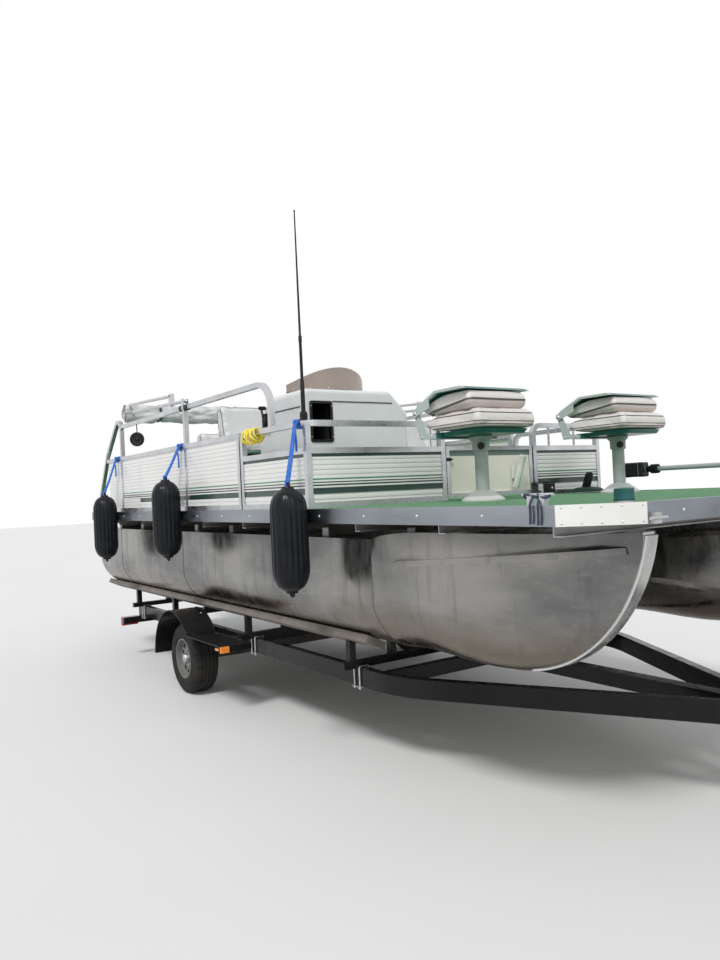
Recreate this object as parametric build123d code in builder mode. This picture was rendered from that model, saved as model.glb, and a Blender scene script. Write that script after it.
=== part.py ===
import os
from math import atan2, cos, degrees, hypot, radians, sin, sqrt

from build123d import *

# Millimetres. The origin is the centre of the tow ball in the coupler, +X is the bow, +Y port, +Z up.
# Places along the boat are measured forward from the deck's stern edge, heights from the deck's top.

# Deck and stance
DECK_LENGTH = 6050
DECK_WIDTH = 2440
DECK_ABOVE_GROUND = 1382
BALL_ABOVE_GROUND = 412
COUPLER_REACH = 1150
BOW_CUT_ALONG = 222
BOW_CUT_ACROSS = 212
RAIL_HEIGHT = 76
RAIL_WEB = 5
RAIL_LIP = 28
RAIL_LIP_THICKNESS = 4
BOARD_THICKNESS = 19
TURF_THICKNESS = 4
SEAT_GAP = 0.3
SPLIT_GAP = 1

DECK = DECK_ABOVE_GROUND - BALL_ABOVE_GROUND
GROUND = -BALL_ABOVE_GROUND
BOW = -COUPLER_REACH
STERN = BOW - DECK_LENGTH
HALF = DECK_WIDTH / 2

# Pontoons
TUBE_Y = 800
TUBE_HALF_WIDTH = 300
TUBE_TOP_DROP = 160
TUBE_KEEL_DROP = 730
TUBE_BILGE_RISE = 250
TUBE_OVERHANG = 150
NOSE_TOP_DROP = 120
STEM_RADIUS = 724
STEM_START = 850
STEM_PLATE_WIDTH = 64
STEM_PLATE_THICKNESS = 5
BEAD_WIDTH = 9
BEAD_RISE = 2
BEAD_PLACES = (500, 2007)
STRAKE_DROP_AFT = 285
STRAKE_DROP_FORE = 200
STRAKE_THICKNESS = 26
STEM_PLATE_LAP = 14
STEM_SWEEP = 80
# Strake stations: back from the bow edge, half width
STRAKE_OUTLINE = ((1350, 304), (1325, 341), (750, 298), (450, 226), (260, 148), (190, 80))

# Channels under the deck
CHANNEL_FIRST = 120
CHANNEL_PITCH = 630
CHANNEL_BOW_SET = 140
CHANNEL_DEPTH = 92
CHANNEL_FLANGE = 40
CHANNEL_WALL = 5
RISER_LENGTH = 380
RISER_LAP = 12
CORNER_PLATE = 3

# Fences
FENCE_TUBE = 32
FENCE_SET_IN = 41
FENCE_TOP = 478
FENCE_MID = 312
HOOP_AFT = 100
POST_AFT = 900
POST_MID = 2381
POST_SPLIT = 3289
POST_FORE = 4082
HIGH_RAIL = 740
HIGH_RAIL_END = POST_FORE - 392
PORT_RAIL_END = 3230
HOOP_TOP = 880
RAIL_BEND = 150
FENCE_BEND = 60
GATE_LOW_Y = -241
GATE_HIGH_Y = 546
PANEL_THICKNESS = 3
PANEL_SET_BACK = 6
RIB_PITCH = 27
RIB_WIDTH = 15
RIB_RISE = 3
STERN_POST_Y = 400
GATE_TUBE = 25
GATE_FOOT = 16
GATE_CLEARANCE = 9
HINGE_PIN_RADIUS = 5
HINGE_FIT = 0.05
HINGE_RADIUS = 9
HINGE_SET = 10
HINGE_BARREL = 40
HINGE_LUG = 6
HINGE_PLAY = 1
HINGE_HEIGHTS = (80, 250)
STUB_TUBE = 16
STUB_SETS = (154, 404)
HOOP_KNEE = 470
HOOP_KNEE_RISE = 515
HOOP_BEND = 80
BIMINI_RISE = 46
BIMINI_LUG = 36
BIMINI_LUG_WALL = 6
BIMINI_PIN_RADIUS = 6

# Console and helm
CONSOLE_AFT = 2560
CONSOLE_LENGTH = 640
CONSOLE_LOW_Y = -680
CONSOLE_HIGH_Y = 200
CONSOLE_HEIGHT = 790
CONSOLE_SHOULDER = 640
CONSOLE_SHOULDER_RUN = 150
CONSOLE_EDGE = 45
CONSOLE_FACE_EDGE = 30
DASH_FOOT = 500
LOCKER_WIDTH = 150
LOCKER_HEIGHT = 250
LOCKER_DEPTH = 260
LOCKER_FLOOR = 440
LOCKER_Y = -540
SCREEN_RISE = 165
SCREEN_SIDE_RISE = 60
SCREEN_THICKNESS = 5
SCREEN_INSET = 48
SCREEN_SETBACK = 70
SCREEN_BULGE = 230
WHEEL_RADIUS = 170
WHEEL_GRIP = 12
WHEEL_TILT = 30
WHEEL_DASH_RISE = 85
WHEEL_Y = -240
WHEEL_STANDOFF = 130
WHEEL_HUB = 26
SPOKE_ANGLES = (90, 210, 330)
COLUMN_RADIUS = 28
COLUMN_LENGTH = 100
SHAFT_RADIUS = 11
SHAFT_FIT = 0.05
HELM_SEAT_SET = 630
HELM_SEAT_Y = -390
HELM_PLATE = 380
HELM_WIDTH = 470
HELM_DEPTH = 450
HELM_CUSHION = 110
HELM_BACK_TOP = 860
HELM_BACK_THICKNESS = 90
HELM_ROUND = 28
HELM_RAKE = 8

# Lounges
LOUNGE_DEPTH = 540
LOUNGE_SEAT = 320
LOUNGE_CUSHION = 100
LOUNGE_BACK_TOP = 690
LOUNGE_BACK_THICKNESS = 130
LOUNGE_GAP = 12
STERN_LOUNGE_LOW_Y = -530
PORT_LOUNGE_SET = 110
PORT_LOUNGE_DEPTH = 520
LOUNGE_CORNER = 30

# Fishing seats
SEAT_AHEAD = 568
SEAT_PLACES = (("near", -450), ("far", 680))
SEAT_PLATE = 338
SEAT_WIDTH = 430
SEAT_DEPTH = 440
SEAT_CUSHION = 100
SEAT_ROUND = 11
SEAT_FRONT_ROUND = 44
SEAT_TIP_FOOT = 36
SEAT_TIP_TOP = 64
SEAT_TIP_RUN = 100
SEAT_CROWN_RUN = 165
SEAT_SHELL = 22
SEAT_TRAY_INSET = 26
SEAT_TRAY_TAPER = 38
SEAT_TRAY_CORNER = 60
SEAT_BACK_LENGTH = 400
SEAT_BACK_THICKNESS = 95
SEAT_BACK_TIP = 24
SEAT_BACK_SLOPE = 160
SEAT_BACK_SHELL = 14
SEAT_BACK_LIP = 24
SEAT_HINGE_RISE = 144
SEAT_HINGE_SET = 250
SEAT_FOLD_GAP = 8
SEAT_BRACKET = 6
SEAT_BRACKET_LENGTH = 150
SEAT_BRACKET_FOOT = 24
SEAT_BRACKET_LEG = 78
SEAT_BOSS = 19
SEAT_EAR_REACH = 120
SEAT_EAR_RISE = 60
SEAT_BRACKET_CLEARANCE = 5
SEAT_PIN_RADIUS = 8
PEDESTAL_RADIUS = 36
PEDESTAL_FOOT = 115
PEDESTAL_FOOT_RISE = 55
PEDESTAL_PLATE = 8
PEDESTAL_PLATE_RADIUS = 62
PEDESTAL_COLLAR = 12
SOCKET_RADIUS = 46
SOCKET_LENGTH = 74
SOCKET_FLARE = 26
KNOB_RADIUS = 15
KNOB_REACH = 34
KNOB_ANGLE = -42
SWIVEL_RISE = 30
SWIVEL_PIN_RADIUS = 20
SWIVEL_FIT = 0.05

# Outboard motor
TRANSOM = -400
TRANSOM_TOP = -200
TRANSOM_THICKNESS = 45
POD_WIDTH = 420
POD_FORE = 900
POD_KEEL_DROP = 620
POD_CHINE = 300
TILT_AXIS_SET = 30
TILT_AXIS_RISE = 35
TILT_RADIUS = 16
SWIVEL_RADIUS = 38
STEER_SET = 105
LEG_DROP = 700
PROP_RADIUS = 150
PROP_DROP = 865
PROP_BLADES = 3
BLADE_PITCH = 35
BLADE_CHORD = 0.55
BLADE_THICKNESS = 0.04
COWL_HEIGHT = 430
COWL_ROUND = 24
COWL_TAPER = 4
POWERHEAD_SET = 50
POWERHEAD_LENGTH = 280
POWERHEAD_HALF = 90
CHEEK_DROP = 280
CHEEK_HEAD = 22
YOKE_CLEARANCE = 10
CHEEK_REACH = 42
CHEEK_Y = 96
CHEEK_THICKNESS = 14
TILT_HUB_RADIUS = 26
SWIVEL_DROP = 290
KINGPIN_RADIUS = 22
YOKE = 26
LEG_LENGTH = 150
LEG_HALF = 46
PLATE_LENGTH = 330
PLATE_HALF = 105
PLATE_THICKNESS = 10
FIN_HALF = 22
GEARCASE_RADIUS = 52
SKEG_DROP = 1010
SKEG_HALF = 9
PROP_HUB_LENGTH = 110

# Trailer
AXLE_X = 2010
WHEEL_TRACK_Y = 1145
TYRE_RADIUS = 262
TYRE_WIDTH = 205
RIM_RADIUS = 148
RIM_WALL = 9
RIM_DISC = 10
RIM_INSET = 12
RIM_DISH = 40
HUB_RADIUS = 42
TYRE_SHOULDER = 32
SPINDLE_RADIUS = 16
BEARING_FIT = 0.06
RAIL_Y = 875
RAIL_BOX_WIDTH = 50
RAIL_BOX_HEIGHT = 100
RAIL_TOP_DROP = 900
RAIL_AFT = 300
RAIL_BEND_X = 4400
RAIL_MEET_X = 5860
RAIL_BEND_RADIUS = 700
TONGUE_AFT = 4250
TONGUE_WIDTH = 76
CROSS_PLACES = (2560, 4250)
CROSS_WIDTH = 50
CROSS_HEIGHT = 76
REAR_CROSS_X = 330
REAR_CROSS_HEIGHT = 60
CROSS_OVERHANG = 190
CRADLE_PLACES = (450, 1380, 2760, 4050)
CRADLE_WIDTH = 40
CRADLE_REACH = 1000
BUNK_OFFSET = 130
BUNK_WIDTH = 130
BUNK_THICKNESS = 42
BUNK_AFT = -270
BUNK_FORE = 4300
GUARD_RADIUS = 372
GUARD_INNER_Y = 990
GUARD_OUTER_Y = 1220
GUARD_WALL = 4
GUARD_STEP_END = 2900
GUARD_LIP = 40
GUARD_ARM_FORE = 560
AXLE_SIZE = 60
SPRING_REACH = 330
SPRING_WIDTH = 50
SPRING_THICKNESS = 24
WINCH_X = DECK_LENGTH + 370
JACK_X = DECK_LENGTH + 750
JACK_Y = -120
JACK_RADIUS = 30
JACK_TUBE_WALL = 7
JACK_TOP_DROP = 700
JACK_TUBE_FOOT = 1150
JACK_FOOT_RADIUS = 75
JACK_FOOT_THICKNESS = 12
JACK_FIT = 0.1
BALL_RADIUS = 25.2
COUPLER_FORE = 45
COUPLER_AFT = 150
COUPLER_HALF = 36
COUPLER_ROOF = 34
COUPLER_LIP = 14
WINCH_POST = 60
WINCH_TOP_DROP = 36
WINCH_STOP = 70
WINCH_DRUM_RADIUS = 55
WINCH_DRUM_WIDTH = 90
WINCH_DRUM_DROP = 330
LAMP_SIZE = 80
LAMP_LENGTH = 150
MARKER_SIZE = 60
MARKER_DEPTH = 18

# Fittings and gear
FENDER_RADIUS = 100
FENDER_LENGTH = 553
FENDER_NECK_RADIUS = 26
FENDER_NECK = 27
FENDER_SHOULDER = 70
ROPE_RADIUS = 5
# Fenders: place, foot's drop, rope's place on the top rail
FENDERS = (
    (POST_AFT - 110, 418, POST_AFT - 100),
    (POST_MID - 81, 340, POST_MID - 81),
    (POST_FORE + 18, 445, POST_FORE - 62),
)
KNOT_RADIUS = 11
ANTENNA_SET = 22
ANTENNA_TOP = 1620
ANTENNA_BASE_RADIUS = 12
ANTENNA_RADIUS = 4.5
ANTENNA_STEP = 900
CLEAT_LENGTH = 150
CLEAT_WIDTH = 34
CLEAT_RISE = 38
CLEAT_POST = 22
CLEAT_HORN = 12
CLEAT_POST_SET = 30
BOW_CLEAT_SET = 310
FRONT_CLEAT_Y = -978
FRONT_CLEAT_WIDTH = 90
LIGHT_SET = 90
LIGHT_Y = -1010
LIGHT_RADIUS = 34
LIGHT_RISE = 42
TROLLING_Y = 970
TROLLING_HEIGHT = 135
TROLLING_OVERHANG = 110
TROLLING_REACH = 1700
TROLLING_HEAD_LENGTH = 170
TROLLING_HEAD_HALF = 38
TROLLING_SHAFT_RADIUS = 15
TROLLING_POD_SET = 95
TROLLING_POD_RADIUS = 45
TROLLING_POD_LENGTH = 330
TROLLING_PROP_RADIUS = 88
TROLLING_CARRIER = 46
TROLLING_EAR = 12
TROLLING_PIN_RADIUS = 8
TROLLING_EAR_FOOT = 100
TROLLING_EAR_NECK = 75
TROLLING_PLATE_LENGTH = 760
TROLLING_PLATE_SET = 10
TROLLING_PLATE_WIDTH = 100
BIMINI_TUBE = 25
BIMINI_BEND = 60
BIMINI_AFT = 850
BIMINI_AFT_HEIGHT = 868
BIMINI_KNEE = 1250
BIMINI_KNEE_HEIGHT = 836
BIMINI_CORNER_Y = DECK_WIDTH / 2 - 160
BIMINI_FORE_BOW_END = 2120
BIMINI_FORE_BOW_RISE = 58
BIMINI_FORE_BOW_AFT = 810
BIMINI_FORE_BOW_HEIGHT = 926
BIMINI_FORE_BOW_KNEE = 1150
BIMINI_FORE_BOW_KNEE_HEIGHT = 905
BIMINI_JAW = 34
ROLL_RADIUS = 98
ROLL_HALF = DECK_WIDTH / 2 - 80
HANK_PLACE = POST_SPLIT + 81
HANK_TURNS = 6
HANK_PITCH = 30
HANK_RADIUS = 40
HANK_THICKNESS = 12

# Places that follow from the sizes above
FENCE_Y = HALF - FENCE_SET_IN
CHANNEL_COUNT = int((DECK_LENGTH - CHANNEL_FIRST - CHANNEL_BOW_SET) / CHANNEL_PITCH) + 1
SCREEN_AFT = CONSOLE_AFT + CONSOLE_LENGTH - SCREEN_SETBACK - SCREEN_BULGE
HELM_SEAT_X = CONSOLE_AFT - HELM_SEAT_SET
PORT_LOUNGE_END = CONSOLE_AFT - PORT_LOUNGE_SET
SEAT_X = POST_FORE + SEAT_AHEAD
ANTENNA_X = POST_FORE - ANTENNA_SET
BOW_CLEAT_X = DECK_LENGTH - BOW_CLEAT_SET
LIGHT_X = DECK_LENGTH - LIGHT_SET
TROLLING_PIVOT = DECK_LENGTH + TROLLING_OVERHANG
TROLLING_HEAD = TROLLING_PIVOT - TROLLING_REACH
TROLLING_PLATE_FORE = DECK_LENGTH - TROLLING_PLATE_SET
TROLLING_PLATE_AFT = TROLLING_PLATE_FORE - TROLLING_PLATE_LENGTH

os.makedirs("parts", exist_ok=True)


def ahead(place):
    """X of a place measured forward from the deck's stern edge."""
    return STERN + place


def level(drop):
    """Z of a height measured up from the deck's top."""
    return DECK + drop


def save(part, name):
    """Label a finished piece and write it as its own STEP file."""
    part.label = name
    export_step(part, f"parts/{name}.step")
    print(f"{name}: {len(part.solids())} solids, {part.volume / 1e6:.2f} litres")


def bar(start, end, width, height=None):
    """Add a straight bar of rectangular section from start to end to the open part."""
    run = Vector(*end) - Vector(*start)
    across = (0, 0, 1) if abs(run.Y) > abs(run.X) + abs(run.Z) else (0, 1, 0)
    with BuildSketch(Plane(origin=start, x_dir=across, z_dir=run)) as section:
        Rectangle(width, height or width)
    extrude(section.sketch, amount=run.length)


def rod(start, end, radius):
    """Add a round rod from start to end to the open part."""
    run = Vector(*end) - Vector(*start)
    with BuildSketch(Plane(origin=start, z_dir=run)) as section:
        Circle(radius)
    extrude(section.sketch, amount=run.length)


def bent_bar(points, bends, width, height=None, across=(0, 1, 0), is_round=False):
    """Add a bar that follows points, rounded at each corner, to the open part."""
    with BuildLine() as route:
        FilletPolyline(*points, radius=bends)
    first = Vector(*points[1]) - Vector(*points[0])
    with BuildSketch(Plane(origin=points[0], x_dir=across, z_dir=first)) as section:
        if is_round:
            Circle(width / 2)
        else:
            Rectangle(width, height or width)
    sweep(section.sketch, path=route.wire())


def block(low, high):
    """Add a box between two corners to the open part."""
    with Locations([(Vector(*low) + Vector(*high)) * 0.5]):
        Box(high[0] - low[0], high[1] - low[1], high[2] - low[2])


def deck_outline(inset, height):
    """Sketch of the deck's plan at a height, moved in by inset on every edge."""
    with BuildSketch(Plane.XY.offset(height)) as plan:
        with BuildLine():
            Polyline(
                (STERN, -HALF),
                (BOW - BOW_CUT_ALONG, -HALF),
                (BOW, -HALF + BOW_CUT_ACROSS),
                (BOW, HALF - BOW_CUT_ACROSS),
                (BOW - BOW_CUT_ALONG, HALF),
                (STERN, HALF),
                close=True,
            )
        make_face()
        if inset:
            offset(amount=-inset, kind=Kind.INTERSECTION)
    return plan.sketch


# Pontoons
def stem_drop(back):
    """Keel's drop below the deck at a place measured back from the bow edge."""
    run = max(0, STEM_START - back)
    return TUBE_KEEL_DROP - STEM_RADIUS + sqrt(STEM_RADIUS**2 - run**2)


def hull_section(x, top_half, bilge_half, top_drop, bilge_drop, keel_drop):
    """Cross-section of a pontoon: flat top, straight sides and a round bottom."""
    with BuildSketch(Plane(origin=(x, -TUBE_Y, 0), x_dir=(0, 1, 0), z_dir=(1, 0, 0))) as section:
        with BuildLine():
            Polyline(
                (-bilge_half, level(-bilge_drop)),
                (-top_half, level(-top_drop)),
                (top_half, level(-top_drop)),
                (bilge_half, level(-bilge_drop)),
            )
            ThreePointArc(
                (bilge_half, level(-bilge_drop)),
                (0, level(-keel_drop)),
                (-bilge_half, level(-bilge_drop)),
            )
        make_face()
    return section.sketch


# Nose stations: back from the bow edge, half width at the top, half width at the bilge, bilge rise
NOSE_STATIONS = (
    (1530, 300, 300, 250),
    (1150, 294, 290, 245),
    (750, 266, 240, 205),
    (450, 204, 118, 90),
    (260, 124, 56, 38),
    (150, 46, 32, 12),
)
NOSE_AFT = BOW - NOSE_STATIONS[0][0]
TUBE_STERN = STERN - TUBE_OVERHANG

with BuildPart() as pontoons:
    body = hull_section(
        TUBE_STERN,
        TUBE_HALF_WIDTH,
        TUBE_HALF_WIDTH,
        TUBE_TOP_DROP,
        TUBE_KEEL_DROP - TUBE_BILGE_RISE,
        TUBE_KEEL_DROP,
    )
    extrude(body, amount=NOSE_AFT - TUBE_STERN)
    sections = []
    for back, top_half, bilge_half, rise in NOSE_STATIONS:
        keel = stem_drop(back)
        top = TUBE_TOP_DROP if back == NOSE_STATIONS[0][0] else NOSE_TOP_DROP
        sections.append(hull_section(BOW - back, top_half, bilge_half, top, keel - rise, keel))
    loft(sections)
    for place in (*BEAD_PLACES, DECK_LENGTH - NOSE_STATIONS[0][0] - BEAD_WIDTH):
        bead = hull_section(
            ahead(place),
            TUBE_HALF_WIDTH + BEAD_RISE,
            TUBE_HALF_WIDTH + BEAD_RISE,
            TUBE_TOP_DROP,
            TUBE_KEEL_DROP - TUBE_BILGE_RISE,
            TUBE_KEEL_DROP + BEAD_RISE,
        )
        extrude(bead, amount=BEAD_WIDTH)
    centre = (BOW - STEM_START, level(STEM_RADIUS - TUBE_KEEL_DROP))
    with BuildSketch(Plane(origin=(0, -TUBE_Y, 0), x_dir=(1, 0, 0), z_dir=(0, -1, 0))) as stem:
        with BuildLine():
            outer = CenterArc(centre, STEM_RADIUS + STEM_PLATE_THICKNESS, -90, STEM_SWEEP)
            inner = CenterArc(centre, STEM_RADIUS - STEM_PLATE_LAP, -90, STEM_SWEEP)
            Line(outer @ 0, inner @ 0)
            Line(outer @ 1, inner @ 1)
        make_face()
    extrude(stem.sketch, amount=STEM_PLATE_WIDTH / 2, both=True)
    rise = atan2(STRAKE_DROP_AFT - STRAKE_DROP_FORE, STRAKE_OUTLINE[0][0] - STRAKE_OUTLINE[-1][0])
    with BuildSketch(
        Plane(
            origin=(BOW - STRAKE_OUTLINE[0][0], -TUBE_Y, level(-STRAKE_DROP_AFT)),
            x_dir=(cos(rise), 0, sin(rise)),
            z_dir=(-sin(rise), 0, cos(rise)),
        )
    ) as strake:
        with BuildLine():
            Polyline(
                *[(STRAKE_OUTLINE[0][0] - back, half) for back, half in STRAKE_OUTLINE],
                *[(STRAKE_OUTLINE[0][0] - back, -half) for back, half in reversed(STRAKE_OUTLINE)],
                close=True,
            )
        make_face()
    extrude(strake.sketch, amount=STRAKE_THICKNESS)
    mirror(about=Plane.XZ)
save(pontoons.part, "pontoons")

# Cross channels with a riser on each pontoon
CHANNEL_TOP = -RAIL_LIP_THICKNESS - BOARD_THICKNESS
CHANNEL_FOOT = CHANNEL_TOP - CHANNEL_DEPTH
CHANNEL_HALF = HALF - RAIL_LIP

with BuildPart() as cross_channels:
    for index in range(CHANNEL_COUNT):
        x = ahead(CHANNEL_FIRST + index * CHANNEL_PITCH)
        with BuildSketch(Plane(origin=(x, -CHANNEL_HALF, 0), x_dir=(1, 0, 0), z_dir=(0, 1, 0))) as profile:
            with BuildLine():
                Polyline(
                    (0, -level(CHANNEL_TOP)),
                    (CHANNEL_FLANGE, -level(CHANNEL_TOP)),
                    (CHANNEL_FLANGE, -level(CHANNEL_TOP - CHANNEL_WALL)),
                    (CHANNEL_WALL, -level(CHANNEL_TOP - CHANNEL_WALL)),
                    (CHANNEL_WALL, -level(CHANNEL_FOOT + CHANNEL_WALL)),
                    (CHANNEL_FLANGE, -level(CHANNEL_FOOT + CHANNEL_WALL)),
                    (CHANNEL_FLANGE, -level(CHANNEL_FOOT)),
                    (0, -level(CHANNEL_FOOT)),
                    close=True,
                )
            make_face()
        extrude(profile.sketch, amount=2 * CHANNEL_HALF)
        for side in (-1, 1):
            y = side * TUBE_Y
            half = RISER_LENGTH / 2 if x < NOSE_AFT else RISER_LENGTH / 6
            block(
                (x - RISER_LAP, y - half, level(-TUBE_TOP_DROP)),
                (x + CHANNEL_FLANGE + RISER_LAP, y + half, level(CHANNEL_FOOT)),
            )
    add(pontoons.part, mode=Mode.SUBTRACT)
save(cross_channels.part, "cross_channels")

# Deck board, turf and perimeter rail
with BuildPart() as deck_board:
    extrude(deck_outline(RAIL_WEB, level(CHANNEL_TOP)), amount=BOARD_THICKNESS)
save(deck_board.part, "deck_board")

with BuildPart() as deck_turf:
    extrude(deck_outline(RAIL_LIP + SEAT_GAP, level(-TURF_THICKNESS)), amount=TURF_THICKNESS)
save(deck_turf.part, "deck_turf")

with BuildPart() as deck_rail:
    extrude(deck_outline(0, level(-RAIL_HEIGHT)), amount=RAIL_HEIGHT)
    extrude(
        deck_outline(RAIL_WEB, level(RAIL_LIP_THICKNESS - RAIL_HEIGHT)),
        amount=RAIL_HEIGHT - 2 * RAIL_LIP_THICKNESS,
        mode=Mode.SUBTRACT,
    )
    extrude(deck_outline(RAIL_LIP, level(-RAIL_HEIGHT)), amount=RAIL_HEIGHT, mode=Mode.SUBTRACT)
    for side in (-1, 1):
        with Locations(
            (STERN, side * (HALF - RAIL_LIP), level(-RAIL_HEIGHT / 2)),
            (BOW, side * (HALF - BOW_CUT_ACROSS), level(-RAIL_HEIGHT / 2)),
        ):
            Box(4 * RAIL_LIP, SPLIT_GAP, RAIL_HEIGHT, mode=Mode.SUBTRACT)
        with Locations((BOW - BOW_CUT_ALONG, side * HALF, level(-RAIL_HEIGHT / 2))):
            Box(SPLIT_GAP, 4 * RAIL_LIP, RAIL_HEIGHT, mode=Mode.SUBTRACT)
save(deck_rail.part, "deck_rail")

with BuildPart() as bow_corner_plates:
    extrude(deck_outline(-CORNER_PLATE, level(-RAIL_HEIGHT)), amount=RAIL_HEIGHT)
    extrude(deck_outline(0, level(-RAIL_HEIGHT)), amount=RAIL_HEIGHT, mode=Mode.SUBTRACT)
    keep = [
        Pos(BOW - BOW_CUT_ALONG / 2, side * (HALF - BOW_CUT_ACROSS / 2), level(0))
        * Box(BOW_CUT_ALONG, BOW_CUT_ACROSS, 3 * RAIL_HEIGHT, mode=Mode.PRIVATE)
        for side in (-1, 1)
    ]
    add(keep, mode=Mode.INTERSECT)
save(bow_corner_plates.part, "bow_corner_plates")

# Fences: frames of square tube, starboard side first and mirrored
TUBE_HALF = FENCE_TUBE / 2
TOP_LINE = level(FENCE_TOP - TUBE_HALF)
MID_LINE = level(FENCE_MID)
FOOT_LINE = level(TUBE_HALF)

with BuildPart() as aft_fence_frames:
    y = -FENCE_Y
    bent_bar(
        (
            (ahead(HOOP_AFT), y, level(0)),
            (ahead(HOOP_KNEE), y, level(HOOP_KNEE_RISE)),
            (ahead(POST_AFT), y, level(HOOP_TOP)),
            (ahead(POST_AFT), y, level(0)),
        ),
        HOOP_BEND,
        FENCE_TUBE,
    )
    bar((ahead(HOOP_AFT), y, FOOT_LINE), (ahead(POST_SPLIT) - TUBE_HALF, y, FOOT_LINE), FENCE_TUBE)
    bar((ahead(HOOP_KNEE), y, TOP_LINE), (ahead(POST_SPLIT) - TUBE_HALF, y, TOP_LINE), FENCE_TUBE)
    for place in (POST_MID, POST_SPLIT - FENCE_TUBE):
        bar((ahead(place), y, level(0)), (ahead(place), y, level(FENCE_TOP)), FENCE_TUBE)
    with Locations((ahead(HOOP_AFT), y, level(-FENCE_TUBE))):
        Box(4 * FENCE_TUBE, 2 * FENCE_TUBE, 2 * FENCE_TUBE, mode=Mode.SUBTRACT)
    mirror(about=Plane.XZ)
save(aft_fence_frames.part, "aft_fence_frames")


def fore_frame(side, gate_y):
    """Add one fore fence frame, from its aft hoop round the corner to the gate post."""
    y = side * FENCE_Y
    aft = ahead(POST_SPLIT) + TUBE_HALF + SEAT_GAP
    fore = ahead(POST_FORE)
    bent_bar(
        (
            (aft, y, level(0)),
            (aft, y, TOP_LINE),
            (fore, y, TOP_LINE),
            (fore, gate_y, TOP_LINE),
            (fore, gate_y, level(0)),
        ),
        FENCE_BEND,
        FENCE_TUBE,
    )
    bar((fore, y, level(0)), (fore, y, TOP_LINE), FENCE_TUBE)
    for height in (FOOT_LINE, MID_LINE):
        bar((aft, y, height), (fore, y, height), FENCE_TUBE)
        bar((fore, y, height), (fore, gate_y, height), FENCE_TUBE)


with BuildPart() as fore_fence_frames:
    fore_frame(-1, GATE_LOW_Y)
    fore_frame(1, GATE_HIGH_Y)
    for inset in STUB_SETS:
        stub_y = GATE_HIGH_Y + inset
        rod((ahead(POST_FORE), stub_y, MID_LINE), (ahead(POST_FORE), stub_y, TOP_LINE), STUB_TUBE / 2)
    pin_x = ahead(POST_FORE) - TUBE_HALF - HINGE_SET
    pin_y = GATE_HIGH_Y - TUBE_HALF - GATE_CLEARANCE / 2
    for height in HINGE_HEIGHTS:
        low_lug = height - HINGE_BARREL / 2 - HINGE_LUG - HINGE_PLAY
        high_lug = height + HINGE_BARREL / 2 + HINGE_PLAY
        for lug in (low_lug, high_lug):
            block(
                (pin_x - HINGE_RADIUS, pin_y - HINGE_RADIUS, level(lug)),
                (ahead(POST_FORE) - TUBE_HALF, GATE_HIGH_Y, level(lug + HINGE_LUG)),
            )
        rod(
            (pin_x, pin_y, level(height - HINGE_BARREL / 2 - HINGE_LUG)),
            (pin_x, pin_y, level(height + HINGE_BARREL / 2 + HINGE_LUG)),
            HINGE_PIN_RADIUS,
        )
save(fore_fence_frames.part, "fore_fence_frames")

with BuildPart() as bow_gate:
    low_y = GATE_LOW_Y + TUBE_HALF + GATE_CLEARANCE + GATE_TUBE / 2
    high_y = GATE_HIGH_Y - TUBE_HALF - GATE_CLEARANCE - GATE_TUBE / 2
    foot = level(GATE_FOOT + GATE_TUBE / 2)
    head = level(FENCE_MID + TUBE_HALF - GATE_TUBE / 2)
    x = ahead(POST_FORE)
    for height in (foot, head):
        bar((x, low_y, height), (x, high_y, height), GATE_TUBE)
    for y in (low_y, high_y):
        bar((x, y, foot - GATE_TUBE / 2), (x, y, head + GATE_TUBE / 2), GATE_TUBE)
    for height in HINGE_HEIGHTS:
        low = level(height - HINGE_BARREL / 2)
        high = level(height + HINGE_BARREL / 2)
        rod((pin_x, pin_y, low), (pin_x, pin_y, high), HINGE_RADIUS)
        block((pin_x - HINGE_RADIUS / 2, high_y, low), (x - GATE_TUBE / 2, pin_y, high))
        with BuildSketch(Plane.XY.offset(low)) as bore:
            with Locations((pin_x, pin_y)):
                Circle(HINGE_PIN_RADIUS + HINGE_FIT)
        extrude(bore.sketch, amount=HINGE_BARREL, mode=Mode.SUBTRACT)
save(bow_gate.part, "bow_gate")

with BuildPart() as bow_gate_panel:
    block(
        (x - PANEL_THICKNESS / 2, low_y + GATE_TUBE / 2, foot + GATE_TUBE / 2),
        (x + PANEL_THICKNESS / 2, high_y - GATE_TUBE / 2, head - GATE_TUBE / 2),
    )
save(bow_gate_panel.part, "bow_gate_panel")

with BuildPart() as stern_fence_frame:
    x = ahead(POST_AFT)
    reach = FENCE_Y - TUBE_HALF - SEAT_GAP
    for height in (FOOT_LINE, TOP_LINE):
        bar((x, -reach, height), (x, reach, height), FENCE_TUBE)
    for y in (-STERN_POST_Y, STERN_POST_Y):
        bar((x, y, level(0)), (x, y, TOP_LINE), FENCE_TUBE)
save(stern_fence_frame.part, "stern_fence_frame")

BIMINI_LUG_SET = (FENCE_TUBE + BIMINI_LUG_WALL) / 2

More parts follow.
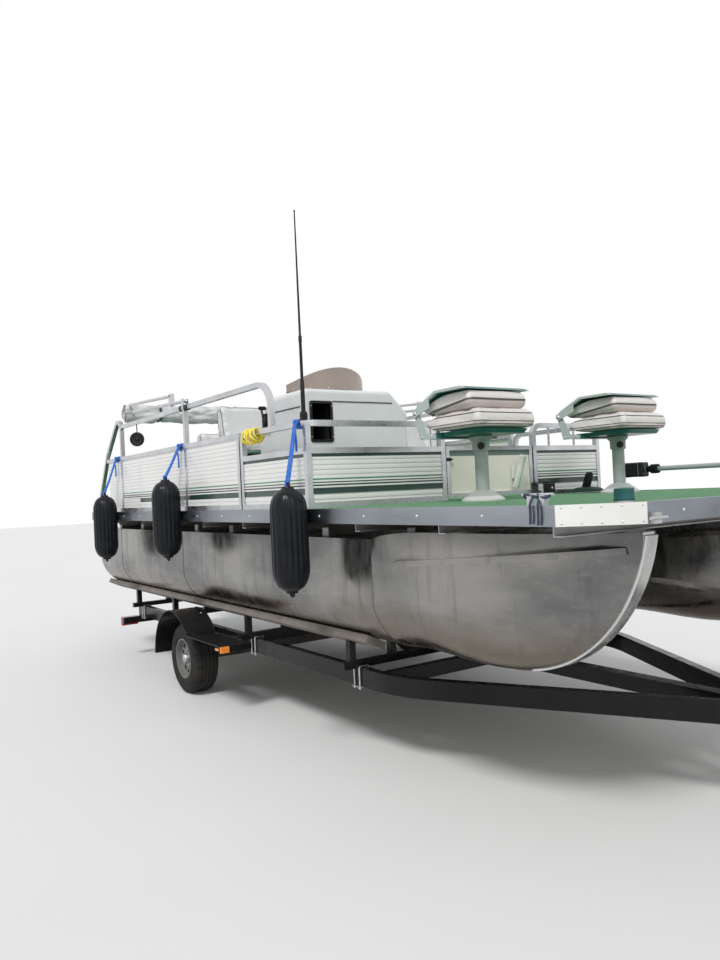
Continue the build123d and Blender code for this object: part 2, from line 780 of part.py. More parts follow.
# High side rails, each on the middle post and butted to the stern hoop; the port one is shorter
with BuildPart() as high_rails:
    for y, rail_end in ((-FENCE_Y, HIGH_RAIL_END), (FENCE_Y, PORT_RAIL_END)):
        bent_bar(
            (
                (ahead(POST_AFT) + TUBE_HALF + SEAT_GAP, y, level(HIGH_RAIL)),
                (ahead(rail_end), y, level(HIGH_RAIL)),
                (ahead(rail_end), y, level(FENCE_TOP)),
            ),
            RAIL_BEND,
            FENCE_TUBE,
        )
        bar((ahead(POST_MID), y, level(FENCE_TOP)), (ahead(POST_MID), y, level(HIGH_RAIL)), FENCE_TUBE)
        for lug in (-1, 1):
            block(
                (
                    ahead(POST_MID) - BIMINI_LUG / 2,
                    y + lug * BIMINI_LUG_SET - BIMINI_LUG_WALL / 2,
                    level(HIGH_RAIL - TUBE_HALF),
                ),
                (
                    ahead(POST_MID) + BIMINI_LUG / 2,
                    y + lug * BIMINI_LUG_SET + BIMINI_LUG_WALL / 2,
                    level(HIGH_RAIL + BIMINI_RISE + BIMINI_LUG / 2),
                ),
            )
        rod(
            (ahead(POST_MID), y - BIMINI_LUG_SET, level(HIGH_RAIL + BIMINI_RISE)),
            (ahead(POST_MID), y + BIMINI_LUG_SET, level(HIGH_RAIL + BIMINI_RISE)),
            BIMINI_PIN_RADIUS,
        )
save(high_rails.part, "high_rails")


def ribbed_panel(plane, width, height):
    """Add a sheet with rolled ribs; the plane's origin is the sheet's lower corner."""
    with BuildSketch(plane) as sheet:
        with Locations((width / 2, height / 2)):
            Rectangle(width, height)
    extrude(sheet.sketch, amount=PANEL_THICKNESS)
    count = int((height - RIB_WIDTH) / RIB_PITCH)
    with BuildSketch(plane.offset(PANEL_THICKNESS)) as ribs:
        with Locations((width / 2, height / 2)):
            with GridLocations(width, RIB_PITCH, 1, count):
                Rectangle(width, RIB_WIDTH)
    extrude(ribs.sketch, amount=RIB_RISE)


PANEL_FOOT = level(FENCE_TUBE)
AFT_HEIGHT = FENCE_TOP - 2 * FENCE_TUBE
FORE_HEIGHT = FENCE_MID - TUBE_HALF - FENCE_TUBE

# Side panels: aft edge, fore edge, height
SIDE_PANELS = (
    (ahead(HOOP_KNEE + FENCE_TUBE), ahead(POST_AFT) - TUBE_HALF, AFT_HEIGHT),
    (ahead(POST_AFT) + TUBE_HALF, ahead(POST_MID) - TUBE_HALF, AFT_HEIGHT),
    (ahead(POST_MID) + TUBE_HALF, ahead(POST_SPLIT) - 3 * TUBE_HALF, AFT_HEIGHT),
    (ahead(POST_SPLIT) + FENCE_TUBE + SEAT_GAP, ahead(POST_FORE) - TUBE_HALF, FORE_HEIGHT),
)

with BuildPart() as fence_panels:
    face = FENCE_Y + TUBE_HALF - PANEL_SET_BACK - RIB_RISE - PANEL_THICKNESS
    for aft, fore, height in SIDE_PANELS:
        side_plane = Plane(origin=(aft, -face, PANEL_FOOT), x_dir=(1, 0, 0), z_dir=(0, -1, 0))
        ribbed_panel(side_plane, fore - aft, height)
    mirror(about=Plane.XZ)
    face = ahead(POST_FORE) + TUBE_HALF - PANEL_SET_BACK - RIB_RISE - PANEL_THICKNESS
    for low, high in (
        (-FENCE_Y + TUBE_HALF, GATE_LOW_Y - TUBE_HALF),
        (GATE_HIGH_Y + TUBE_HALF, FENCE_Y - TUBE_HALF),
    ):
        front_plane = Plane(origin=(face, low, PANEL_FOOT), x_dir=(0, 1, 0), z_dir=(1, 0, 0))
        ribbed_panel(front_plane, high - low, FORE_HEIGHT)
    face = ahead(POST_AFT) - TUBE_HALF + PANEL_SET_BACK + RIB_RISE + PANEL_THICKNESS
    for low, high in (
        (-reach, -STERN_POST_Y - TUBE_HALF),
        (-STERN_POST_Y + TUBE_HALF, STERN_POST_Y - TUBE_HALF),
        (STERN_POST_Y + TUBE_HALF, reach),
    ):
        stern_plane = Plane(origin=(face, high, PANEL_FOOT), x_dir=(0, -1, 0), z_dir=(-1, 0, 0))
        ribbed_panel(stern_plane, high - low, AFT_HEIGHT)
save(fence_panels.part, "fence_panels")

# Console with a slanted dash, a locker in its bow face and the steering column
DASH_TILT = radians(WHEEL_TILT)
DASH_RUN = (CONSOLE_HEIGHT - DASH_FOOT) * sin(DASH_TILT) / cos(DASH_TILT)
COLUMN_FOOT = (
    ahead(CONSOLE_AFT) + WHEEL_DASH_RISE * sin(DASH_TILT) / cos(DASH_TILT),
    WHEEL_Y,
    level(DASH_FOOT + WHEEL_DASH_RISE),
)
COLUMN_PLANE = Plane(origin=COLUMN_FOOT, x_dir=(0, 1, 0), z_dir=(-cos(DASH_TILT), 0, sin(DASH_TILT)))

CONSOLE_FOOT = (ahead(CONSOLE_AFT), 0, level(0))

with BuildPart() as console:
    with BuildSketch(Plane(origin=CONSOLE_FOOT, x_dir=(0, 1, 0), z_dir=(1, 0, 0))) as front:
        with BuildLine():
            Polyline(
                (CONSOLE_LOW_Y, 0),
                (CONSOLE_HIGH_Y, 0),
                (CONSOLE_HIGH_Y, CONSOLE_SHOULDER),
                (CONSOLE_HIGH_Y - CONSOLE_SHOULDER_RUN, CONSOLE_HEIGHT),
                (CONSOLE_LOW_Y, CONSOLE_HEIGHT),
                close=True,
            )
        make_face()
        fillet(front.vertices().group_by(Axis.Y)[1:], CONSOLE_EDGE)
    extrude(front.sketch, amount=CONSOLE_LENGTH)
    bow_edges = console.faces().sort_by(Axis.X)[-1].edges()
    fillet(bow_edges.sort_by(Axis.Z)[1:], CONSOLE_FACE_EDGE)
    with BuildSketch(Plane(origin=CONSOLE_FOOT, x_dir=(1, 0, 0), z_dir=(0, -1, 0))) as dash:
        with BuildLine():
            Polyline((0, DASH_FOOT), (DASH_RUN, CONSOLE_HEIGHT), (0, CONSOLE_HEIGHT), close=True)
        make_face()
    extrude(dash.sketch, amount=2 * CONSOLE_LENGTH, both=True, mode=Mode.SUBTRACT)
    with BuildSketch(COLUMN_PLANE) as column:
        Circle(COLUMN_RADIUS)
    extrude(column.sketch, amount=COLUMN_LENGTH)
    extrude(column.sketch, amount=-COLUMN_RADIUS)
    with BuildSketch(COLUMN_PLANE.offset(COLUMN_RADIUS)) as bore:
        Circle(SHAFT_RADIUS + SHAFT_FIT)
    extrude(bore.sketch, amount=COLUMN_LENGTH, mode=Mode.SUBTRACT)
    with Locations(
        (
            ahead(CONSOLE_AFT + CONSOLE_LENGTH - LOCKER_DEPTH / 2),
            LOCKER_Y,
            level(LOCKER_FLOOR + LOCKER_HEIGHT / 2),
        )
    ):
        Box(LOCKER_DEPTH, LOCKER_WIDTH, LOCKER_HEIGHT, mode=Mode.SUBTRACT)
save(console.part, "console")

with BuildPart() as windscreen:
    low_y = CONSOLE_LOW_Y + SCREEN_INSET
    high_y = CONSOLE_HIGH_Y - CONSOLE_SHOULDER_RUN - SCREEN_INSET
    mid_y = (low_y + high_y) / 2
    with BuildSketch(Plane.XY.offset(level(CONSOLE_HEIGHT) + SEAT_GAP)) as bow_line:
        with BuildLine():
            outer = ThreePointArc(
                (ahead(SCREEN_AFT), low_y),
                (ahead(SCREEN_AFT + SCREEN_BULGE), mid_y),
                (ahead(SCREEN_AFT), high_y),
            )
            inner = ThreePointArc(
                (ahead(SCREEN_AFT), low_y + SCREEN_THICKNESS),
                (ahead(SCREEN_AFT + SCREEN_BULGE) - SCREEN_THICKNESS, mid_y),
                (ahead(SCREEN_AFT), high_y - SCREEN_THICKNESS),
            )
            Line(outer @ 0, inner @ 0)
            Line(outer @ 1, inner @ 1)
        make_face()
    extrude(bow_line.sketch, amount=SCREEN_RISE)
    dome_foot = (ahead(CONSOLE_AFT), 0, level(CONSOLE_HEIGHT))
    with BuildSketch(Plane(origin=dome_foot, x_dir=(0, 1, 0), z_dir=(1, 0, 0))) as dome:
        with BuildLine():
            Polyline((low_y, SCREEN_SIDE_RISE), (low_y, 0), (high_y, 0), (high_y, SCREEN_SIDE_RISE))
            ThreePointArc((low_y, SCREEN_SIDE_RISE), (mid_y, SCREEN_RISE), (high_y, SCREEN_SIDE_RISE))
        make_face()
    extrude(dome.sketch, amount=CONSOLE_LENGTH, mode=Mode.INTERSECT)
save(windscreen.part, "windscreen")

with BuildPart() as steering_wheel:
    wheel_plane = COLUMN_PLANE.offset(WHEEL_STANDOFF)
    with Locations(wheel_plane.location):
        Torus(WHEEL_RADIUS - WHEEL_GRIP, WHEEL_GRIP)
    with BuildSketch(wheel_plane.offset(-WHEEL_GRIP / 2)) as spokes:
        Circle(WHEEL_HUB)
        for angle in SPOKE_ANGLES:
            with Locations(Rot(0, 0, angle) * Pos(WHEEL_RADIUS / 2, 0)):
                Rectangle(WHEEL_RADIUS - 2 * WHEEL_GRIP, WHEEL_HUB)
    extrude(spokes.sketch, amount=WHEEL_GRIP)
    with BuildSketch(wheel_plane) as shaft:
        Circle(SHAFT_RADIUS)
    extrude(shaft.sketch, amount=COLUMN_RADIUS + SHAFT_RADIUS - WHEEL_STANDOFF)
save(steering_wheel.part, "steering_wheel")

# Seat pedestals: place, side, seat plate's height
PEDESTALS = (
    (HELM_SEAT_X, HELM_SEAT_Y, HELM_PLATE),
    (SEAT_X, SEAT_PLACES[0][1], SEAT_PLATE),
    (SEAT_X, SEAT_PLACES[1][1], SEAT_PLATE),
)

with BuildPart() as seat_pedestals:
    for place, y, height in PEDESTALS:
        with BuildSketch(Plane(origin=(ahead(place), y, 0), x_dir=(1, 0, 0), z_dir=(0, -1, 0))) as turned:
            with BuildLine():
                Polyline(
                    (0, level(0)),
                    (PEDESTAL_FOOT, level(0)),
                    (PEDESTAL_FOOT, level(PEDESTAL_PLATE)),
                    (PEDESTAL_RADIUS + PEDESTAL_COLLAR, level(PEDESTAL_FOOT_RISE)),
                    (PEDESTAL_RADIUS, level(PEDESTAL_FOOT_RISE)),
                    (PEDESTAL_RADIUS, level(height - SOCKET_LENGTH)),
                    (SOCKET_RADIUS, level(height - SOCKET_LENGTH)),
                    (SOCKET_RADIUS, level(height - SOCKET_FLARE)),
                    (PEDESTAL_PLATE_RADIUS, level(height - PEDESTAL_PLATE)),
                    (PEDESTAL_PLATE_RADIUS, level(height)),
                    (SWIVEL_PIN_RADIUS, level(height)),
                    (SWIVEL_PIN_RADIUS, level(height + SWIVEL_RISE)),
                    (0, level(height + SWIVEL_RISE)),
                    close=True,
                )
            make_face()
        revolve(turned.sketch, axis=Axis((ahead(place), y, 0), (0, 0, 1)))
        knob_z = level(height - (SOCKET_LENGTH + SOCKET_FLARE) / 2)
        reach = SOCKET_RADIUS + KNOB_REACH
        rod(
            (ahead(place), y, knob_z),
            (ahead(place) + reach * cos(radians(KNOB_ANGLE)), y + reach * sin(radians(KNOB_ANGLE)), knob_z),
            KNOB_RADIUS,
        )
save(seat_pedestals.part, "seat_pedestals")


def swivel_socket(place, y, height):
    """Cut the socket for a pedestal's pin out of the open part."""
    with BuildSketch(Plane(origin=(ahead(place), y, level(height)))) as socket:
        Circle(SWIVEL_PIN_RADIUS + SWIVEL_FIT)
    extrude(socket.sketch, amount=SWIVEL_RISE + SEAT_GAP, mode=Mode.SUBTRACT)


with BuildPart() as helm_chair:
    base = HELM_PLATE + SEAT_GAP
    x = ahead(HELM_SEAT_X)
    pan_top = base + SWIVEL_RISE + PEDESTAL_PLATE
    block(
        (x - PEDESTAL_FOOT, HELM_SEAT_Y - PEDESTAL_FOOT, level(base)),
        (x + PEDESTAL_FOOT, HELM_SEAT_Y + PEDESTAL_FOOT, level(pan_top)),
    )
    swivel_socket(HELM_SEAT_X, HELM_SEAT_Y, base)
    with Locations((x, HELM_SEAT_Y, level(pan_top + HELM_CUSHION / 2))):
        seat = Box(HELM_DEPTH, HELM_WIDTH, HELM_CUSHION, mode=Mode.PRIVATE)
    add(seat.fillet(HELM_ROUND, seat.edges()))
    back_foot = pan_top + HELM_CUSHION / 2
    with Locations(
        Pos(x - HELM_DEPTH / 2, HELM_SEAT_Y, level((back_foot + HELM_BACK_TOP) / 2)) * Rot(0, -HELM_RAKE, 0)
    ):
        back = Box(HELM_BACK_THICKNESS, HELM_WIDTH, HELM_BACK_TOP - back_foot, mode=Mode.PRIVATE)
    add(back.fillet(HELM_ROUND, back.edges()))
save(helm_chair.part, "helm_chair")

# Lounges: a stern bench and a port bench
LOUNGE_AFT = POST_AFT + FENCE_TUBE
LOUNGE_FORE = LOUNGE_AFT + LOUNGE_DEPTH
LOUNGE_PORT = FENCE_Y - FENCE_TUBE - LOUNGE_GAP
PORT_LOUNGE_LOW_Y = LOUNGE_PORT - PORT_LOUNGE_DEPTH

with BuildPart() as lounge_bases:
    block(
        (ahead(LOUNGE_AFT), STERN_LOUNGE_LOW_Y, level(0)),
        (ahead(LOUNGE_FORE) - LOUNGE_GAP, LOUNGE_PORT, level(LOUNGE_SEAT)),
    )
    block(
        (ahead(LOUNGE_FORE) - LOUNGE_GAP, PORT_LOUNGE_LOW_Y, level(0)),
        (ahead(PORT_LOUNGE_END), LOUNGE_PORT, level(LOUNGE_SEAT)),
    )
save(lounge_bases.part, "lounge_bases")

SEAT_LINE = LOUNGE_SEAT + SEAT_GAP
BACK_FACE = LOUNGE_AFT + LOUNGE_BACK_THICKNESS
PORT_BACK_FACE = LOUNGE_PORT - LOUNGE_BACK_THICKNESS

STERN_SEAT_SPLIT = (STERN_LOUNGE_LOW_Y + PORT_LOUNGE_LOW_Y) / 2
STERN_BACK_SPLIT = (STERN_LOUNGE_LOW_Y + LOUNGE_PORT) / 2
PORT_SEAT_SPLIT = (LOUNGE_FORE + PORT_LOUNGE_END) / 2
PORT_BACK_SPLIT = (BACK_FACE + PORT_LOUNGE_END) / 2
SEAT_TOP = SEAT_LINE + LOUNGE_CUSHION

# Lounge cushions: low corner and high corner, in places, sides and heights
CUSHIONS = (
    ((BACK_FACE, STERN_LOUNGE_LOW_Y, SEAT_LINE), (LOUNGE_FORE, STERN_SEAT_SPLIT, SEAT_TOP)),
    ((BACK_FACE, STERN_SEAT_SPLIT, SEAT_LINE), (LOUNGE_FORE, PORT_LOUNGE_LOW_Y, SEAT_TOP)),
    ((BACK_FACE, PORT_LOUNGE_LOW_Y, SEAT_LINE), (LOUNGE_FORE, PORT_BACK_FACE, SEAT_TOP)),
    ((LOUNGE_FORE, PORT_LOUNGE_LOW_Y, SEAT_LINE), (PORT_SEAT_SPLIT, PORT_BACK_FACE, SEAT_TOP)),
    ((PORT_SEAT_SPLIT, PORT_LOUNGE_LOW_Y, SEAT_LINE), (PORT_LOUNGE_END, PORT_BACK_FACE, SEAT_TOP)),
    ((LOUNGE_AFT, STERN_LOUNGE_LOW_Y, SEAT_LINE), (BACK_FACE, STERN_BACK_SPLIT, LOUNGE_BACK_TOP)),
    ((LOUNGE_AFT, STERN_BACK_SPLIT, SEAT_LINE), (BACK_FACE, LOUNGE_PORT, LOUNGE_BACK_TOP)),
    ((BACK_FACE, PORT_BACK_FACE, SEAT_LINE), (PORT_BACK_SPLIT, LOUNGE_PORT, LOUNGE_BACK_TOP)),
    ((PORT_BACK_SPLIT, PORT_BACK_FACE, SEAT_LINE), (PORT_LOUNGE_END, LOUNGE_PORT, LOUNGE_BACK_TOP)),
)

with BuildPart() as lounge_cushions:
    for low, high in CUSHIONS:
        span = [high[index] - low[index] - LOUNGE_GAP / 2 * (index < 2) for index in range(3)]
        middle = [(high[index] + low[index]) / 2 for index in range(3)]
        with Locations((ahead(middle[0]), middle[1], level(middle[2]))):
            pad = Box(*span, mode=Mode.PRIVATE)
        add(pad.fillet(LOUNGE_CORNER, pad.edges()))
save(lounge_cushions.part, "lounge_cushions")

# Fishing seats, each facing the bow with its back folded down on the cushion
SHELL_FOOT = SEAT_PLATE + SEAT_GAP
SHELL_TOP = SHELL_FOOT + PEDESTAL_PLATE + SEAT_SHELL
CUSHION_FOOT = SHELL_TOP + SEAT_GAP
HINGE_PLACE = SEAT_X - SEAT_HINGE_SET
HINGE_RISE = SEAT_PLATE + SEAT_HINGE_RISE
BACK_FOOT = CUSHION_FOOT + SEAT_CUSHION + SEAT_FOLD_GAP
BRACKET_Y = SEAT_WIDTH / 2 + SEAT_BRACKET_CLEARANCE
EAR_Y = BRACKET_Y + SEAT_BRACKET + SEAT_BRACKET_CLEARANCE
BACK_AFT = HINGE_PLACE + 2 * SEAT_FOLD_GAP
BACK_FORE = BACK_AFT + SEAT_BACK_LENGTH
BACK_CROWN = BACK_FOOT + SEAT_BACK_THICKNESS
BACK_TIP = BACK_FOOT + SEAT_BACK_TIP
SEAT_AFT = SEAT_X - SEAT_DEPTH / 2
SEAT_FORE = SEAT_X + SEAT_DEPTH / 2


def silhouette(y, points, front_round=0, tip_round=0):
    """Sketch of an outline in places and heights, standing at y; front corners and the rest are rounded."""
    with BuildSketch(Plane(origin=(STERN, y, DECK), x_dir=(1, 0, 0), z_dir=(0, -1, 0))) as outline:
        with BuildLine():
            Polyline(*points, close=True)
        make_face()
        if front_round:
            fillet(outline.vertices().sort_by(Axis.X)[-2:], front_round)
        if tip_round:
            fillet(outline.vertices().sort_by(Axis.X)[: len(points) - 2], tip_round)
    return outline.sketch


def soft_pad(y, points):
    """Add a cushion of a side outline with its cheeks rounded to the open part."""
    outline = silhouette(y, points, SEAT_FRONT_ROUND, SEAT_ROUND)
    pad = extrude(outline, amount=SEAT_WIDTH / 2, both=True, mode=Mode.PRIVATE)
    add(pad.fillet(SEAT_ROUND, pad.faces().filter_by(Axis.Y).edges()))


SEAT_OUTLINE = (
    (SEAT_AFT + SEAT_TIP_RUN, CUSHION_FOOT),
    (SEAT_FORE, CUSHION_FOOT),
    (SEAT_FORE, CUSHION_FOOT + SEAT_CUSHION),
    (SEAT_AFT + SEAT_CROWN_RUN, CUSHION_FOOT + SEAT_CUSHION),
    (SEAT_AFT, CUSHION_FOOT + SEAT_TIP_TOP),
    (SEAT_AFT, CUSHION_FOOT + SEAT_TIP_FOOT),
)
BACK_OUTLINE = (
    (BACK_AFT, BACK_FOOT),
    (BACK_FORE, BACK_FOOT),
    (BACK_FORE, BACK_CROWN),
    (BACK_AFT + SEAT_BACK_SLOPE, BACK_CROWN),
    (BACK_AFT, BACK_TIP),
)
BACK_SHELL_OUTLINE = (
    (BACK_AFT, BACK_TIP + 2 * SEAT_GAP),
    (BACK_AFT + SEAT_BACK_SLOPE, BACK_CROWN + 2 * SEAT_GAP),
    (BACK_FORE - SEAT_BACK_LIP, BACK_CROWN + 2 * SEAT_GAP),
    (BACK_FORE - 2 * SEAT_BACK_LIP, BACK_CROWN + SEAT_BACK_SHELL),
    (BACK_AFT + SEAT_BACK_SLOPE - SEAT_BACK_SHELL / 2, BACK_CROWN + SEAT_BACK_SHELL),
    (BACK_AFT, BACK_TIP + SEAT_BACK_SHELL),
)
BRACKET_OUTLINE = (
    (HINGE_PLACE - SEAT_BOSS, HINGE_RISE),
    (HINGE_PLACE + SEAT_BRACKET_FOOT, SHELL_FOOT),
    (HINGE_PLACE + SEAT_BRACKET_LENGTH, SHELL_FOOT),
    (HINGE_PLACE + SEAT_BRACKET_LENGTH, SHELL_FOOT + SEAT_SHELL),
    (HINGE_PLACE + SEAT_BRACKET_LEG, SHELL_FOOT + SEAT_SHELL + PEDESTAL_PLATE),
    (HINGE_PLACE + SEAT_BOSS, HINGE_RISE),
)
EAR_OUTLINE = (
    (HINGE_PLACE, HINGE_RISE - SEAT_BOSS),
    (HINGE_PLACE + SEAT_EAR_REACH, BACK_TIP),
    (HINGE_PLACE + SEAT_EAR_REACH, BACK_TIP + SEAT_EAR_RISE),
    (BACK_AFT, BACK_TIP + SEAT_BACK_SHELL),
    (HINGE_PLACE - SEAT_BOSS, HINGE_RISE),
)


for name, y in SEAT_PLACES:
    with BuildPart() as seat_shell:
        with Locations((ahead(SEAT_X), y, level((SHELL_FOOT + SHELL_TOP) / 2))):
            Cylinder(PEDESTAL_PLATE_RADIUS, SHELL_TOP - SHELL_FOOT)
        with BuildSketch(Plane(origin=(ahead(SEAT_X), y, level(SHELL_TOP)))) as tray:
            RectangleRounded(
                SEAT_DEPTH - 2 * SEAT_TRAY_INSET, SEAT_WIDTH - 2 * SEAT_TRAY_INSET, SEAT_TRAY_CORNER
            )
        extrude(tray.sketch, amount=-SEAT_SHELL, taper=SEAT_TRAY_TAPER)
        bracket_half = BRACKET_Y + SEAT_BRACKET
        block(
            (ahead(HINGE_PLACE + SEAT_BRACKET_LEG), y - bracket_half, level(SHELL_FOOT)),
            (ahead(HINGE_PLACE + SEAT_BRACKET_LENGTH), y + bracket_half, level(SHELL_FOOT + SEAT_SHELL)),
        )
        for side in (-1, 1):
            plate_y = y + side * (BRACKET_Y + SEAT_BRACKET / 2)
            extrude(silhouette(plate_y, BRACKET_OUTLINE), amount=SEAT_BRACKET / 2, both=True)
            rod(
                (ahead(HINGE_PLACE), plate_y - SEAT_BRACKET / 2, level(HINGE_RISE)),
                (ahead(HINGE_PLACE), plate_y + SEAT_BRACKET / 2, level(HINGE_RISE)),
                SEAT_BOSS,
            )
        with BuildSketch(Plane(origin=(ahead(HINGE_PLACE), y, level(HINGE_RISE)), z_dir=(0, 1, 0))) as hinge:
            Circle(SEAT_PIN_RADIUS + HINGE_FIT)
        extrude(hinge.sketch, amount=SEAT_WIDTH, both=True, mode=Mode.SUBTRACT)
        swivel_socket(SEAT_X, y, SHELL_FOOT)
    save(seat_shell.part, f"{name}_seat_shell")

    with BuildPart() as seat_cushion:
        soft_pad(y, SEAT_OUTLINE)
    save(seat_cushion.part, f"{name}_seat_cushion")

    with BuildPart() as back_cushion:
        soft_pad(y, BACK_OUTLINE)
    save(back_cushion.part, f"{name}_back_cushion")

    with BuildPart() as back_shell:
        extrude(silhouette(y, BACK_SHELL_OUTLINE), amount=EAR_Y + SEAT_BRACKET, both=True)
        for side in (-1, 1):
            ear_y = y + side * (EAR_Y + SEAT_BRACKET / 2)
            extrude(silhouette(ear_y, EAR_OUTLINE), amount=SEAT_BRACKET / 2, both=True)
            rod(
                (ahead(HINGE_PLACE), ear_y - SEAT_BRACKET / 2, level(HINGE_RISE)),
                (ahead(HINGE_PLACE), ear_y + SEAT_BRACKET / 2, level(HINGE_RISE)),
                SEAT_BOSS,
            )
            rod(
                (ahead(HINGE_PLACE), y + side * BRACKET_Y, level(HINGE_RISE)),
                (ahead(HINGE_PLACE), y + side * EAR_Y, level(HINGE_RISE)),
                SEAT_PIN_RADIUS,
            )
    save(back_shell.part, f"{name}_back_shell")

# Deck fittings: cleats on the rail and bow lights
with BuildPart() as deck_fittings:
    for side in (-1, 1):
        cleat_y = side * (HALF - RAIL_LIP / 2)
        for post in (-1, 1):
            block(
                (
                    ahead(BOW_CLEAT_X) + post * CLEAT_POST_SET - CLEAT_POST / 2,
                    cleat_y - RAIL_LIP / 2,
                    level(0),
                ),
                (
                    ahead(BOW_CLEAT_X) + post * CLEAT_POST_SET + CLEAT_POST / 2,
                    cleat_y + RAIL_LIP / 2,
                    level(CLEAT_RISE),
                ),
            )
        rod(
            (ahead(BOW_CLEAT_X) - CLEAT_LENGTH / 2, cleat_y, level(CLEAT_RISE)),
            (ahead(BOW_CLEAT_X) + CLEAT_LENGTH / 2, cleat_y, level(CLEAT_RISE)),
            CLEAT_HORN / 2,
        )
        block(
            (BOW, side * FRONT_CLEAT_Y - CLEAT_WIDTH / 2, level(-RAIL_HEIGHT)),
            (BOW + CLEAT_POST, side * FRONT_CLEAT_Y + CLEAT_WIDTH / 2, level(-RAIL_HEIGHT + CLEAT_RISE)),
        )
        horn_z = level(-RAIL_HEIGHT + CLEAT_RISE / 2)
        rod(
            (BOW + CLEAT_POST, side * FRONT_CLEAT_Y - FRONT_CLEAT_WIDTH / 2, horn_z),
            (BOW + CLEAT_POST, side * FRONT_CLEAT_Y + FRONT_CLEAT_WIDTH / 2, horn_z),
            CLEAT_HORN / 2,
        )
    with Locations((ahead(LIGHT_X), LIGHT_Y, level(LIGHT_RISE / 2))):
        Cylinder(LIGHT_RADIUS, LIGHT_RISE)
save(deck_fittings.part, "deck_fittings")

# Fenders on the starboard side, each on its rope
FENDER_Y = -HALF - FENDER_RADIUS - SEAT_GAP

with BuildPart() as fenders:
    for place, drop, rope_place in FENDERS:
        middle = Plane(origin=(ahead(place), FENDER_Y, 0), x_dir=(1, 0, 0), z_dir=(0, -1, 0))
        with BuildSketch(middle) as turned:
            foot = level(-drop) + FENDER_NECK
            head = level(-drop) + FENDER_LENGTH
            crown = FENDER_RADIUS - FENDER_SHOULDER
            with BuildLine():
                Polyline(
                    (crown, head),
                    (FENDER_NECK_RADIUS, head),
                    (FENDER_NECK_RADIUS, head + FENDER_NECK),
                    (0, head + FENDER_NECK),
                    (0, foot - FENDER_NECK),
                    (FENDER_NECK_RADIUS, foot - FENDER_NECK),
                    (FENDER_NECK_RADIUS, foot),
                    (crown, foot),
                )
                low_end = CenterArc((crown, foot + FENDER_SHOULDER), FENDER_SHOULDER, -90, 90)
                high_end = CenterArc((crown, head - FENDER_SHOULDER), FENDER_SHOULDER, 0, 90)
                Line(low_end @ 1, high_end @ 0)
            make_face()
        revolve(turned.sketch, axis=Axis((ahead(place), FENDER_Y, 0), (0, 0, 1)))
save(fenders.part, "fenders")

with BuildPart() as fender_ropes:
    loop_radius = FENCE_TUBE / sqrt(2) + ROPE_RADIUS + SEAT_GAP
    knot_y = -FENCE_Y - loop_radius
    for place, drop, rope_place in FENDERS:
        with Locations(Pos(ahead(rope_place), -FENCE_Y, TOP_LINE) * Rot(0, 90, 0)):
            Torus(loop_radius, ROPE_RADIUS)
        rod(
            (ahead(place), FENDER_Y, level(FENDER_LENGTH + FENDER_NECK - drop) + SEAT_GAP),
            (ahead(rope_place), knot_y, TOP_LINE),
            ROPE_RADIUS,
        )
        with Locations((ahead(rope_place), -FENCE_Y, TOP_LINE - FENCE_TUBE)):
            Box(FENCE_TUBE, 2 * loop_radius - ROPE_RADIUS, FENCE_TUBE + 2 * ROPE_RADIUS, mode=Mode.SUBTRACT)
        with Locations((ahead(rope_place), knot_y, TOP_LINE)):
            Sphere(KNOT_RADIUS)
    add(fenders.part, mode=Mode.SUBTRACT)
save(fender_ropes.part, "fender_ropes")

with BuildPart() as whip_antenna:
    foot = TOP_LINE + TUBE_HALF
    block(
        (ahead(ANTENNA_X) - TUBE_HALF, -FENCE_Y - TUBE_HALF, foot),
        (ahead(ANTENNA_X) + TUBE_HALF, -FENCE_Y + TUBE_HALF, foot + CLEAT_POST),
    )
    for head, radius in ((ANTENNA_STEP, ANTENNA_BASE_RADIUS), (ANTENNA_TOP, ANTENNA_RADIUS)):
        rod((ahead(ANTENNA_X), -FENCE_Y, foot), (ahead(ANTENNA_X), -FENCE_Y, level(head)), radius)
save(whip_antenna.part, "whip_antenna")

with BuildPart() as rope_hank:
    sag = sqrt((HANK_RADIUS - HANK_THICKNESS) ** 2 - TUBE_HALF**2)
    hank_z = TOP_LINE + TUBE_HALF - sag + SEAT_GAP
    for turn in range(HANK_TURNS):
        with Locations(Pos(ahead(HANK_PLACE + turn * HANK_PITCH), -FENCE_Y, hank_z) * Rot(0, 90, 0)):
            Torus(HANK_RADIUS, HANK_THICKNESS)
save(rope_hank.part, "rope_hank")

# Trolling motor on the port bow: mount with pivot ears, tilting carrier, sliding shaft, propeller
SHAFT_Z = level(TROLLING_HEIGHT)
EAR_Y_INNER = TROLLING_CARRIER / 2 + SEAT_BRACKET_CLEARANCE
CARRIER_HALF = TROLLING_CARRIER / 2

PLATE_LOW_Y = TROLLING_Y - TROLLING_PLATE_WIDTH / 2
PLATE_HIGH_Y = TROLLING_Y + TROLLING_PLATE_WIDTH / 2

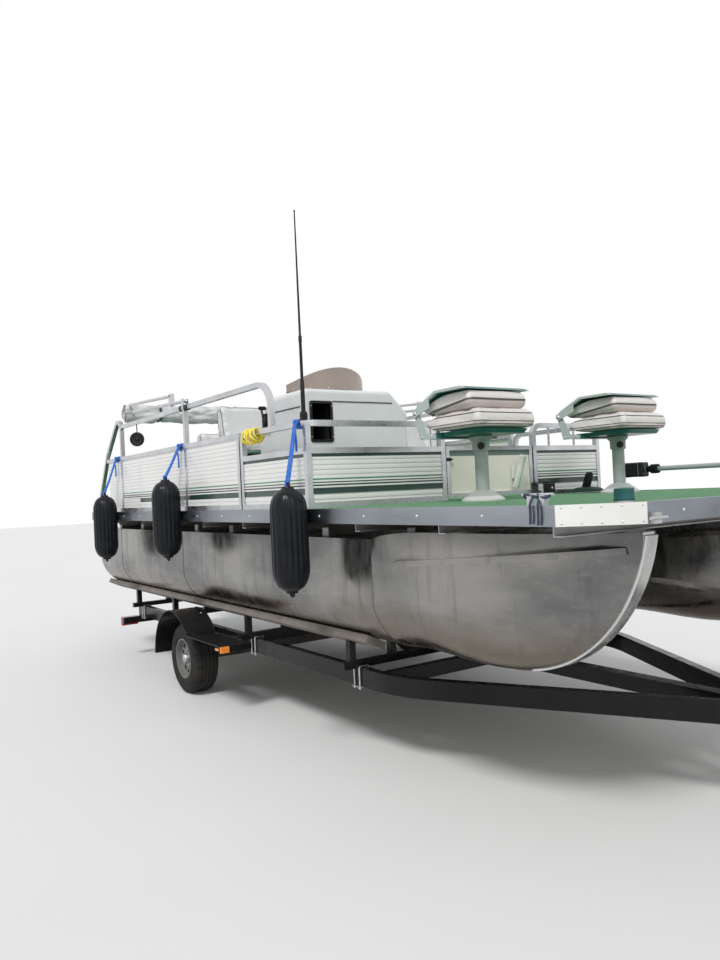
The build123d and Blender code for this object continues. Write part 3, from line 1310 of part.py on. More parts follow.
with BuildPart() as trolling_mount:
    block(
        (ahead(TROLLING_PLATE_AFT), PLATE_LOW_Y, level(RAIL_LIP_THICKNESS)),
        (ahead(TROLLING_PLATE_FORE), PLATE_HIGH_Y, level(RAIL_LIP_THICKNESS + TROLLING_EAR)),
    )
    block(
        (ahead(TROLLING_PLATE_AFT), PLATE_LOW_Y, level(0)),
        (BOW - RAIL_LIP - 2 * SEAT_GAP, PLATE_HIGH_Y, level(RAIL_LIP_THICKNESS)),
    )
    ear_foot = level(RAIL_LIP_THICKNESS + TROLLING_EAR) + SEAT_GAP
    for side in (-1, 1):
        ear_low = min(side * EAR_Y_INNER, side * (EAR_Y_INNER + TROLLING_EAR))
        ear_plane = Plane(origin=(0, TROLLING_Y + ear_low, 0), x_dir=(-1, 0, 0), z_dir=(0, 1, 0))
        with BuildSketch(ear_plane) as ear:
            with BuildLine():
                Polyline(
                    (-ahead(TROLLING_PLATE_FORE) + TROLLING_EAR_FOOT, ear_foot),
                    (-ahead(TROLLING_PLATE_FORE), ear_foot),
                    (-ahead(TROLLING_PIVOT) + TROLLING_EAR_NECK, SHAFT_Z - CARRIER_HALF),
                    (-ahead(TROLLING_PIVOT) - CARRIER_HALF, SHAFT_Z - CARRIER_HALF),
                    (-ahead(TROLLING_PIVOT) - CARRIER_HALF, SHAFT_Z + CARRIER_HALF),
                    (-ahead(TROLLING_PIVOT) + CARRIER_HALF, SHAFT_Z + CARRIER_HALF),
                    close=True,
                )
            make_face()
        extrude(ear.sketch, amount=TROLLING_EAR)
    with BuildSketch(Plane(origin=(ahead(TROLLING_PIVOT), TROLLING_Y, SHAFT_Z), z_dir=(0, 1, 0))) as bore:
        Circle(TROLLING_PIN_RADIUS + HINGE_FIT)
    extrude(bore.sketch, amount=TROLLING_PLATE_WIDTH, both=True, mode=Mode.SUBTRACT)
save(trolling_mount.part, "trolling_mount")

with BuildPart() as trolling_carrier:
    block(
        (ahead(TROLLING_PIVOT) - CARRIER_HALF, TROLLING_Y - CARRIER_HALF, SHAFT_Z - CARRIER_HALF),
        (ahead(TROLLING_PIVOT) + CARRIER_HALF, TROLLING_Y + CARRIER_HALF, SHAFT_Z + CARRIER_HALF),
    )
    for side in (-1, 1):
        rod(
            (ahead(TROLLING_PIVOT), TROLLING_Y + side * CARRIER_HALF, SHAFT_Z),
            (ahead(TROLLING_PIVOT), TROLLING_Y + side * (EAR_Y_INNER + TROLLING_EAR), SHAFT_Z),
            TROLLING_PIN_RADIUS,
        )
    with BuildSketch(Plane(origin=(ahead(TROLLING_PIVOT), TROLLING_Y, SHAFT_Z), z_dir=(1, 0, 0))) as bore:
        Circle(TROLLING_SHAFT_RADIUS + SWIVEL_FIT)
    extrude(bore.sketch, amount=TROLLING_CARRIER, both=True, mode=Mode.SUBTRACT)
save(trolling_carrier.part, "trolling_carrier")

with BuildPart() as trolling_motor:
    pod_x = ahead(TROLLING_PIVOT + TROLLING_POD_SET)
    rod(
        (ahead(TROLLING_HEAD) + TROLLING_HEAD_LENGTH / 2, TROLLING_Y, SHAFT_Z),
        (pod_x, TROLLING_Y, SHAFT_Z),
        TROLLING_SHAFT_RADIUS,
    )
    with Locations((ahead(TROLLING_HEAD) + TROLLING_HEAD_LENGTH / 2, TROLLING_Y, SHAFT_Z)):
        head = Box(TROLLING_HEAD_LENGTH, 2 * TROLLING_HEAD_HALF, TROLLING_CARRIER * 2, mode=Mode.PRIVATE)
    add(head.fillet(TROLLING_EAR, head.edges()))
    rod(
        (pod_x, TROLLING_Y - TROLLING_POD_LENGTH / 2, SHAFT_Z),
        (pod_x, TROLLING_Y + TROLLING_POD_LENGTH / 2, SHAFT_Z),
        TROLLING_POD_RADIUS,
    )
    with Locations((pod_x, TROLLING_Y + TROLLING_POD_LENGTH / 2, SHAFT_Z)):
        Sphere(TROLLING_POD_RADIUS)
    rod(
        (pod_x, TROLLING_Y - TROLLING_POD_LENGTH / 2, SHAFT_Z),
        (pod_x, TROLLING_Y - TROLLING_POD_LENGTH / 2 - TROLLING_CARRIER, SHAFT_Z),
        TROLLING_PIN_RADIUS,
    )
save(trolling_motor.part, "trolling_motor")


def propeller(plane, radius, hub_radius, hub_length, bore_radius, blades):
    """Add a hub with twisted blades to the open part; the plane's normal is the shaft."""
    with BuildSketch(plane) as hub:
        Circle(hub_radius)
    extrude(hub.sketch, amount=hub_length)
    for index in range(blades):
        root = plane * Pos(0, 0, hub_length / 2) * Rot(0, 0, 360 / blades * index)
        blade = root * Pos(radius / 2, 0, 0) * Rot(BLADE_PITCH, 0, 0)
        with Locations(blade):
            Box(radius, radius * BLADE_CHORD, radius * BLADE_THICKNESS)
    with BuildSketch(plane) as disc:
        Circle(radius)
    extrude(disc.sketch, amount=hub_length * 2, both=True, mode=Mode.INTERSECT)
    with BuildSketch(plane) as bore:
        Circle(bore_radius)
    extrude(bore.sketch, amount=hub_length * 2, both=True, mode=Mode.SUBTRACT)


with BuildPart() as trolling_propeller:
    propeller(
        Plane(
            origin=(pod_x, TROLLING_Y - TROLLING_POD_LENGTH / 2 - 2 * HINGE_PLAY, SHAFT_Z),
            x_dir=(1, 0, 0),
            z_dir=(0, -1, 0),
        ),
        TROLLING_PROP_RADIUS,
        TROLLING_POD_RADIUS / 2,
        TROLLING_CARRIER - 4 * HINGE_PLAY,
        TROLLING_PIN_RADIUS + HINGE_FIT,
        PROP_BLADES - 1,
    )
save(trolling_propeller.part, "trolling_propeller")

# Bimini: one bow of round tube with the canvas rolled on it
PIVOT_LINE = HIGH_RAIL + BIMINI_RISE

with BuildPart() as bimini_frame:
    bent_bar(
        (
            (ahead(POST_MID), -FENCE_Y, level(PIVOT_LINE)),
            (ahead(BIMINI_KNEE), -FENCE_Y, level(BIMINI_KNEE_HEIGHT)),
            (ahead(BIMINI_AFT), -BIMINI_CORNER_Y, level(BIMINI_AFT_HEIGHT)),
            (ahead(BIMINI_AFT), BIMINI_CORNER_Y, level(BIMINI_AFT_HEIGHT)),
            (ahead(BIMINI_KNEE), FENCE_Y, level(BIMINI_KNEE_HEIGHT)),
            (ahead(POST_MID), FENCE_Y, level(PIVOT_LINE)),
        ),
        BIMINI_BEND,
        BIMINI_TUBE,
        is_round=True,
    )
    arm_slope = (BIMINI_KNEE_HEIGHT - PIVOT_LINE) / (POST_MID - BIMINI_KNEE)
    jaw_height = PIVOT_LINE + arm_slope * (POST_MID - BIMINI_FORE_BOW_END)
    bent_bar(
        (
            (ahead(BIMINI_FORE_BOW_END), -FENCE_Y, level(jaw_height + BIMINI_FORE_BOW_RISE)),
            (ahead(BIMINI_FORE_BOW_KNEE), -FENCE_Y, level(BIMINI_FORE_BOW_KNEE_HEIGHT)),
            (ahead(BIMINI_FORE_BOW_AFT), -BIMINI_CORNER_Y, level(BIMINI_FORE_BOW_HEIGHT)),
            (ahead(BIMINI_FORE_BOW_AFT), BIMINI_CORNER_Y, level(BIMINI_FORE_BOW_HEIGHT)),
            (ahead(BIMINI_FORE_BOW_KNEE), FENCE_Y, level(BIMINI_FORE_BOW_KNEE_HEIGHT)),
            (ahead(BIMINI_FORE_BOW_END), FENCE_Y, level(jaw_height + BIMINI_FORE_BOW_RISE)),
        ),
        BIMINI_BEND,
        BIMINI_TUBE,
        is_round=True,
    )
    for side in (-1, 1):
        block(
            (
                ahead(BIMINI_FORE_BOW_END) - BIMINI_JAW / 2,
                side * FENCE_Y - BIMINI_JAW / 2,
                level(jaw_height - BIMINI_JAW / 2),
            ),
            (
                ahead(BIMINI_FORE_BOW_END) + BIMINI_JAW / 2,
                side * FENCE_Y + BIMINI_JAW / 2,
                level(jaw_height + BIMINI_FORE_BOW_RISE + BIMINI_JAW / 2),
            ),
        )
        eye_half = BIMINI_LUG_SET - BIMINI_LUG_WALL / 2 - HINGE_PLAY
        rod(
            (ahead(POST_MID), side * FENCE_Y - eye_half, level(PIVOT_LINE)),
            (ahead(POST_MID), side * FENCE_Y + eye_half, level(PIVOT_LINE)),
            BIMINI_TUBE / 2 + HINGE_PLAY,
        )
    with BuildSketch(Plane(origin=(ahead(POST_MID), 0, level(PIVOT_LINE)), z_dir=(0, 1, 0))) as bore:
        Circle(BIMINI_PIN_RADIUS + HINGE_FIT)
    extrude(bore.sketch, amount=DECK_WIDTH, both=True, mode=Mode.SUBTRACT)
save(bimini_frame.part, "bimini_frame")

with BuildPart() as bimini_roll:
    rod(
        (ahead(BIMINI_AFT), -ROLL_HALF, level(BIMINI_AFT_HEIGHT)),
        (ahead(BIMINI_AFT), ROLL_HALF, level(BIMINI_AFT_HEIGHT)),
        ROLL_RADIUS,
    )
    add(bimini_frame.part, mode=Mode.SUBTRACT)
save(bimini_roll.part, "bimini_roll")

# Outboard motor on its pod under the stern
with BuildPart() as motor_pod:
    with BuildSketch(Plane(origin=(STERN, 0, level(0)), x_dir=(1, 0, 0), z_dir=(0, -1, 0))) as pod_side:
        with BuildLine():
            Polyline(
                (TRANSOM, TRANSOM_TOP),
                (0, TRANSOM_TOP),
                (0, CHANNEL_FOOT - SEAT_GAP),
                (POD_FORE, CHANNEL_FOOT - SEAT_GAP),
                (POD_FORE, TRANSOM_TOP),
                (POD_CHINE, -POD_KEEL_DROP),
                (TRANSOM + TRANSOM_THICKNESS, -POD_KEEL_DROP),
                (TRANSOM, -POD_KEEL_DROP + TRANSOM_THICKNESS),
                close=True,
            )
        make_face()
    extrude(pod_side.sketch, amount=POD_WIDTH / 2, both=True)
save(motor_pod.part, "motor_pod")

TILT_X = ahead(TRANSOM + TILT_AXIS_SET)
TILT_Z = level(TRANSOM_TOP + TILT_AXIS_RISE)
STEER_X = TILT_X - STEER_SET

with BuildPart() as outboard_bracket:
    with BuildSketch(Plane(origin=(STERN, 0, level(0)), x_dir=(1, 0, 0), z_dir=(0, -1, 0))) as cheek:
        with BuildLine():
            Polyline(
                (TRANSOM - SEAT_GAP, TRANSOM_TOP - CHEEK_DROP),
                (TRANSOM - CHEEK_REACH, TRANSOM_TOP - CHEEK_DROP),
                (TRANSOM - CHEEK_REACH, TRANSOM_TOP),
                (TRANSOM + TILT_AXIS_SET - CHEEK_HEAD, TRANSOM_TOP + TILT_AXIS_RISE + CHEEK_HEAD),
                (TRANSOM + TILT_AXIS_SET + CHEEK_HEAD / 2, TRANSOM_TOP + TILT_AXIS_RISE + CHEEK_HEAD),
                (TRANSOM + TILT_AXIS_SET + TILT_HUB_RADIUS, TRANSOM_TOP + TILT_AXIS_RISE),
                (TRANSOM + TILT_AXIS_SET + TILT_HUB_RADIUS, TRANSOM_TOP + SEAT_GAP),
                (TRANSOM - SEAT_GAP, TRANSOM_TOP + SEAT_GAP),
                close=True,
            )
        make_face()
    for side in (-1, 1):
        extrude(cheek.sketch.moved(Pos(0, side * CHEEK_Y, 0)), amount=CHEEK_THICKNESS / 2, both=True)
    rod((TILT_X, -CHEEK_Y, TILT_Z), (TILT_X, CHEEK_Y, TILT_Z), TILT_RADIUS)
save(outboard_bracket.part, "outboard_bracket")

with BuildPart() as outboard_swivel:
    hub_half = CHEEK_Y - CHEEK_THICKNESS / 2 - SEAT_BRACKET_CLEARANCE
    rod((TILT_X, -hub_half, TILT_Z), (TILT_X, hub_half, TILT_Z), TILT_HUB_RADIUS)
    block(
        (STEER_X, -SWIVEL_RADIUS, TILT_Z - TILT_RADIUS),
        (TILT_X, SWIVEL_RADIUS, TILT_Z + TILT_RADIUS),
    )
    rod((STEER_X, 0, TILT_Z - SWIVEL_DROP), (STEER_X, 0, TILT_Z + TILT_HUB_RADIUS), SWIVEL_RADIUS)
    with BuildSketch(Plane(origin=(TILT_X, 0, TILT_Z), z_dir=(0, 1, 0))) as bore:
        Circle(TILT_RADIUS + SWIVEL_FIT)
    extrude(bore.sketch, amount=DECK_WIDTH / 2, both=True, mode=Mode.SUBTRACT)
    with BuildSketch(Plane.XY.offset(TILT_Z - SWIVEL_DROP)) as bore:
        with Locations((STEER_X, 0)):
            Circle(KINGPIN_RADIUS + SWIVEL_FIT)
    extrude(bore.sketch, amount=2 * SWIVEL_DROP, mode=Mode.SUBTRACT)
save(outboard_swivel.part, "outboard_swivel")

YOKE_TOP = TILT_Z + TILT_HUB_RADIUS + YOKE_CLEARANCE
YOKE_FOOT = TILT_Z - SWIVEL_DROP - SEAT_BRACKET_CLEARANCE
LEG_FORE = STEER_X - SWIVEL_RADIUS - 2 * SEAT_BRACKET_CLEARANCE
PROP_LINE = level(-PROP_DROP)
GEARCASE_AFT = LEG_FORE - LEG_LENGTH - YOKE

# Cowl plan: back from the steering axis, half width
COWL_OUTLINE = ((-110, 60), (-40, 140), (150, 175), (380, 150), (450, 80))


def cowl_plan(height):
    """Plan of the cowl and of the pan it sits on, at a height."""
    with BuildSketch(Plane.XY.offset(height)) as plan:
        with BuildLine():
            Polyline(
                *[(STEER_X - back, half) for back, half in COWL_OUTLINE],
                *[(STEER_X - back, -half) for back, half in reversed(COWL_OUTLINE)],
                close=True,
            )
        make_face()
    return plan.sketch


with BuildPart() as outboard_leg:
    extrude(cowl_plan(YOKE_TOP), amount=YOKE)
    rod((STEER_X, 0, YOKE_FOOT), (STEER_X, 0, YOKE_TOP), KINGPIN_RADIUS)
    block(
        (LEG_FORE - LEG_LENGTH, -SWIVEL_RADIUS, YOKE_FOOT - YOKE),
        (STEER_X + KINGPIN_RADIUS, SWIVEL_RADIUS, YOKE_FOOT),
    )
    block((LEG_FORE - LEG_LENGTH, -LEG_HALF, level(-LEG_DROP)), (LEG_FORE, LEG_HALF, YOKE_TOP + YOKE))
    block(
        (LEG_FORE - PLATE_LENGTH, -PLATE_HALF, level(-LEG_DROP - PLATE_THICKNESS)),
        (LEG_FORE + YOKE, PLATE_HALF, level(-LEG_DROP)),
    )
    block((LEG_FORE - LEG_LENGTH, -FIN_HALF, PROP_LINE), (LEG_FORE, FIN_HALF, level(-LEG_DROP)))
    rod((GEARCASE_AFT, 0, PROP_LINE), (LEG_FORE + YOKE, 0, PROP_LINE), GEARCASE_RADIUS)
    with Locations((LEG_FORE + YOKE, 0, PROP_LINE)):
        Sphere(GEARCASE_RADIUS)
    rod((GEARCASE_AFT, 0, PROP_LINE), (GEARCASE_AFT - PROP_HUB_LENGTH - 2 * YOKE, 0, PROP_LINE), TILT_RADIUS)
    block(
        (LEG_FORE - LEG_LENGTH, -SKEG_HALF, level(-SKEG_DROP)),
        (LEG_FORE - LEG_LENGTH / 3, SKEG_HALF, PROP_LINE),
    )
save(outboard_leg.part, "outboard_leg")

with BuildPart() as outboard_propeller:
    propeller(
        Plane(
            origin=(GEARCASE_AFT - SEAT_BRACKET_CLEARANCE, 0, PROP_LINE),
            x_dir=(0, 1, 0),
            z_dir=(-1, 0, 0),
        ),
        PROP_RADIUS,
        GEARCASE_RADIUS,
        PROP_HUB_LENGTH,
        TILT_RADIUS + SWIVEL_FIT,
        PROP_BLADES,
    )
save(outboard_propeller.part, "outboard_propeller")

COWL_FOOT = YOKE_TOP + YOKE + SEAT_GAP

with BuildPart() as outboard_cowl:
    plan = cowl_plan(COWL_FOOT)
    extrude(plan, amount=COWL_HEIGHT, taper=COWL_TAPER)
    fillet(outboard_cowl.faces().sort_by(Axis.Z)[-1].edges(), COWL_ROUND)
    with BuildSketch(Plane.XY.offset(COWL_FOOT)) as inside:
        add(plan)
        offset(amount=-COWL_ROUND)
    extrude(inside.sketch, amount=COWL_HEIGHT - COWL_ROUND, taper=COWL_TAPER, mode=Mode.SUBTRACT)
save(outboard_cowl.part, "outboard_cowl")

with BuildPart() as outboard_powerhead:
    block(
        (STEER_X - POWERHEAD_SET - POWERHEAD_LENGTH, -POWERHEAD_HALF, COWL_FOOT),
        (STEER_X - POWERHEAD_SET, POWERHEAD_HALF, COWL_FOOT + COWL_HEIGHT - 3 * COWL_ROUND),
    )
save(outboard_powerhead.part, "outboard_powerhead")

# Trailer: box rails bent in to the tongue
RAIL_Z = level(-RAIL_TOP_DROP - RAIL_BOX_HEIGHT / 2)

with BuildPart() as trailer_rails:
    bent_bar(
        (
            (ahead(RAIL_AFT), -RAIL_Y, RAIL_Z),
            (ahead(RAIL_BEND_X), -RAIL_Y, RAIL_Z),
            (ahead(RAIL_MEET_X) + RAIL_BOX_HEIGHT, 0, RAIL_Z),
        ),
        RAIL_BEND_RADIUS,
        RAIL_BOX_WIDTH,
        RAIL_BOX_HEIGHT,
    )
    with Locations(((ahead(TONGUE_AFT)) / 2, HALF / 2 - TONGUE_WIDTH / 2, RAIL_Z)):
        Box(-ahead(TONGUE_AFT), HALF, 2 * RAIL_BOX_HEIGHT, mode=Mode.SUBTRACT)
    mirror(about=Plane.XZ)
save(trailer_rails.part, "trailer_rails")

with BuildPart() as trailer_crossmembers:
    for place in CROSS_PLACES:
        cross_half = RAIL_Y - RAIL_BOX_WIDTH / 2
        block(
            (ahead(place) - CROSS_WIDTH / 2, -cross_half, level(-RAIL_TOP_DROP - CROSS_HEIGHT)),
            (ahead(place) + CROSS_WIDTH / 2, cross_half, level(-RAIL_TOP_DROP)),
        )
    rear_top = level(-RAIL_TOP_DROP - RAIL_BOX_HEIGHT)
    block(
        (ahead(REAR_CROSS_X) - CROSS_WIDTH / 2, -RAIL_Y - CROSS_OVERHANG, rear_top - REAR_CROSS_HEIGHT),
        (ahead(REAR_CROSS_X) + CROSS_WIDTH / 2, RAIL_Y + CROSS_OVERHANG, rear_top),
    )
    add(trailer_rails.part, mode=Mode.SUBTRACT)
save(trailer_crossmembers.part, "trailer_crossmembers")

# Bunk boards lie along the round bottom of each pontoon
TUBE_ARC_RADIUS = (TUBE_HALF_WIDTH**2 + TUBE_BILGE_RISE**2) / (2 * TUBE_BILGE_RISE)
BUNK_TILT = atan2(BUNK_OFFSET, sqrt(TUBE_ARC_RADIUS**2 - BUNK_OFFSET**2))
BUNK_REACH = TUBE_ARC_RADIUS + BEAD_RISE + SEAT_GAP + BUNK_THICKNESS / 2
ARC_Z = level(TUBE_ARC_RADIUS - TUBE_KEEL_DROP)


def bunk_places():
    """Each bunk's centre in y and z, and its tilt in degrees."""
    return [
        (
            side * TUBE_Y + lean * BUNK_REACH * sin(BUNK_TILT),
            ARC_Z - BUNK_REACH * cos(BUNK_TILT),
            lean * degrees(BUNK_TILT),
        )
        for side in (-1, 1)
        for lean in (-1, 1)
    ]


with BuildPart() as bunks:
    for y, z, tilt in bunk_places():
        with Locations(Pos(ahead((BUNK_AFT + BUNK_FORE) / 2), y, z) * Rot(tilt, 0, 0)):
            Box(BUNK_FORE - BUNK_AFT, BUNK_WIDTH, BUNK_THICKNESS)
save(bunks.part, "bunks")

with BuildPart() as bunk_cradles:
    bar_top = level(-RAIL_TOP_DROP + CRADLE_WIDTH)
    for place in CRADLE_PLACES:
        x = ahead(place)
        block(
            (x - CRADLE_WIDTH / 2, -CRADLE_REACH, level(-RAIL_TOP_DROP)),
            (x + CRADLE_WIDTH / 2, CRADLE_REACH, bar_top),
        )
        for y, z, tilt in bunk_places():
            block(
                (x - CRADLE_WIDTH / 2, y - CRADLE_WIDTH / 2, bar_top),
                (x + CRADLE_WIDTH / 2, y + CRADLE_WIDTH / 2, z),
            )
    for y, z, tilt in bunk_places():
        bunk_middle = Pos(ahead((BUNK_AFT + BUNK_FORE) / 2), y, z) * Rot(tilt, 0, 0)
        with Locations(bunk_middle * Pos(0, 0, BUNK_THICKNESS)):
            Box(2 * BUNK_FORE, 2 * BUNK_WIDTH, 3 * BUNK_THICKNESS, mode=Mode.SUBTRACT)
save(bunk_cradles.part, "bunk_cradles")

AXLE_LINE = GROUND + TYRE_RADIUS
HUB_INNER = WHEEL_TRACK_Y - TYRE_WIDTH - HINGE_PLAY
with BuildPart() as axle:
    x = ahead(AXLE_X)
    block(
        (x - AXLE_SIZE / 2, -HUB_INNER, AXLE_LINE - AXLE_SIZE / 2),
        (x + AXLE_SIZE / 2, HUB_INNER, AXLE_LINE + AXLE_SIZE / 2),
    )
    for side in (-1, 1):
        spindle_end = WHEEL_TRACK_Y - TYRE_WIDTH / 4
        rod((x, side * HUB_INNER, AXLE_LINE), (x, side * spindle_end, AXLE_LINE), SPINDLE_RADIUS)
        with BuildSketch(
            Plane(origin=(x, side * RAIL_Y, AXLE_LINE + AXLE_SIZE / 2), x_dir=(1, 0, 0), z_dir=(0, -1, 0))
        ) as spring:
            lift = rear_top - AXLE_LINE - AXLE_SIZE / 2
            with BuildLine():
                Polyline(
                    (-SPRING_REACH - SPRING_THICKNESS, lift),
                    (-SPRING_REACH - SPRING_THICKNESS, lift - SPRING_THICKNESS),
                    (-AXLE_SIZE, 0),
                    (AXLE_SIZE, 0),
                    (SPRING_REACH + SPRING_THICKNESS, lift - SPRING_THICKNESS),
                    (SPRING_REACH + SPRING_THICKNESS, lift),
                    (SPRING_REACH, lift),
                    (SPRING_REACH, lift - SPRING_THICKNESS / 2),
                    (AXLE_SIZE, SPRING_THICKNESS),
                    (-AXLE_SIZE, SPRING_THICKNESS),
                    (-SPRING_REACH, lift - SPRING_THICKNESS / 2),
                    (-SPRING_REACH, lift),
                    close=True,
                )
            make_face()
        extrude(spring.sketch, amount=SPRING_WIDTH / 2, both=True)
save(axle.part, "axle")

for name, side in (("starboard", -1), ("port", 1)):
    outer_y = side * WHEEL_TRACK_Y
    inward = (0, -side, 0)
    wheel_face = Plane(origin=(ahead(AXLE_X), outer_y, AXLE_LINE), x_dir=(1, 0, 0), z_dir=inward)
    with BuildPart() as tyre:
        with BuildSketch(wheel_face) as ring:
            Circle(TYRE_RADIUS)
            Circle(RIM_RADIUS, mode=Mode.SUBTRACT)
        extrude(ring.sketch, amount=TYRE_WIDTH)
        fillet(tyre.edges().filter_by(GeomType.CIRCLE).group_by(lambda edge: edge.radius)[-1], TYRE_SHOULDER)
    save(tyre.part, f"{name}_tyre")
    with BuildPart() as rim:
        rim_plane = wheel_face.offset(RIM_INSET)
        with BuildSketch(rim_plane) as barrel:
            Circle(RIM_RADIUS)
            Circle(RIM_RADIUS - RIM_WALL, mode=Mode.SUBTRACT)
        extrude(barrel.sketch, amount=TYRE_WIDTH - 2 * RIM_INSET)
        with BuildSketch(rim_plane.offset(RIM_DISH)) as disc:
            Circle(RIM_RADIUS - RIM_WALL / 2)
        extrude(disc.sketch, amount=RIM_DISC)
        with BuildSketch(rim_plane.offset(RIM_DISH - RIM_DISC)) as hub:
            Circle(HUB_RADIUS)
        extrude(hub.sketch, amount=TYRE_WIDTH - 2 * RIM_INSET - RIM_DISH + RIM_DISC)
        with BuildSketch(rim_plane.offset(TYRE_WIDTH)) as bore:
            Circle(SPINDLE_RADIUS + BEARING_FIT)
        extrude(bore.sketch, amount=TYRE_WIDTH / 4 - RIM_INSET - TYRE_WIDTH - HINGE_PLAY, mode=Mode.SUBTRACT)
    save(rim.part, f"{name}_rim")

with BuildPart() as mudguards:
    step_rise = -RAIL_TOP_DROP - (AXLE_LINE - DECK)
    start = degrees(atan2(step_rise, sqrt(GUARD_RADIUS**2 - step_rise**2)))
    with BuildSketch(
        Plane(origin=(ahead(AXLE_X), -GUARD_INNER_Y, AXLE_LINE), x_dir=(1, 0, 0), z_dir=(0, -1, 0))
    ) as guard:
        with BuildLine():
            outer = CenterArc((0, 0), GUARD_RADIUS, start, 180 - start)
            inner = CenterArc((0, 0), GUARD_RADIUS - GUARD_WALL, start, 180 - start)
            Line(outer @ 0, inner @ 0)
            Line(outer @ 1, inner @ 1)
        make_face()
        with BuildLine():
            Polyline(
                (GUARD_RADIUS * cos(radians(start)) - 2 * GUARD_WALL, step_rise),
                (GUARD_STEP_END - AXLE_X, step_rise),
                (GUARD_STEP_END - AXLE_X, step_rise - GUARD_LIP),
                (GUARD_STEP_END - AXLE_X - GUARD_WALL, step_rise - GUARD_LIP),
                (GUARD_STEP_END - AXLE_X - GUARD_WALL, step_rise - GUARD_WALL),
                (GUARD_RADIUS * cos(radians(start)) - 2 * GUARD_WALL, step_rise - GUARD_WALL),
                close=True,
            )
        make_face()
    extrude(guard.sketch, amount=GUARD_OUTER_Y - GUARD_INNER_Y)
    for low, arm_drop in ((GUARD_ARM_FORE, GUARD_WALL), (-GUARD_RADIUS, RAIL_BOX_HEIGHT / 2)):
        arm_top = level(-RAIL_TOP_DROP) - arm_drop
        block(
            (ahead(AXLE_X) + low, -GUARD_INNER_Y - GUARD_LIP, arm_top - GUARD_LIP),
            (ahead(AXLE_X) + low + GUARD_LIP, -RAIL_Y - RAIL_BOX_WIDTH / 2, arm_top),
        )
    mirror(about=Plane.XZ)
save(mudguards.part, "mudguards")

with BuildPart() as tongue:
    block(
        (ahead(TONGUE_AFT) + CROSS_WIDTH / 2, -TONGUE_WIDTH / 2, level(-RAIL_TOP_DROP - TONGUE_WIDTH)),
        (-COUPLER_AFT, TONGUE_WIDTH / 2, level(-RAIL_TOP_DROP)),
    )
    block(
        (-COUPLER_AFT, -COUPLER_HALF, -COUPLER_LIP),
        (COUPLER_FORE, COUPLER_HALF, COUPLER_ROOF),
    )
    block(
        (-COUPLER_AFT, -COUPLER_HALF, -COUPLER_LIP),
        (-COUPLER_AFT / 2, COUPLER_HALF, level(-RAIL_TOP_DROP)),
    )
    Sphere(BALL_RADIUS, mode=Mode.SUBTRACT)
    with BuildSketch(Plane.XY) as socket:
        Circle(BALL_RADIUS)
    extrude(socket.sketch, amount=-2 * BALL_RADIUS, mode=Mode.SUBTRACT)
    jack = (ahead(JACK_X), JACK_Y)
    with BuildSketch(Plane.XY.offset(level(-JACK_TUBE_FOOT))) as sleeve:
        with Locations(jack):
            Circle(JACK_RADIUS + JACK_FIT + JACK_TUBE_WALL)
    extrude(sleeve.sketch, amount=JACK_TUBE_FOOT - JACK_TOP_DROP)
    block(
        (jack[0] - TONGUE_WIDTH / 2, JACK_Y, level(-RAIL_TOP_DROP - TONGUE_WIDTH)),
        (jack[0] + TONGUE_WIDTH / 2, -TONGUE_WIDTH / 2, level(-RAIL_TOP_DROP)),
    )
    with BuildSketch(Plane.XY.offset(level(-JACK_TUBE_FOOT))) as bore:
        with Locations(jack):
            Circle(JACK_RADIUS + JACK_FIT)
    extrude(bore.sketch, amount=JACK_TUBE_FOOT - JACK_TOP_DROP - JACK_TUBE_WALL, mode=Mode.SUBTRACT)
save(tongue.part, "tongue")

with BuildPart() as jack_leg:
    with BuildSketch(Plane.XY.offset(GROUND)) as foot:
        with Locations(jack):
            Circle(JACK_FOOT_RADIUS)
    extrude(foot.sketch, amount=JACK_FOOT_THICKNESS)
    with BuildSketch(Plane.XY.offset(GROUND)) as leg:
        with Locations(jack):
            Circle(JACK_RADIUS)
    extrude(leg.sketch, amount=level(-JACK_TOP_DROP) - 2 * JACK_TUBE_WALL - GROUND)
save(jack_leg.part, "jack_leg")

with BuildPart() as winch_stand:
    x = ahead(WINCH_X)
    winch_z = level(-WINCH_DRUM_DROP)
    block(
        (x - WINCH_POST / 2, -WINCH_POST / 2, level(-RAIL_TOP_DROP)),
        (x + WINCH_POST / 2, WINCH_POST / 2, level(-WINCH_TOP_DROP)),
    )
    block(
        (BOW + SEAT_GAP + WINCH_STOP, -WINCH_POST / 2, level(-WINCH_TOP_DROP - WINCH_POST)),
        (x, WINCH_POST / 2, level(-WINCH_TOP_DROP)),
    )
    block(
        (BOW + SEAT_GAP, -WINCH_STOP, level(-RAIL_HEIGHT)),
        (BOW + SEAT_GAP + WINCH_STOP, WINCH_STOP, level(-WINCH_TOP_DROP)),
    )
    post_top = Plane(origin=(x, 0, level(-WINCH_TOP_DROP)), x_dir=(1, 0, 0), z_dir=(0, -1, 0))
    with BuildSketch(post_top) as gusset:
        with BuildLine():
            Polyline(
                (-WINCH_POST / 2, WINCH_TOP_DROP - RAIL_TOP_DROP),
                (-3 * WINCH_POST, WINCH_TOP_DROP - RAIL_TOP_DROP),
                (-WINCH_POST / 2, 4 * WINCH_POST + WINCH_TOP_DROP - RAIL_TOP_DROP),
                close=True,
            )
        make_face()
    extrude(gusset.sketch, amount=GUARD_WALL, both=True)
    drum_x = x + WINCH_POST
    drum_half = WINCH_DRUM_WIDTH / 2
    rod((drum_x, -drum_half, winch_z), (drum_x, drum_half, winch_z), WINCH_DRUM_RADIUS)
save(winch_stand.part, "winch_stand")

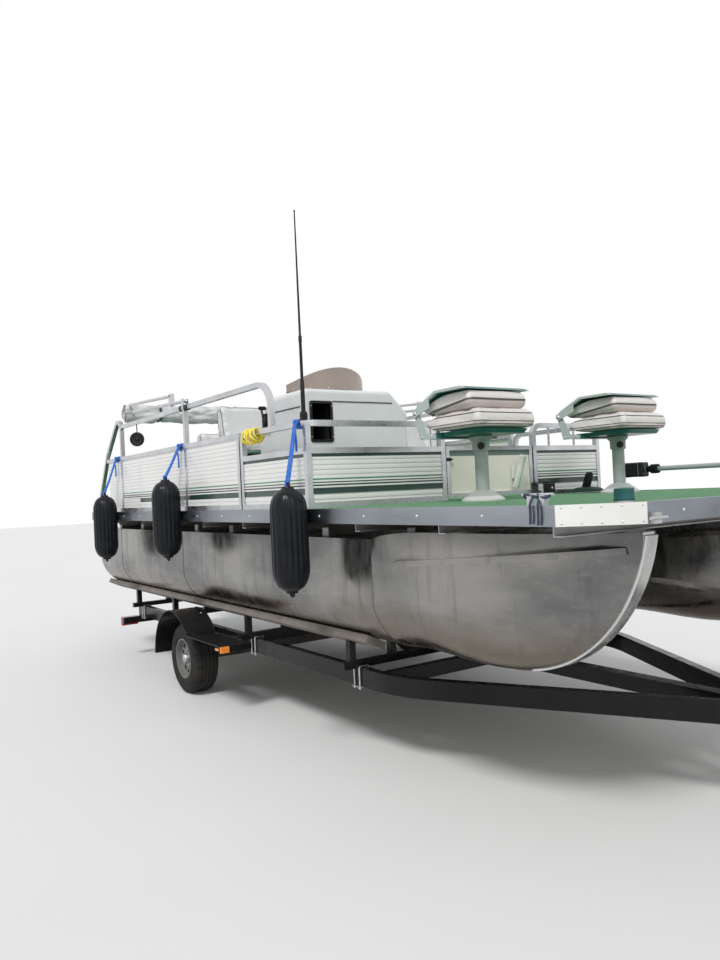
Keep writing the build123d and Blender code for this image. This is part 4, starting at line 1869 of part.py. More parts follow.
with BuildPart() as trailer_lamps:
    for side in (-1, 1):
        lamp_y = side * (RAIL_Y + CROSS_OVERHANG - LAMP_LENGTH / 2)
        lamp_x = ahead(REAR_CROSS_X) - CROSS_WIDTH / 2
        block(
            (lamp_x - LAMP_SIZE / 2, lamp_y - LAMP_LENGTH / 2, rear_top - LAMP_SIZE),
            (lamp_x, lamp_y + LAMP_LENGTH / 2, rear_top),
        )
        guard_y = side * GUARD_OUTER_Y
        block(
            (
                ahead(GUARD_STEP_END),
                min(guard_y, guard_y - side * MARKER_SIZE),
                level(-RAIL_TOP_DROP) - GUARD_LIP,
            ),
            (
                ahead(GUARD_STEP_END) + MARKER_DEPTH,
                max(guard_y, guard_y - side * MARKER_SIZE),
                level(-RAIL_TOP_DROP),
            ),
        )
save(trailer_lamps.part, "trailer_lamps")
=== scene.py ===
import logging
import math
from dataclasses import dataclass, field
from enum import Enum
from typing import Iterable, Optional, Sequence

import bmesh
import bpy
from mathutils import Euler, Matrix, Vector, noise


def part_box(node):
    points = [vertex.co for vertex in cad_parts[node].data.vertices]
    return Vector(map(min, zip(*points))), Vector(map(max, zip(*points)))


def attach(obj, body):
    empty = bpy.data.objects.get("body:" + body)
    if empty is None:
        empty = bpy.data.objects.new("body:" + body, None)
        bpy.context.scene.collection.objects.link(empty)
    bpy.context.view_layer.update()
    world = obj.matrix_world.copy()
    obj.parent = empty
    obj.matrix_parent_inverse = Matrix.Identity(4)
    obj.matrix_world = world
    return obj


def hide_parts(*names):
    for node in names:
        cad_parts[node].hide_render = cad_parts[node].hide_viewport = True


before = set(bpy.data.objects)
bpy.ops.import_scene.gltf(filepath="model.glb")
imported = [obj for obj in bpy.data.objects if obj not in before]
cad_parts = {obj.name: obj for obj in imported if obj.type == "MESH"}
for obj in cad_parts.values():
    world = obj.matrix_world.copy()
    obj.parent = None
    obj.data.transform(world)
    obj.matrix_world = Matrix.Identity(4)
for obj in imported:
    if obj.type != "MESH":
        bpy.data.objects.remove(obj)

LOG = logging.getLogger("pontoon_boat")
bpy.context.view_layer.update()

Place = tuple[float, float, float]
Rgb = tuple[float, float, float]
Pair = tuple[float, float]
Socket = bpy.types.NodeSocket

STERN_X = -7.2
DECK_Z = 0.97
HULL_BODY = "boat_and_trailer"
AHEAD = Vector((1, 0, 0))
PORT = Vector((0, 1, 0))
UP = Vector((0, 0, 1))


def at(x: float, y: float, z: float) -> Vector:
    """Turn millimetres forward of the stern edge, to port and above the deck into the shared frame."""
    return Vector((STERN_X + x / 1000, y / 1000, DECK_Z + z / 1000))


def turns(count: int) -> list[float]:
    """Give so many even angles round an axis, in radians."""
    return [math.tau * step / count for step in range(count)]


class Grain(Enum):
    """Fine relief of a finish."""

    SMOOTH = "smooth"
    ORANGE_PEEL = "orange_peel"
    BRUSHED = "brushed"
    LEATHER = "leather"
    TUFT = "tuft"
    CLOTH = "cloth"
    RUBBER = "rubber"


class Graph:
    """Node tree of one material, with short ways to add and join nodes."""

    def __init__(self, material: bpy.types.Material) -> None:
        """Clear the material's tree and add its shader.

        Args:
            material: The material to fill.
        """
        material.use_nodes = True
        self.tree = material.node_tree
        self.tree.nodes.clear()
        output = self.node("ShaderNodeOutputMaterial")
        self.shader = self.node("ShaderNodeBsdfPrincipled")
        self.join(self.shader.outputs[0], output.inputs["Surface"])
        self.spot = self.node("ShaderNodeTexCoord").outputs["Object"]

    def node(self, kind: str, **settings: object) -> bpy.types.Node:
        """Add a node and set its properties.

        Args:
            kind: Blender's name of the node.
            settings: Properties of the node.

        Returns:
            The new node.
        """
        made = self.tree.nodes.new(kind)
        for key, value in settings.items():
            setattr(made, key, value)
        return made

    def join(self, source: Socket, target: Socket) -> None:
        """Link two sockets."""
        self.tree.links.new(source, target)

    def put(self, value: object, target: Socket) -> None:
        """Link a socket or set a plain value.

        Args:
            value: A socket or a number, vector or colour.
            target: The input.
        """
        if isinstance(value, Socket):
            self.join(value, target)
        else:
            target.default_value = value

    def scaled(self, stretch: Place) -> Socket:
        """Give the surface's place, stretched along the axes.

        Args:
            stretch: Scale along X, Y and Z.

        Returns:
            The vector socket.
        """
        mapping = self.node("ShaderNodeMapping")
        self.join(self.spot, mapping.inputs["Vector"])
        mapping.inputs["Scale"].default_value = stretch
        return mapping.outputs[0]

    def cloud(
        self, scale: float, detail: float = 4.0, stretch: Place = (1, 1, 1), rough: float = 0.55
    ) -> Socket:
        """Add soft noise.

        Args:
            scale: Noise scale per metre.
            detail: Octaves.
            stretch: Scale along the axes.
            rough: Weight of the fine octaves.

        Returns:
            The noise factor.
        """
        made = self.node("ShaderNodeTexNoise")
        self.join(self.scaled(stretch), made.inputs["Vector"])
        made.inputs["Scale"].default_value = scale
        made.inputs["Detail"].default_value = detail
        made.inputs["Roughness"].default_value = rough
        return made.outputs["Fac"]

    def span(
        self, value: object, low: float, high: float, to_low: float = 0.0, to_high: float = 1.0
    ) -> Socket:
        """Map a range to another, clamped.

        Args:
            value: Input value.
            low: Input at the new low end.
            high: Input at the new high end.
            to_low: New low end.
            to_high: New high end.

        Returns:
            The mapped value.
        """
        made = self.node("ShaderNodeMapRange")
        self.put(value, made.inputs["Value"])
        for name, number in (("From Min", low), ("From Max", high), ("To Min", to_low), ("To Max", to_high)):
            made.inputs[name].default_value = number
        return made.outputs[0]

    def sum(self, operation: str, first: object, second: object) -> Socket:
        """Combine two numbers.

        Args:
            operation: Math node operation.
            first: First operand.
            second: Second operand.

        Returns:
            The result.
        """
        made = self.node("ShaderNodeMath", operation=operation)
        self.put(first, made.inputs[0])
        self.put(second, made.inputs[1])
        return made.outputs[0]

    def mix(self, factor: object, first: object, second: object) -> Socket:
        """Mix two colours.

        Args:
            factor: Share of the second.
            first: Colour or socket.
            second: Colour or socket.

        Returns:
            The colour socket.
        """
        made = self.node("ShaderNodeMix", data_type="RGBA")
        self.put(factor, made.inputs[0])
        for value, target in ((first, made.inputs[6]), (second, made.inputs[7])):
            self.put(value if isinstance(value, Socket) else (*value, 1.0), target)
        return made.outputs[2]

    def axes(self) -> tuple[Socket, Socket, Socket]:
        """Split the surface's place.

        Returns:
            X, Y and Z in metres.
        """
        made = self.node("ShaderNodeSeparateXYZ")
        self.join(self.spot, made.inputs[0])
        return made.outputs[0], made.outputs[1], made.outputs[2]

    def upward(self) -> Socket:
        """Give how far the surface faces up.

        Returns:
            The normal's Z.
        """
        made = self.node("ShaderNodeSeparateXYZ")
        self.join(self.node("ShaderNodeTexCoord").outputs["Normal"], made.inputs[0])
        return made.outputs[2]


@dataclass(frozen=True)
class Finish:
    """A surface finish that can make its material."""

    name: str
    slot: str
    colour: Rgb
    mottle: Rgb
    mottle_scale: float = 3.0
    mottle_share: float = 0.6
    stretch: Place = (1.0, 1.0, 1.0)
    rough: tuple[float, float] = (0.4, 0.55)
    metal: float = 0.0
    grain: Grain = Grain.ORANGE_PEEL
    grain_scale: float = 350.0
    grain_depth: float = 0.15
    dust: Rgb = (0.42, 0.37, 0.30)
    dust_share: float = 0.0
    coat: float = 0.0
    sheen: float = 0.0
    specular: float = 0.5
    clear: float = 0.0

    def tint(self, graph: Graph) -> Socket:
        """Colour of the surface before dust."""
        cloud = graph.cloud(self.mottle_scale, 6.0, self.stretch)
        return graph.mix(graph.span(cloud, 0.34, 0.66, 0.0, self.mottle_share), self.colour, self.mottle)

    def relief(self, graph: Graph) -> Optional[Socket]:
        """Fine height pattern.

        Args:
            graph: The material's nodes.

        Returns:
            The height socket, or None for a smooth finish.
        """
        if self.grain is Grain.SMOOTH:
            return None
        if self.grain is Grain.BRUSHED:
            along = tuple(0.04 if axis == max(self.stretch) else 1.0 for axis in self.stretch)
            return graph.cloud(self.grain_scale, 3.0, along)
        if self.grain is Grain.LEATHER:
            cells = graph.node("ShaderNodeTexVoronoi", feature="DISTANCE_TO_EDGE")
            graph.join(graph.spot, cells.inputs["Vector"])
            cells.inputs["Scale"].default_value = self.grain_scale
            creases = graph.span(cells.outputs["Distance"], 0.0, 0.25)
            return graph.sum("ADD", creases, graph.cloud(self.grain_scale * 0.25, 4.0))
        if self.grain is Grain.CLOTH:
            bands = []
            for direction in ("X", "Z"):
                wave = graph.node("ShaderNodeTexWave", bands_direction=direction)
                graph.join(graph.spot, wave.inputs["Vector"])
                wave.inputs["Scale"].default_value = self.grain_scale
                wave.inputs["Distortion"].default_value = 0.6
                bands.append(wave.outputs["Fac"])
            return graph.sum("MULTIPLY", *bands)
        detail = {Grain.ORANGE_PEEL: 2.0, Grain.TUFT: 5.0, Grain.RUBBER: 5.0}[self.grain]
        return graph.cloud(self.grain_scale, detail, rough=0.7)

    def make(self) -> bpy.types.Material:
        """Build the material.

        Returns:
            The new material.
        """
        material = bpy.data.materials.new(self.name)
        graph = Graph(material)
        shader = graph.shader
        colour = self.tint(graph)
        if self.dust_share:
            lying = graph.span(graph.upward(), 0.1, 0.95, 0.25, 1.0)
            patches = graph.span(graph.cloud(9.0, 8.0, rough=0.7), 0.36, 0.7, 0.0, self.dust_share)
            colour = graph.mix(graph.sum("MULTIPLY", lying, patches), colour, self.dust)
        graph.join(colour, shader.inputs["Base Color"])
        worn = graph.cloud(14.0, 6.0, self.stretch)
        graph.join(graph.span(worn, 0.3, 0.7, *self.rough), shader.inputs["Roughness"])
        plain = {"Metallic": self.metal, "Specular IOR Level": self.specular}
        if self.coat:
            plain |= {"Coat Weight": self.coat, "Coat Roughness": 0.12}
        if self.sheen:
            plain |= {"Sheen Weight": self.sheen, "Sheen Roughness": 0.5}
        if self.clear:
            plain |= {"Transmission Weight": self.clear, "IOR": 1.45}
        for name, value in plain.items():
            shader.inputs[name].default_value = value
        height = self.relief(graph)
        if height is not None:
            bump = graph.node("ShaderNodeBump")
            bump.inputs["Strength"].default_value = min(1.0, self.grain_depth * 4)
            bump.inputs["Distance"].default_value = self.grain_depth / 100
            graph.join(height, bump.inputs["Height"])
            graph.join(bump.outputs[0], shader.inputs["Normal"])
        return material


@dataclass(frozen=True)
class HullFinish(Finish):
    """Mill aluminium with weather bloom and runs, a bottom browned partly by stain and partly by a painted
    reflection of the ground, and painted shade under the deck.
    """

    run_colour: Rgb = (0.085, 0.085, 0.09)
    bloom_colour: Rgb = (0.46, 0.45, 0.44)
    # brown towards the keel: partly stain, partly a painted reflection of the ground
    stain_and_ground_reflection: Rgb = (0.17, 0.125, 0.088)
    bilge: float = 0.50
    keel: float = 0.28
    # painted shade: from this height up the pontoons darken towards the shadow colour, which stands in for
    # the deck's shadow
    shaded: float = 0.74
    shadow: Rgb = (0.10, 0.10, 0.105)
    line: float = 0.800
    plate: float = 0.032
    plate_x: Pair = (5300.0, 5320.0)
    bare: Rgb = (0.66, 0.66, 0.65)

    def tint(self, graph: Graph) -> Socket:
        """Bright sides with dull clouds and runs, browner towards the keel from stain and a painted
        reflection of the ground, darker at the top from a painted shadow under the deck.

        Args:
            graph: The material's nodes.

        Returns:
            The colour socket.
        """
        clouds = graph.span(graph.cloud(1.6, 5.0, (0.8, 1.0, 1.9)), 0.38, 0.64)
        colour = graph.mix(clouds, self.colour, self.mottle)
        runs = graph.span(graph.cloud(11.0, 6.0, (1.0, 1.0, 0.08), 0.65), 0.52, 0.72, 0.0, 0.55)
        colour = graph.mix(runs, colour, self.run_colour)
        bloom = graph.span(graph.cloud(28.0, 7.0, (0.35, 1.0, 1.0), 0.7), 0.56, 0.78, 0.0, 0.4)
        colour = graph.mix(bloom, colour, self.bloom_colour)
        height = graph.axes()[2]
        wavy = graph.sum("ADD", height, graph.span(graph.cloud(1.2, 3.0), 0.3, 0.7, -0.06, 0.06))
        # painted reflection of the ground mixed with stain: browner towards the keel
        low = graph.span(wavy, self.bilge, self.keel, 0.0, 0.85)
        colour = graph.mix(low, colour, self.stain_and_ground_reflection)
        # painted shade: a darker band near the top of the pontoons stands in for the deck's shadow
        top = graph.span(wavy, self.shaded, self.shaded + 0.10, 0.0, 0.62)
        colour = graph.mix(top, colour, self.shadow)
        x, y, _ = graph.axes()
        off = graph.sum("ABSOLUTE", graph.sum("SUBTRACT", graph.sum("ABSOLUTE", y, 0.0), self.line), 0.0)
        near = graph.span(off, self.plate, self.plate + 0.004, 1.0, 0.0)
        ahead = graph.span(x, *(at(place, 0, 0).x for place in self.plate_x))
        return graph.mix(graph.sum("MULTIPLY", near, ahead), colour, self.bare)


@dataclass(frozen=True)
class StripedFinish(Finish):
    """White fence sheet with painted bands at set heights."""

    dark: Rgb = (0.012, 0.045, 0.035)
    green: Rgb = (0.03, 0.25, 0.14)
    bands: tuple[tuple[float, float, bool], ...] = (
        (76, 110, False),
        (119, 127, False),
        (136, 143, False),
        (154, 161, True),
        (278, 296, False),
    )
    thin_x: float = 980.0
    thick_x: float = 1400.0
    head_x: float = 3289.0
    slope: float = 0.6

    def tint(self, graph: Graph) -> Socket:
        """White with dark and green bands by height.

        Args:
            graph: The material's nodes.

        Returns:
            The colour socket.
        """
        colour = super().tint(graph)
        x, _, z = graph.axes()
        sloped = graph.sum("ADD", x, graph.sum("MULTIPLY", z, self.slope))
        thin, thick = (
            graph.sum("GREATER_THAN", sloped, at(start, 0, 0).x + self.slope * DECK_Z)
            for start in (self.thin_x, self.thick_x)
        )
        for low, high, is_green in self.bands:
            above = graph.sum("GREATER_THAN", z, at(0, 0, low).z)
            below = graph.sum("LESS_THAN", z, at(0, 0, high).z)
            band = graph.sum("MULTIPLY", graph.sum("MULTIPLY", above, below), thick if low < 100 else thin)
            if low > 200:
                band = graph.sum("MULTIPLY", band, graph.sum("GREATER_THAN", x, at(self.head_x, 0, 0).x))
            colour = graph.mix(band, colour, self.green if is_green else self.dark)
        return colour


@dataclass(frozen=True)
class GateFinish(Finish):
    """Cream gate sheet with a grey-green band along its head."""

    band: Rgb = (0.13, 0.19, 0.17)
    edge: float = 268.0

    def tint(self, graph: Graph) -> Socket:
        """Cream below the band and grey-green within it."""
        head = graph.sum("GREATER_THAN", graph.axes()[2], at(0, 0, self.edge).z)
        return graph.mix(head, super().tint(graph), self.band)


@dataclass(frozen=True)
class ShaftFinish(Finish):
    """Bow motor: black mouldings round a bare silver shaft."""

    axis: Pair = (970.0, 135.0)
    bare: Rgb = (0.42, 0.44, 0.46)
    reach: float = 0.0165

    def tint(self, graph: Graph) -> Socket:
        """Silver within the shaft's radius and black beyond it.

        Args:
            graph: The material's nodes.

        Returns:
            The colour socket.
        """
        _, y, z = graph.axes()
        aside = graph.sum("SUBTRACT", y, self.axis[0] / 1000)
        above = graph.sum("SUBTRACT", z, at(0, 0, self.axis[1]).z)
        squares = [graph.sum("MULTIPLY", part, part) for part in (aside, above)]
        far = graph.sum("SQRT", graph.sum("ADD", *squares), 0.0)
        return graph.mix(graph.sum("LESS_THAN", far, self.reach), super().tint(graph), self.bare)


@dataclass(frozen=True)
class TurfFinish(Finish):
    """Short green turf with trodden patches."""

    def tint(self, graph: Graph) -> Socket:
        """Speckled blades over worn patches.

        Args:
            graph: The material's nodes.

        Returns:
            The colour socket.
        """
        colour = super().tint(graph)
        blades = graph.span(graph.cloud(420.0, 3.0), 0.35, 0.65)
        return graph.mix(blades, colour, tuple(channel * 0.45 for channel in self.colour))


@dataclass(frozen=True)
class SewnFinish(Finish):
    """Vinyl of two shades that meet in a dark seam at a slanting plane."""

    shade: Rgb = (0.64, 0.56, 0.54)
    seam: Rgb = (0.10, 0.09, 0.09)
    slant: Pair = (0.0, 1.0)
    level: float = 0.0

    def tint(self, graph: Graph) -> Socket:
        """Light vinyl above the seam and shaded vinyl below it.

        Args:
            graph: The material's nodes.

        Returns:
            The colour socket.
        """
        x, _, z = graph.axes()
        colour = super().tint(graph)
        dull = graph.span(graph.cloud(8.0, 5.0), 0.35, 0.65, 0.0, 0.5)
        deep = graph.mix(dull, self.shade, tuple(part * 0.82 for part in self.shade))
        parts = [graph.sum("MULTIPLY", axis, share) for axis, share in zip((x, z), self.slant)]
        rise = graph.sum("ADD", *parts)
        above = graph.span(rise, self.level - 0.001, self.level + 0.001)
        colour = graph.mix(above, deep, colour)
        gap = graph.sum("ABSOLUTE", graph.sum("SUBTRACT", rise, self.level), 0.0)
        return graph.mix(graph.span(gap, 0.0015, 0.0035, 1.0, 0.0), colour, self.seam)


@dataclass(frozen=True)
class ShellFinish(Finish):
    """Teal moulding with pale grey-green brackets at both sides of a seat."""

    centre: float = 0.0
    bracket: Rgb = (0.46, 0.52, 0.50)
    side: Pair = (0.2165, 0.2185)

    def tint(self, graph: Graph) -> Socket:
        """Teal between the sides, grey-green outside them."""
        away = graph.sum("ABSOLUTE", graph.sum("SUBTRACT", graph.axes()[1], self.centre / 1000), 0.0)
        return graph.mix(graph.span(away, *self.side), super().tint(graph), self.bracket)


@dataclass(frozen=True)
class LampFinish(Finish):
    """Lamp lens: red at the stern, amber ahead of it."""

    rear: Rgb = (0.50, 0.015, 0.01)

    def tint(self, graph: Graph) -> Socket:
        """Red lenses at the stern and amber ones elsewhere."""
        ahead = graph.span(graph.axes()[0], at(900, 0, 0).x, at(901, 0, 0).x)
        return graph.mix(ahead, self.rear, super().tint(graph))


@dataclass(frozen=True)
class PostFinish(Finish):
    """Pedestal paint: pale flange at the deck, dull green post and socket."""

    flange: Rgb = (0.62, 0.62, 0.60)

    def tint(self, graph: Graph) -> Socket:
        """Pale near the deck, dull green above."""
        low = graph.span(graph.axes()[2], at(0, 0, 24).z, at(0, 0, 27).z)
        return graph.mix(low, self.flange, super().tint(graph))


SILVER = {"metal": 1.0, "grain": Grain.BRUSHED}
BRAID = {
    "mottle_scale": 60.0, "mottle_share": 0.8, "grain": Grain.TUFT, "grain_scale": 1400.0,
    "grain_depth": 0.1,
}
PLASTIC = {"mottle_scale": 12.0, "mottle_share": 0.6, "dust": (0.16, 0.16, 0.155)}
BLACKS = ("black_plastic", (0.010, 0.010, 0.011), (0.022, 0.022, 0.022))
SHELL = {
    "slot": "teal_shell", "colour": (0.006, 0.095, 0.088), "mottle": (0.012, 0.14, 0.125),
    "mottle_scale": 9.0, "mottle_share": 0.7, "rough": (0.28, 0.42), "coat": 0.2,
    "dust": (0.24, 0.31, 0.29), "dust_share": 0.22,
}
VINYL = {
    "slot": "seat_vinyl", "mottle_scale": 7.0, "mottle_share": 0.7, "rough": (0.36, 0.52),
    "grain": Grain.LEATHER, "grain_scale": 420.0, "grain_depth": 0.035, "dust": (0.50, 0.45, 0.40),
    "dust_share": 0.2,
}
GREY_VINYL = {
    "slot": "grey_vinyl", "mottle_share": 0.6, "rough": (0.34, 0.5), "grain": Grain.LEATHER,
    "grain_depth": 0.035, "dust": (0.46, 0.43, 0.38), "dust_share": 0.2,
}


class Palette:
    """Every finish of the boat, each made once."""

    HULL = HullFinish(
        "hull_metal", "hull_aluminium", (0.33, 0.32, 0.30), (0.16, 0.16, 0.165), rough=(0.16, 0.34),
        stretch=(1.0, 1.0, 0.4), grain_scale=160.0, grain_depth=0.05, **SILVER,
    )
    POD = Finish(
        "pod_metal", "hull_aluminium", (0.34, 0.34, 0.33), (0.24, 0.235, 0.22), 3.0, 0.8,
        rough=(0.35, 0.55), metal=1.0, grain_scale=90.0, grain_depth=0.06,
    )
    TUBE = Finish(
        "fence_metal", "frame_aluminium", (0.60, 0.61, 0.63), (0.44, 0.45, 0.47), 5.0, 0.7,
        (1.0, 1.0, 0.9), (0.22, 0.38), grain_scale=500.0, grain_depth=0.03, **SILVER,
    )
    EDGE = Finish(
        "deck_edge_metal", "rail_aluminium", (0.36, 0.385, 0.42), (0.25, 0.27, 0.30), 2.4, 0.9,
        (0.5, 1.0, 1.6), (0.26, 0.44), grain_scale=300.0, grain_depth=0.04, **SILVER,
    )
    CHANNEL = Finish(
        "channel_metal", "frame_aluminium", (0.45, 0.46, 0.47), (0.33, 0.33, 0.33), 4.0, 0.8,
        rough=(0.4, 0.6), metal=1.0,
    )
    WHITE = Finish(
        "white_plate", "white_paint", (0.80, 0.80, 0.77), (0.69, 0.68, 0.64), 6.0, 0.7, rough=(0.3, 0.5),
        coat=0.2,
    )
    SHEET = StripedFinish(
        "fence_sheet", "white_paint", (0.82, 0.82, 0.80), (0.72, 0.72, 0.70), 4.0, 0.6,
        (1.0, 1.0, 0.4), (0.28, 0.42), grain_scale=120.0, grain_depth=0.03, coat=0.3,
    )
    CREAM = GateFinish(
        "gate_sheet", "cream_paint", (0.80, 0.78, 0.69), (0.71, 0.68, 0.58), 5.0, 0.6, rough=(0.3, 0.45),
        coat=0.2,
    )
    TURF = TurfFinish(
        "deck_turf_green", "green_turf", (0.085, 0.42, 0.15), (0.15, 0.50, 0.20), 7.0, 0.9,
        rough=(0.9, 1.0), grain=Grain.TUFT, grain_scale=380.0, grain_depth=0.9, specular=0.15, sheen=0.3,
    )
    DARK_GREEN = Finish(
        "dark_green_moulding", "black_plastic", (0.015, 0.05, 0.035), (0.03, 0.08, 0.055), 14.0, 0.7,
        rough=(0.5, 0.7), dust=(0.16, 0.20, 0.17), dust_share=0.2, specular=0.25,
    )
    CUP = Finish(
        "light_cup_teal", "teal_shell", (0.006, 0.075, 0.070), (0.012, 0.11, 0.10), 14.0, 0.7,
        rough=(0.3, 0.5), dust=(0.16, 0.22, 0.20), dust_share=0.15, specular=0.3,
    )
    WOOD = Finish(
        "deck_plywood", "plywood", (0.35, 0.27, 0.18), (0.24, 0.18, 0.12), 9.0, 0.9, (0.2, 1.0, 1.0),
        (0.6, 0.8),
    )
    GEL = Finish(
        "console_gel", "console_moulding", (0.73, 0.74, 0.75), (0.62, 0.63, 0.63), 3.5, 0.6,
        rough=(0.18, 0.34), coat=0.4, grain_scale=40.0, grain_depth=0.04,
    )
    BENCH = Finish(
        "bench_moulding", "console_grey", (0.66, 0.66, 0.66), (0.56, 0.56, 0.55), 4.0, 0.6, rough=(0.35, 0.5)
    )
    SMOKED = Finish(
        "smoked_sheet", "smoked_screen", (0.30, 0.25, 0.22), (0.40, 0.33, 0.29), 3.0, 0.6,
        rough=(0.03, 0.09), grain=Grain.SMOOTH, clear=0.9,
    )
    PIPING = Finish(
        "dark_piping", "grey_vinyl", (0.05, 0.05, 0.06), (0.10, 0.10, 0.11), 20.0, 0.6, rough=(0.4, 0.55)
    )
    NEAR_SHELL = ShellFinish("near_shell_teal", centre=-450.0, **SHELL)
    FAR_SHELL = ShellFinish("far_shell_teal", centre=680.0, **SHELL)
    BLACK = Finish("black_moulding", *BLACKS, rough=(0.34, 0.54), dust_share=0.12, specular=0.2, **PLASTIC)
    SHAFT = ShaftFinish(
        "bow_motor_skin", *BLACKS, rough=(0.28, 0.46), dust_share=0.10, specular=0.3, **PLASTIC
    )
    FENDER = Finish(
        "fender_skin", "fender_vinyl", (0.006, 0.007, 0.010), (0.014, 0.015, 0.019), 8.0, 0.7,
        rough=(0.16, 0.34), grain=Grain.RUBBER, grain_scale=220.0, grain_depth=0.03,
        dust=(0.16, 0.16, 0.16), dust_share=0.06, specular=0.16,
    )
    BLUE = Finish(
        "blue_braid", "blue_rope", (0.010, 0.10, 0.50), (0.02, 0.20, 0.68), rough=(0.6, 0.8), sheen=0.4,
        **BRAID,
    )
    NAVY = Finish(
        "navy_braid", "blue_rope", (0.012, 0.018, 0.055), (0.03, 0.04, 0.10), rough=(0.6, 0.8), sheen=0.3,
        **BRAID,
    )
    YELLOW = Finish(
        "yellow_braid", "yellow_rope", (0.83, 0.66, 0.03), (0.93, 0.80, 0.16),
        rough=(0.5, 0.75), sheen=0.3, **BRAID,
    )
    STEEL = Finish(
        "zinc_steel", "steel", (0.60, 0.61, 0.62), (0.44, 0.44, 0.44), 30.0, 0.8, rough=(0.28, 0.5), metal=1.0
    )
    PAINT = Finish(
        "trailer_black", "black_paint", (0.006, 0.006, 0.007), (0.013, 0.013, 0.014), 5.0, 0.7,
        rough=(0.14, 0.32), coat=0.10, grain_scale=60.0, grain_depth=0.02,
        dust=(0.16, 0.145, 0.12), dust_share=0.10, specular=0.16,
    )
    DULL = Finish(
        "axle_black", "dark_metal", (0.03, 0.03, 0.033), (0.09, 0.065, 0.05), 16.0, 0.8,
        rough=(0.45, 0.7), metal=0.4, dust_share=0.4,
    )
    TYRE = Finish(
        "tyre_rubber_dusty", "tyre_rubber", (0.013, 0.013, 0.014), (0.045, 0.042, 0.038), 14.0, 0.8,
        rough=(0.7, 0.9), grain=Grain.RUBBER, grain_scale=160.0, grain_depth=0.12,
        dust=(0.18, 0.16, 0.135), dust_share=0.30, specular=0.12,
    )
    RUBBER = Finish(
        "black_rubber", "tyre_rubber", (0.010, 0.010, 0.010), (0.026, 0.025, 0.024), 20.0, 0.7,
        rough=(0.6, 0.8), grain=Grain.RUBBER, grain_scale=300.0, grain_depth=0.06,
        dust=(0.14, 0.14, 0.13), dust_share=0.10, specular=0.15,
    )
    RIM = Finish(
        "rim_white", "rim_paint", (0.22, 0.22, 0.22), (0.14, 0.137, 0.13), 14.0, 0.7,
        rough=(0.35, 0.55), dust_share=0.3,
    )
    CARPET = Finish(
        "bunk_cover", "bunk_carpet", (0.26, 0.23, 0.20), (0.17, 0.145, 0.12), 9.0, 0.9,
        rough=(0.9, 1.0), grain=Grain.TUFT, grain_scale=500.0, grain_depth=0.5, specular=0.1, sheen=0.2,
    )
    AMBER = LampFinish(
        "amber_lens", "lamp_lens", (0.90, 0.24, 0.01), (0.95, 0.34, 0.03), 30.0, 0.5, rough=(0.15, 0.3),
        coat=0.5,
    )
    CANVAS = Finish(
        "canvas_white", "white_canvas", (0.76, 0.76, 0.76), (0.50, 0.50, 0.51), 9.0, 0.9,
        rough=(0.6, 0.8), grain=Grain.CLOTH, grain_scale=300.0, grain_depth=0.05,
        dust=(0.45, 0.44, 0.42), dust_share=0.3,
    )
    COWL = Finish(
        "cowl_black", "cowl_paint", (0.008, 0.009, 0.011), (0.015, 0.016, 0.018), 6.0, 0.6,
        rough=(0.12, 0.25), coat=0.25, specular=0.3,
    )
    POST = PostFinish(
        "pedestal_paint", "frame_aluminium", (0.33, 0.375, 0.36), (0.42, 0.46, 0.44), 18.0, 0.7,
        rough=(0.35, 0.55), grain_scale=200.0, grain_depth=0.06, dust_share=0.25,
    )
    SEAT_PAD = SewnFinish(
        "seat_pad_vinyl", colour=(0.76, 0.73, 0.70), mottle=(0.66, 0.61, 0.58), level=at(0, 0, 404).z, **VINYL
    )
    BACK_PAD = SewnFinish(
        "back_pad_vinyl", colour=(0.77, 0.74, 0.71), mottle=(0.67, 0.62, 0.59), slant=(-0.12, 0.99),
        level=-0.12 * at(4700, 0, 0).x + 0.99 * at(0, 0, 504.6).z, **VINYL,
    )
    HELM_PAD = Finish(
        "helm_vinyl", colour=(0.72, 0.72, 0.72), mottle=(0.62, 0.62, 0.63), mottle_scale=6.0,
        grain_scale=400.0, **GREY_VINYL,
    )
    LOUNGE_PAD = Finish(
        "lounge_pad_vinyl", colour=(0.74, 0.74, 0.75), mottle=(0.64, 0.64, 0.65), mottle_scale=5.0,
        grain_scale=380.0, **GREY_VINYL,
    )

    def __init__(self) -> None:
        """Start with no material made."""
        self.made: dict[str, bpy.types.Material] = {}

    def material(self, finish: Finish) -> bpy.types.Material:
        """Give a finish's material, made on first use.

        Args:
            finish: The finish wanted.

        Returns:
            Its material.
        """
        if finish.name not in self.made:
            self.made[finish.name] = finish.make()
        return self.made[finish.name]


PALETTE = Palette()


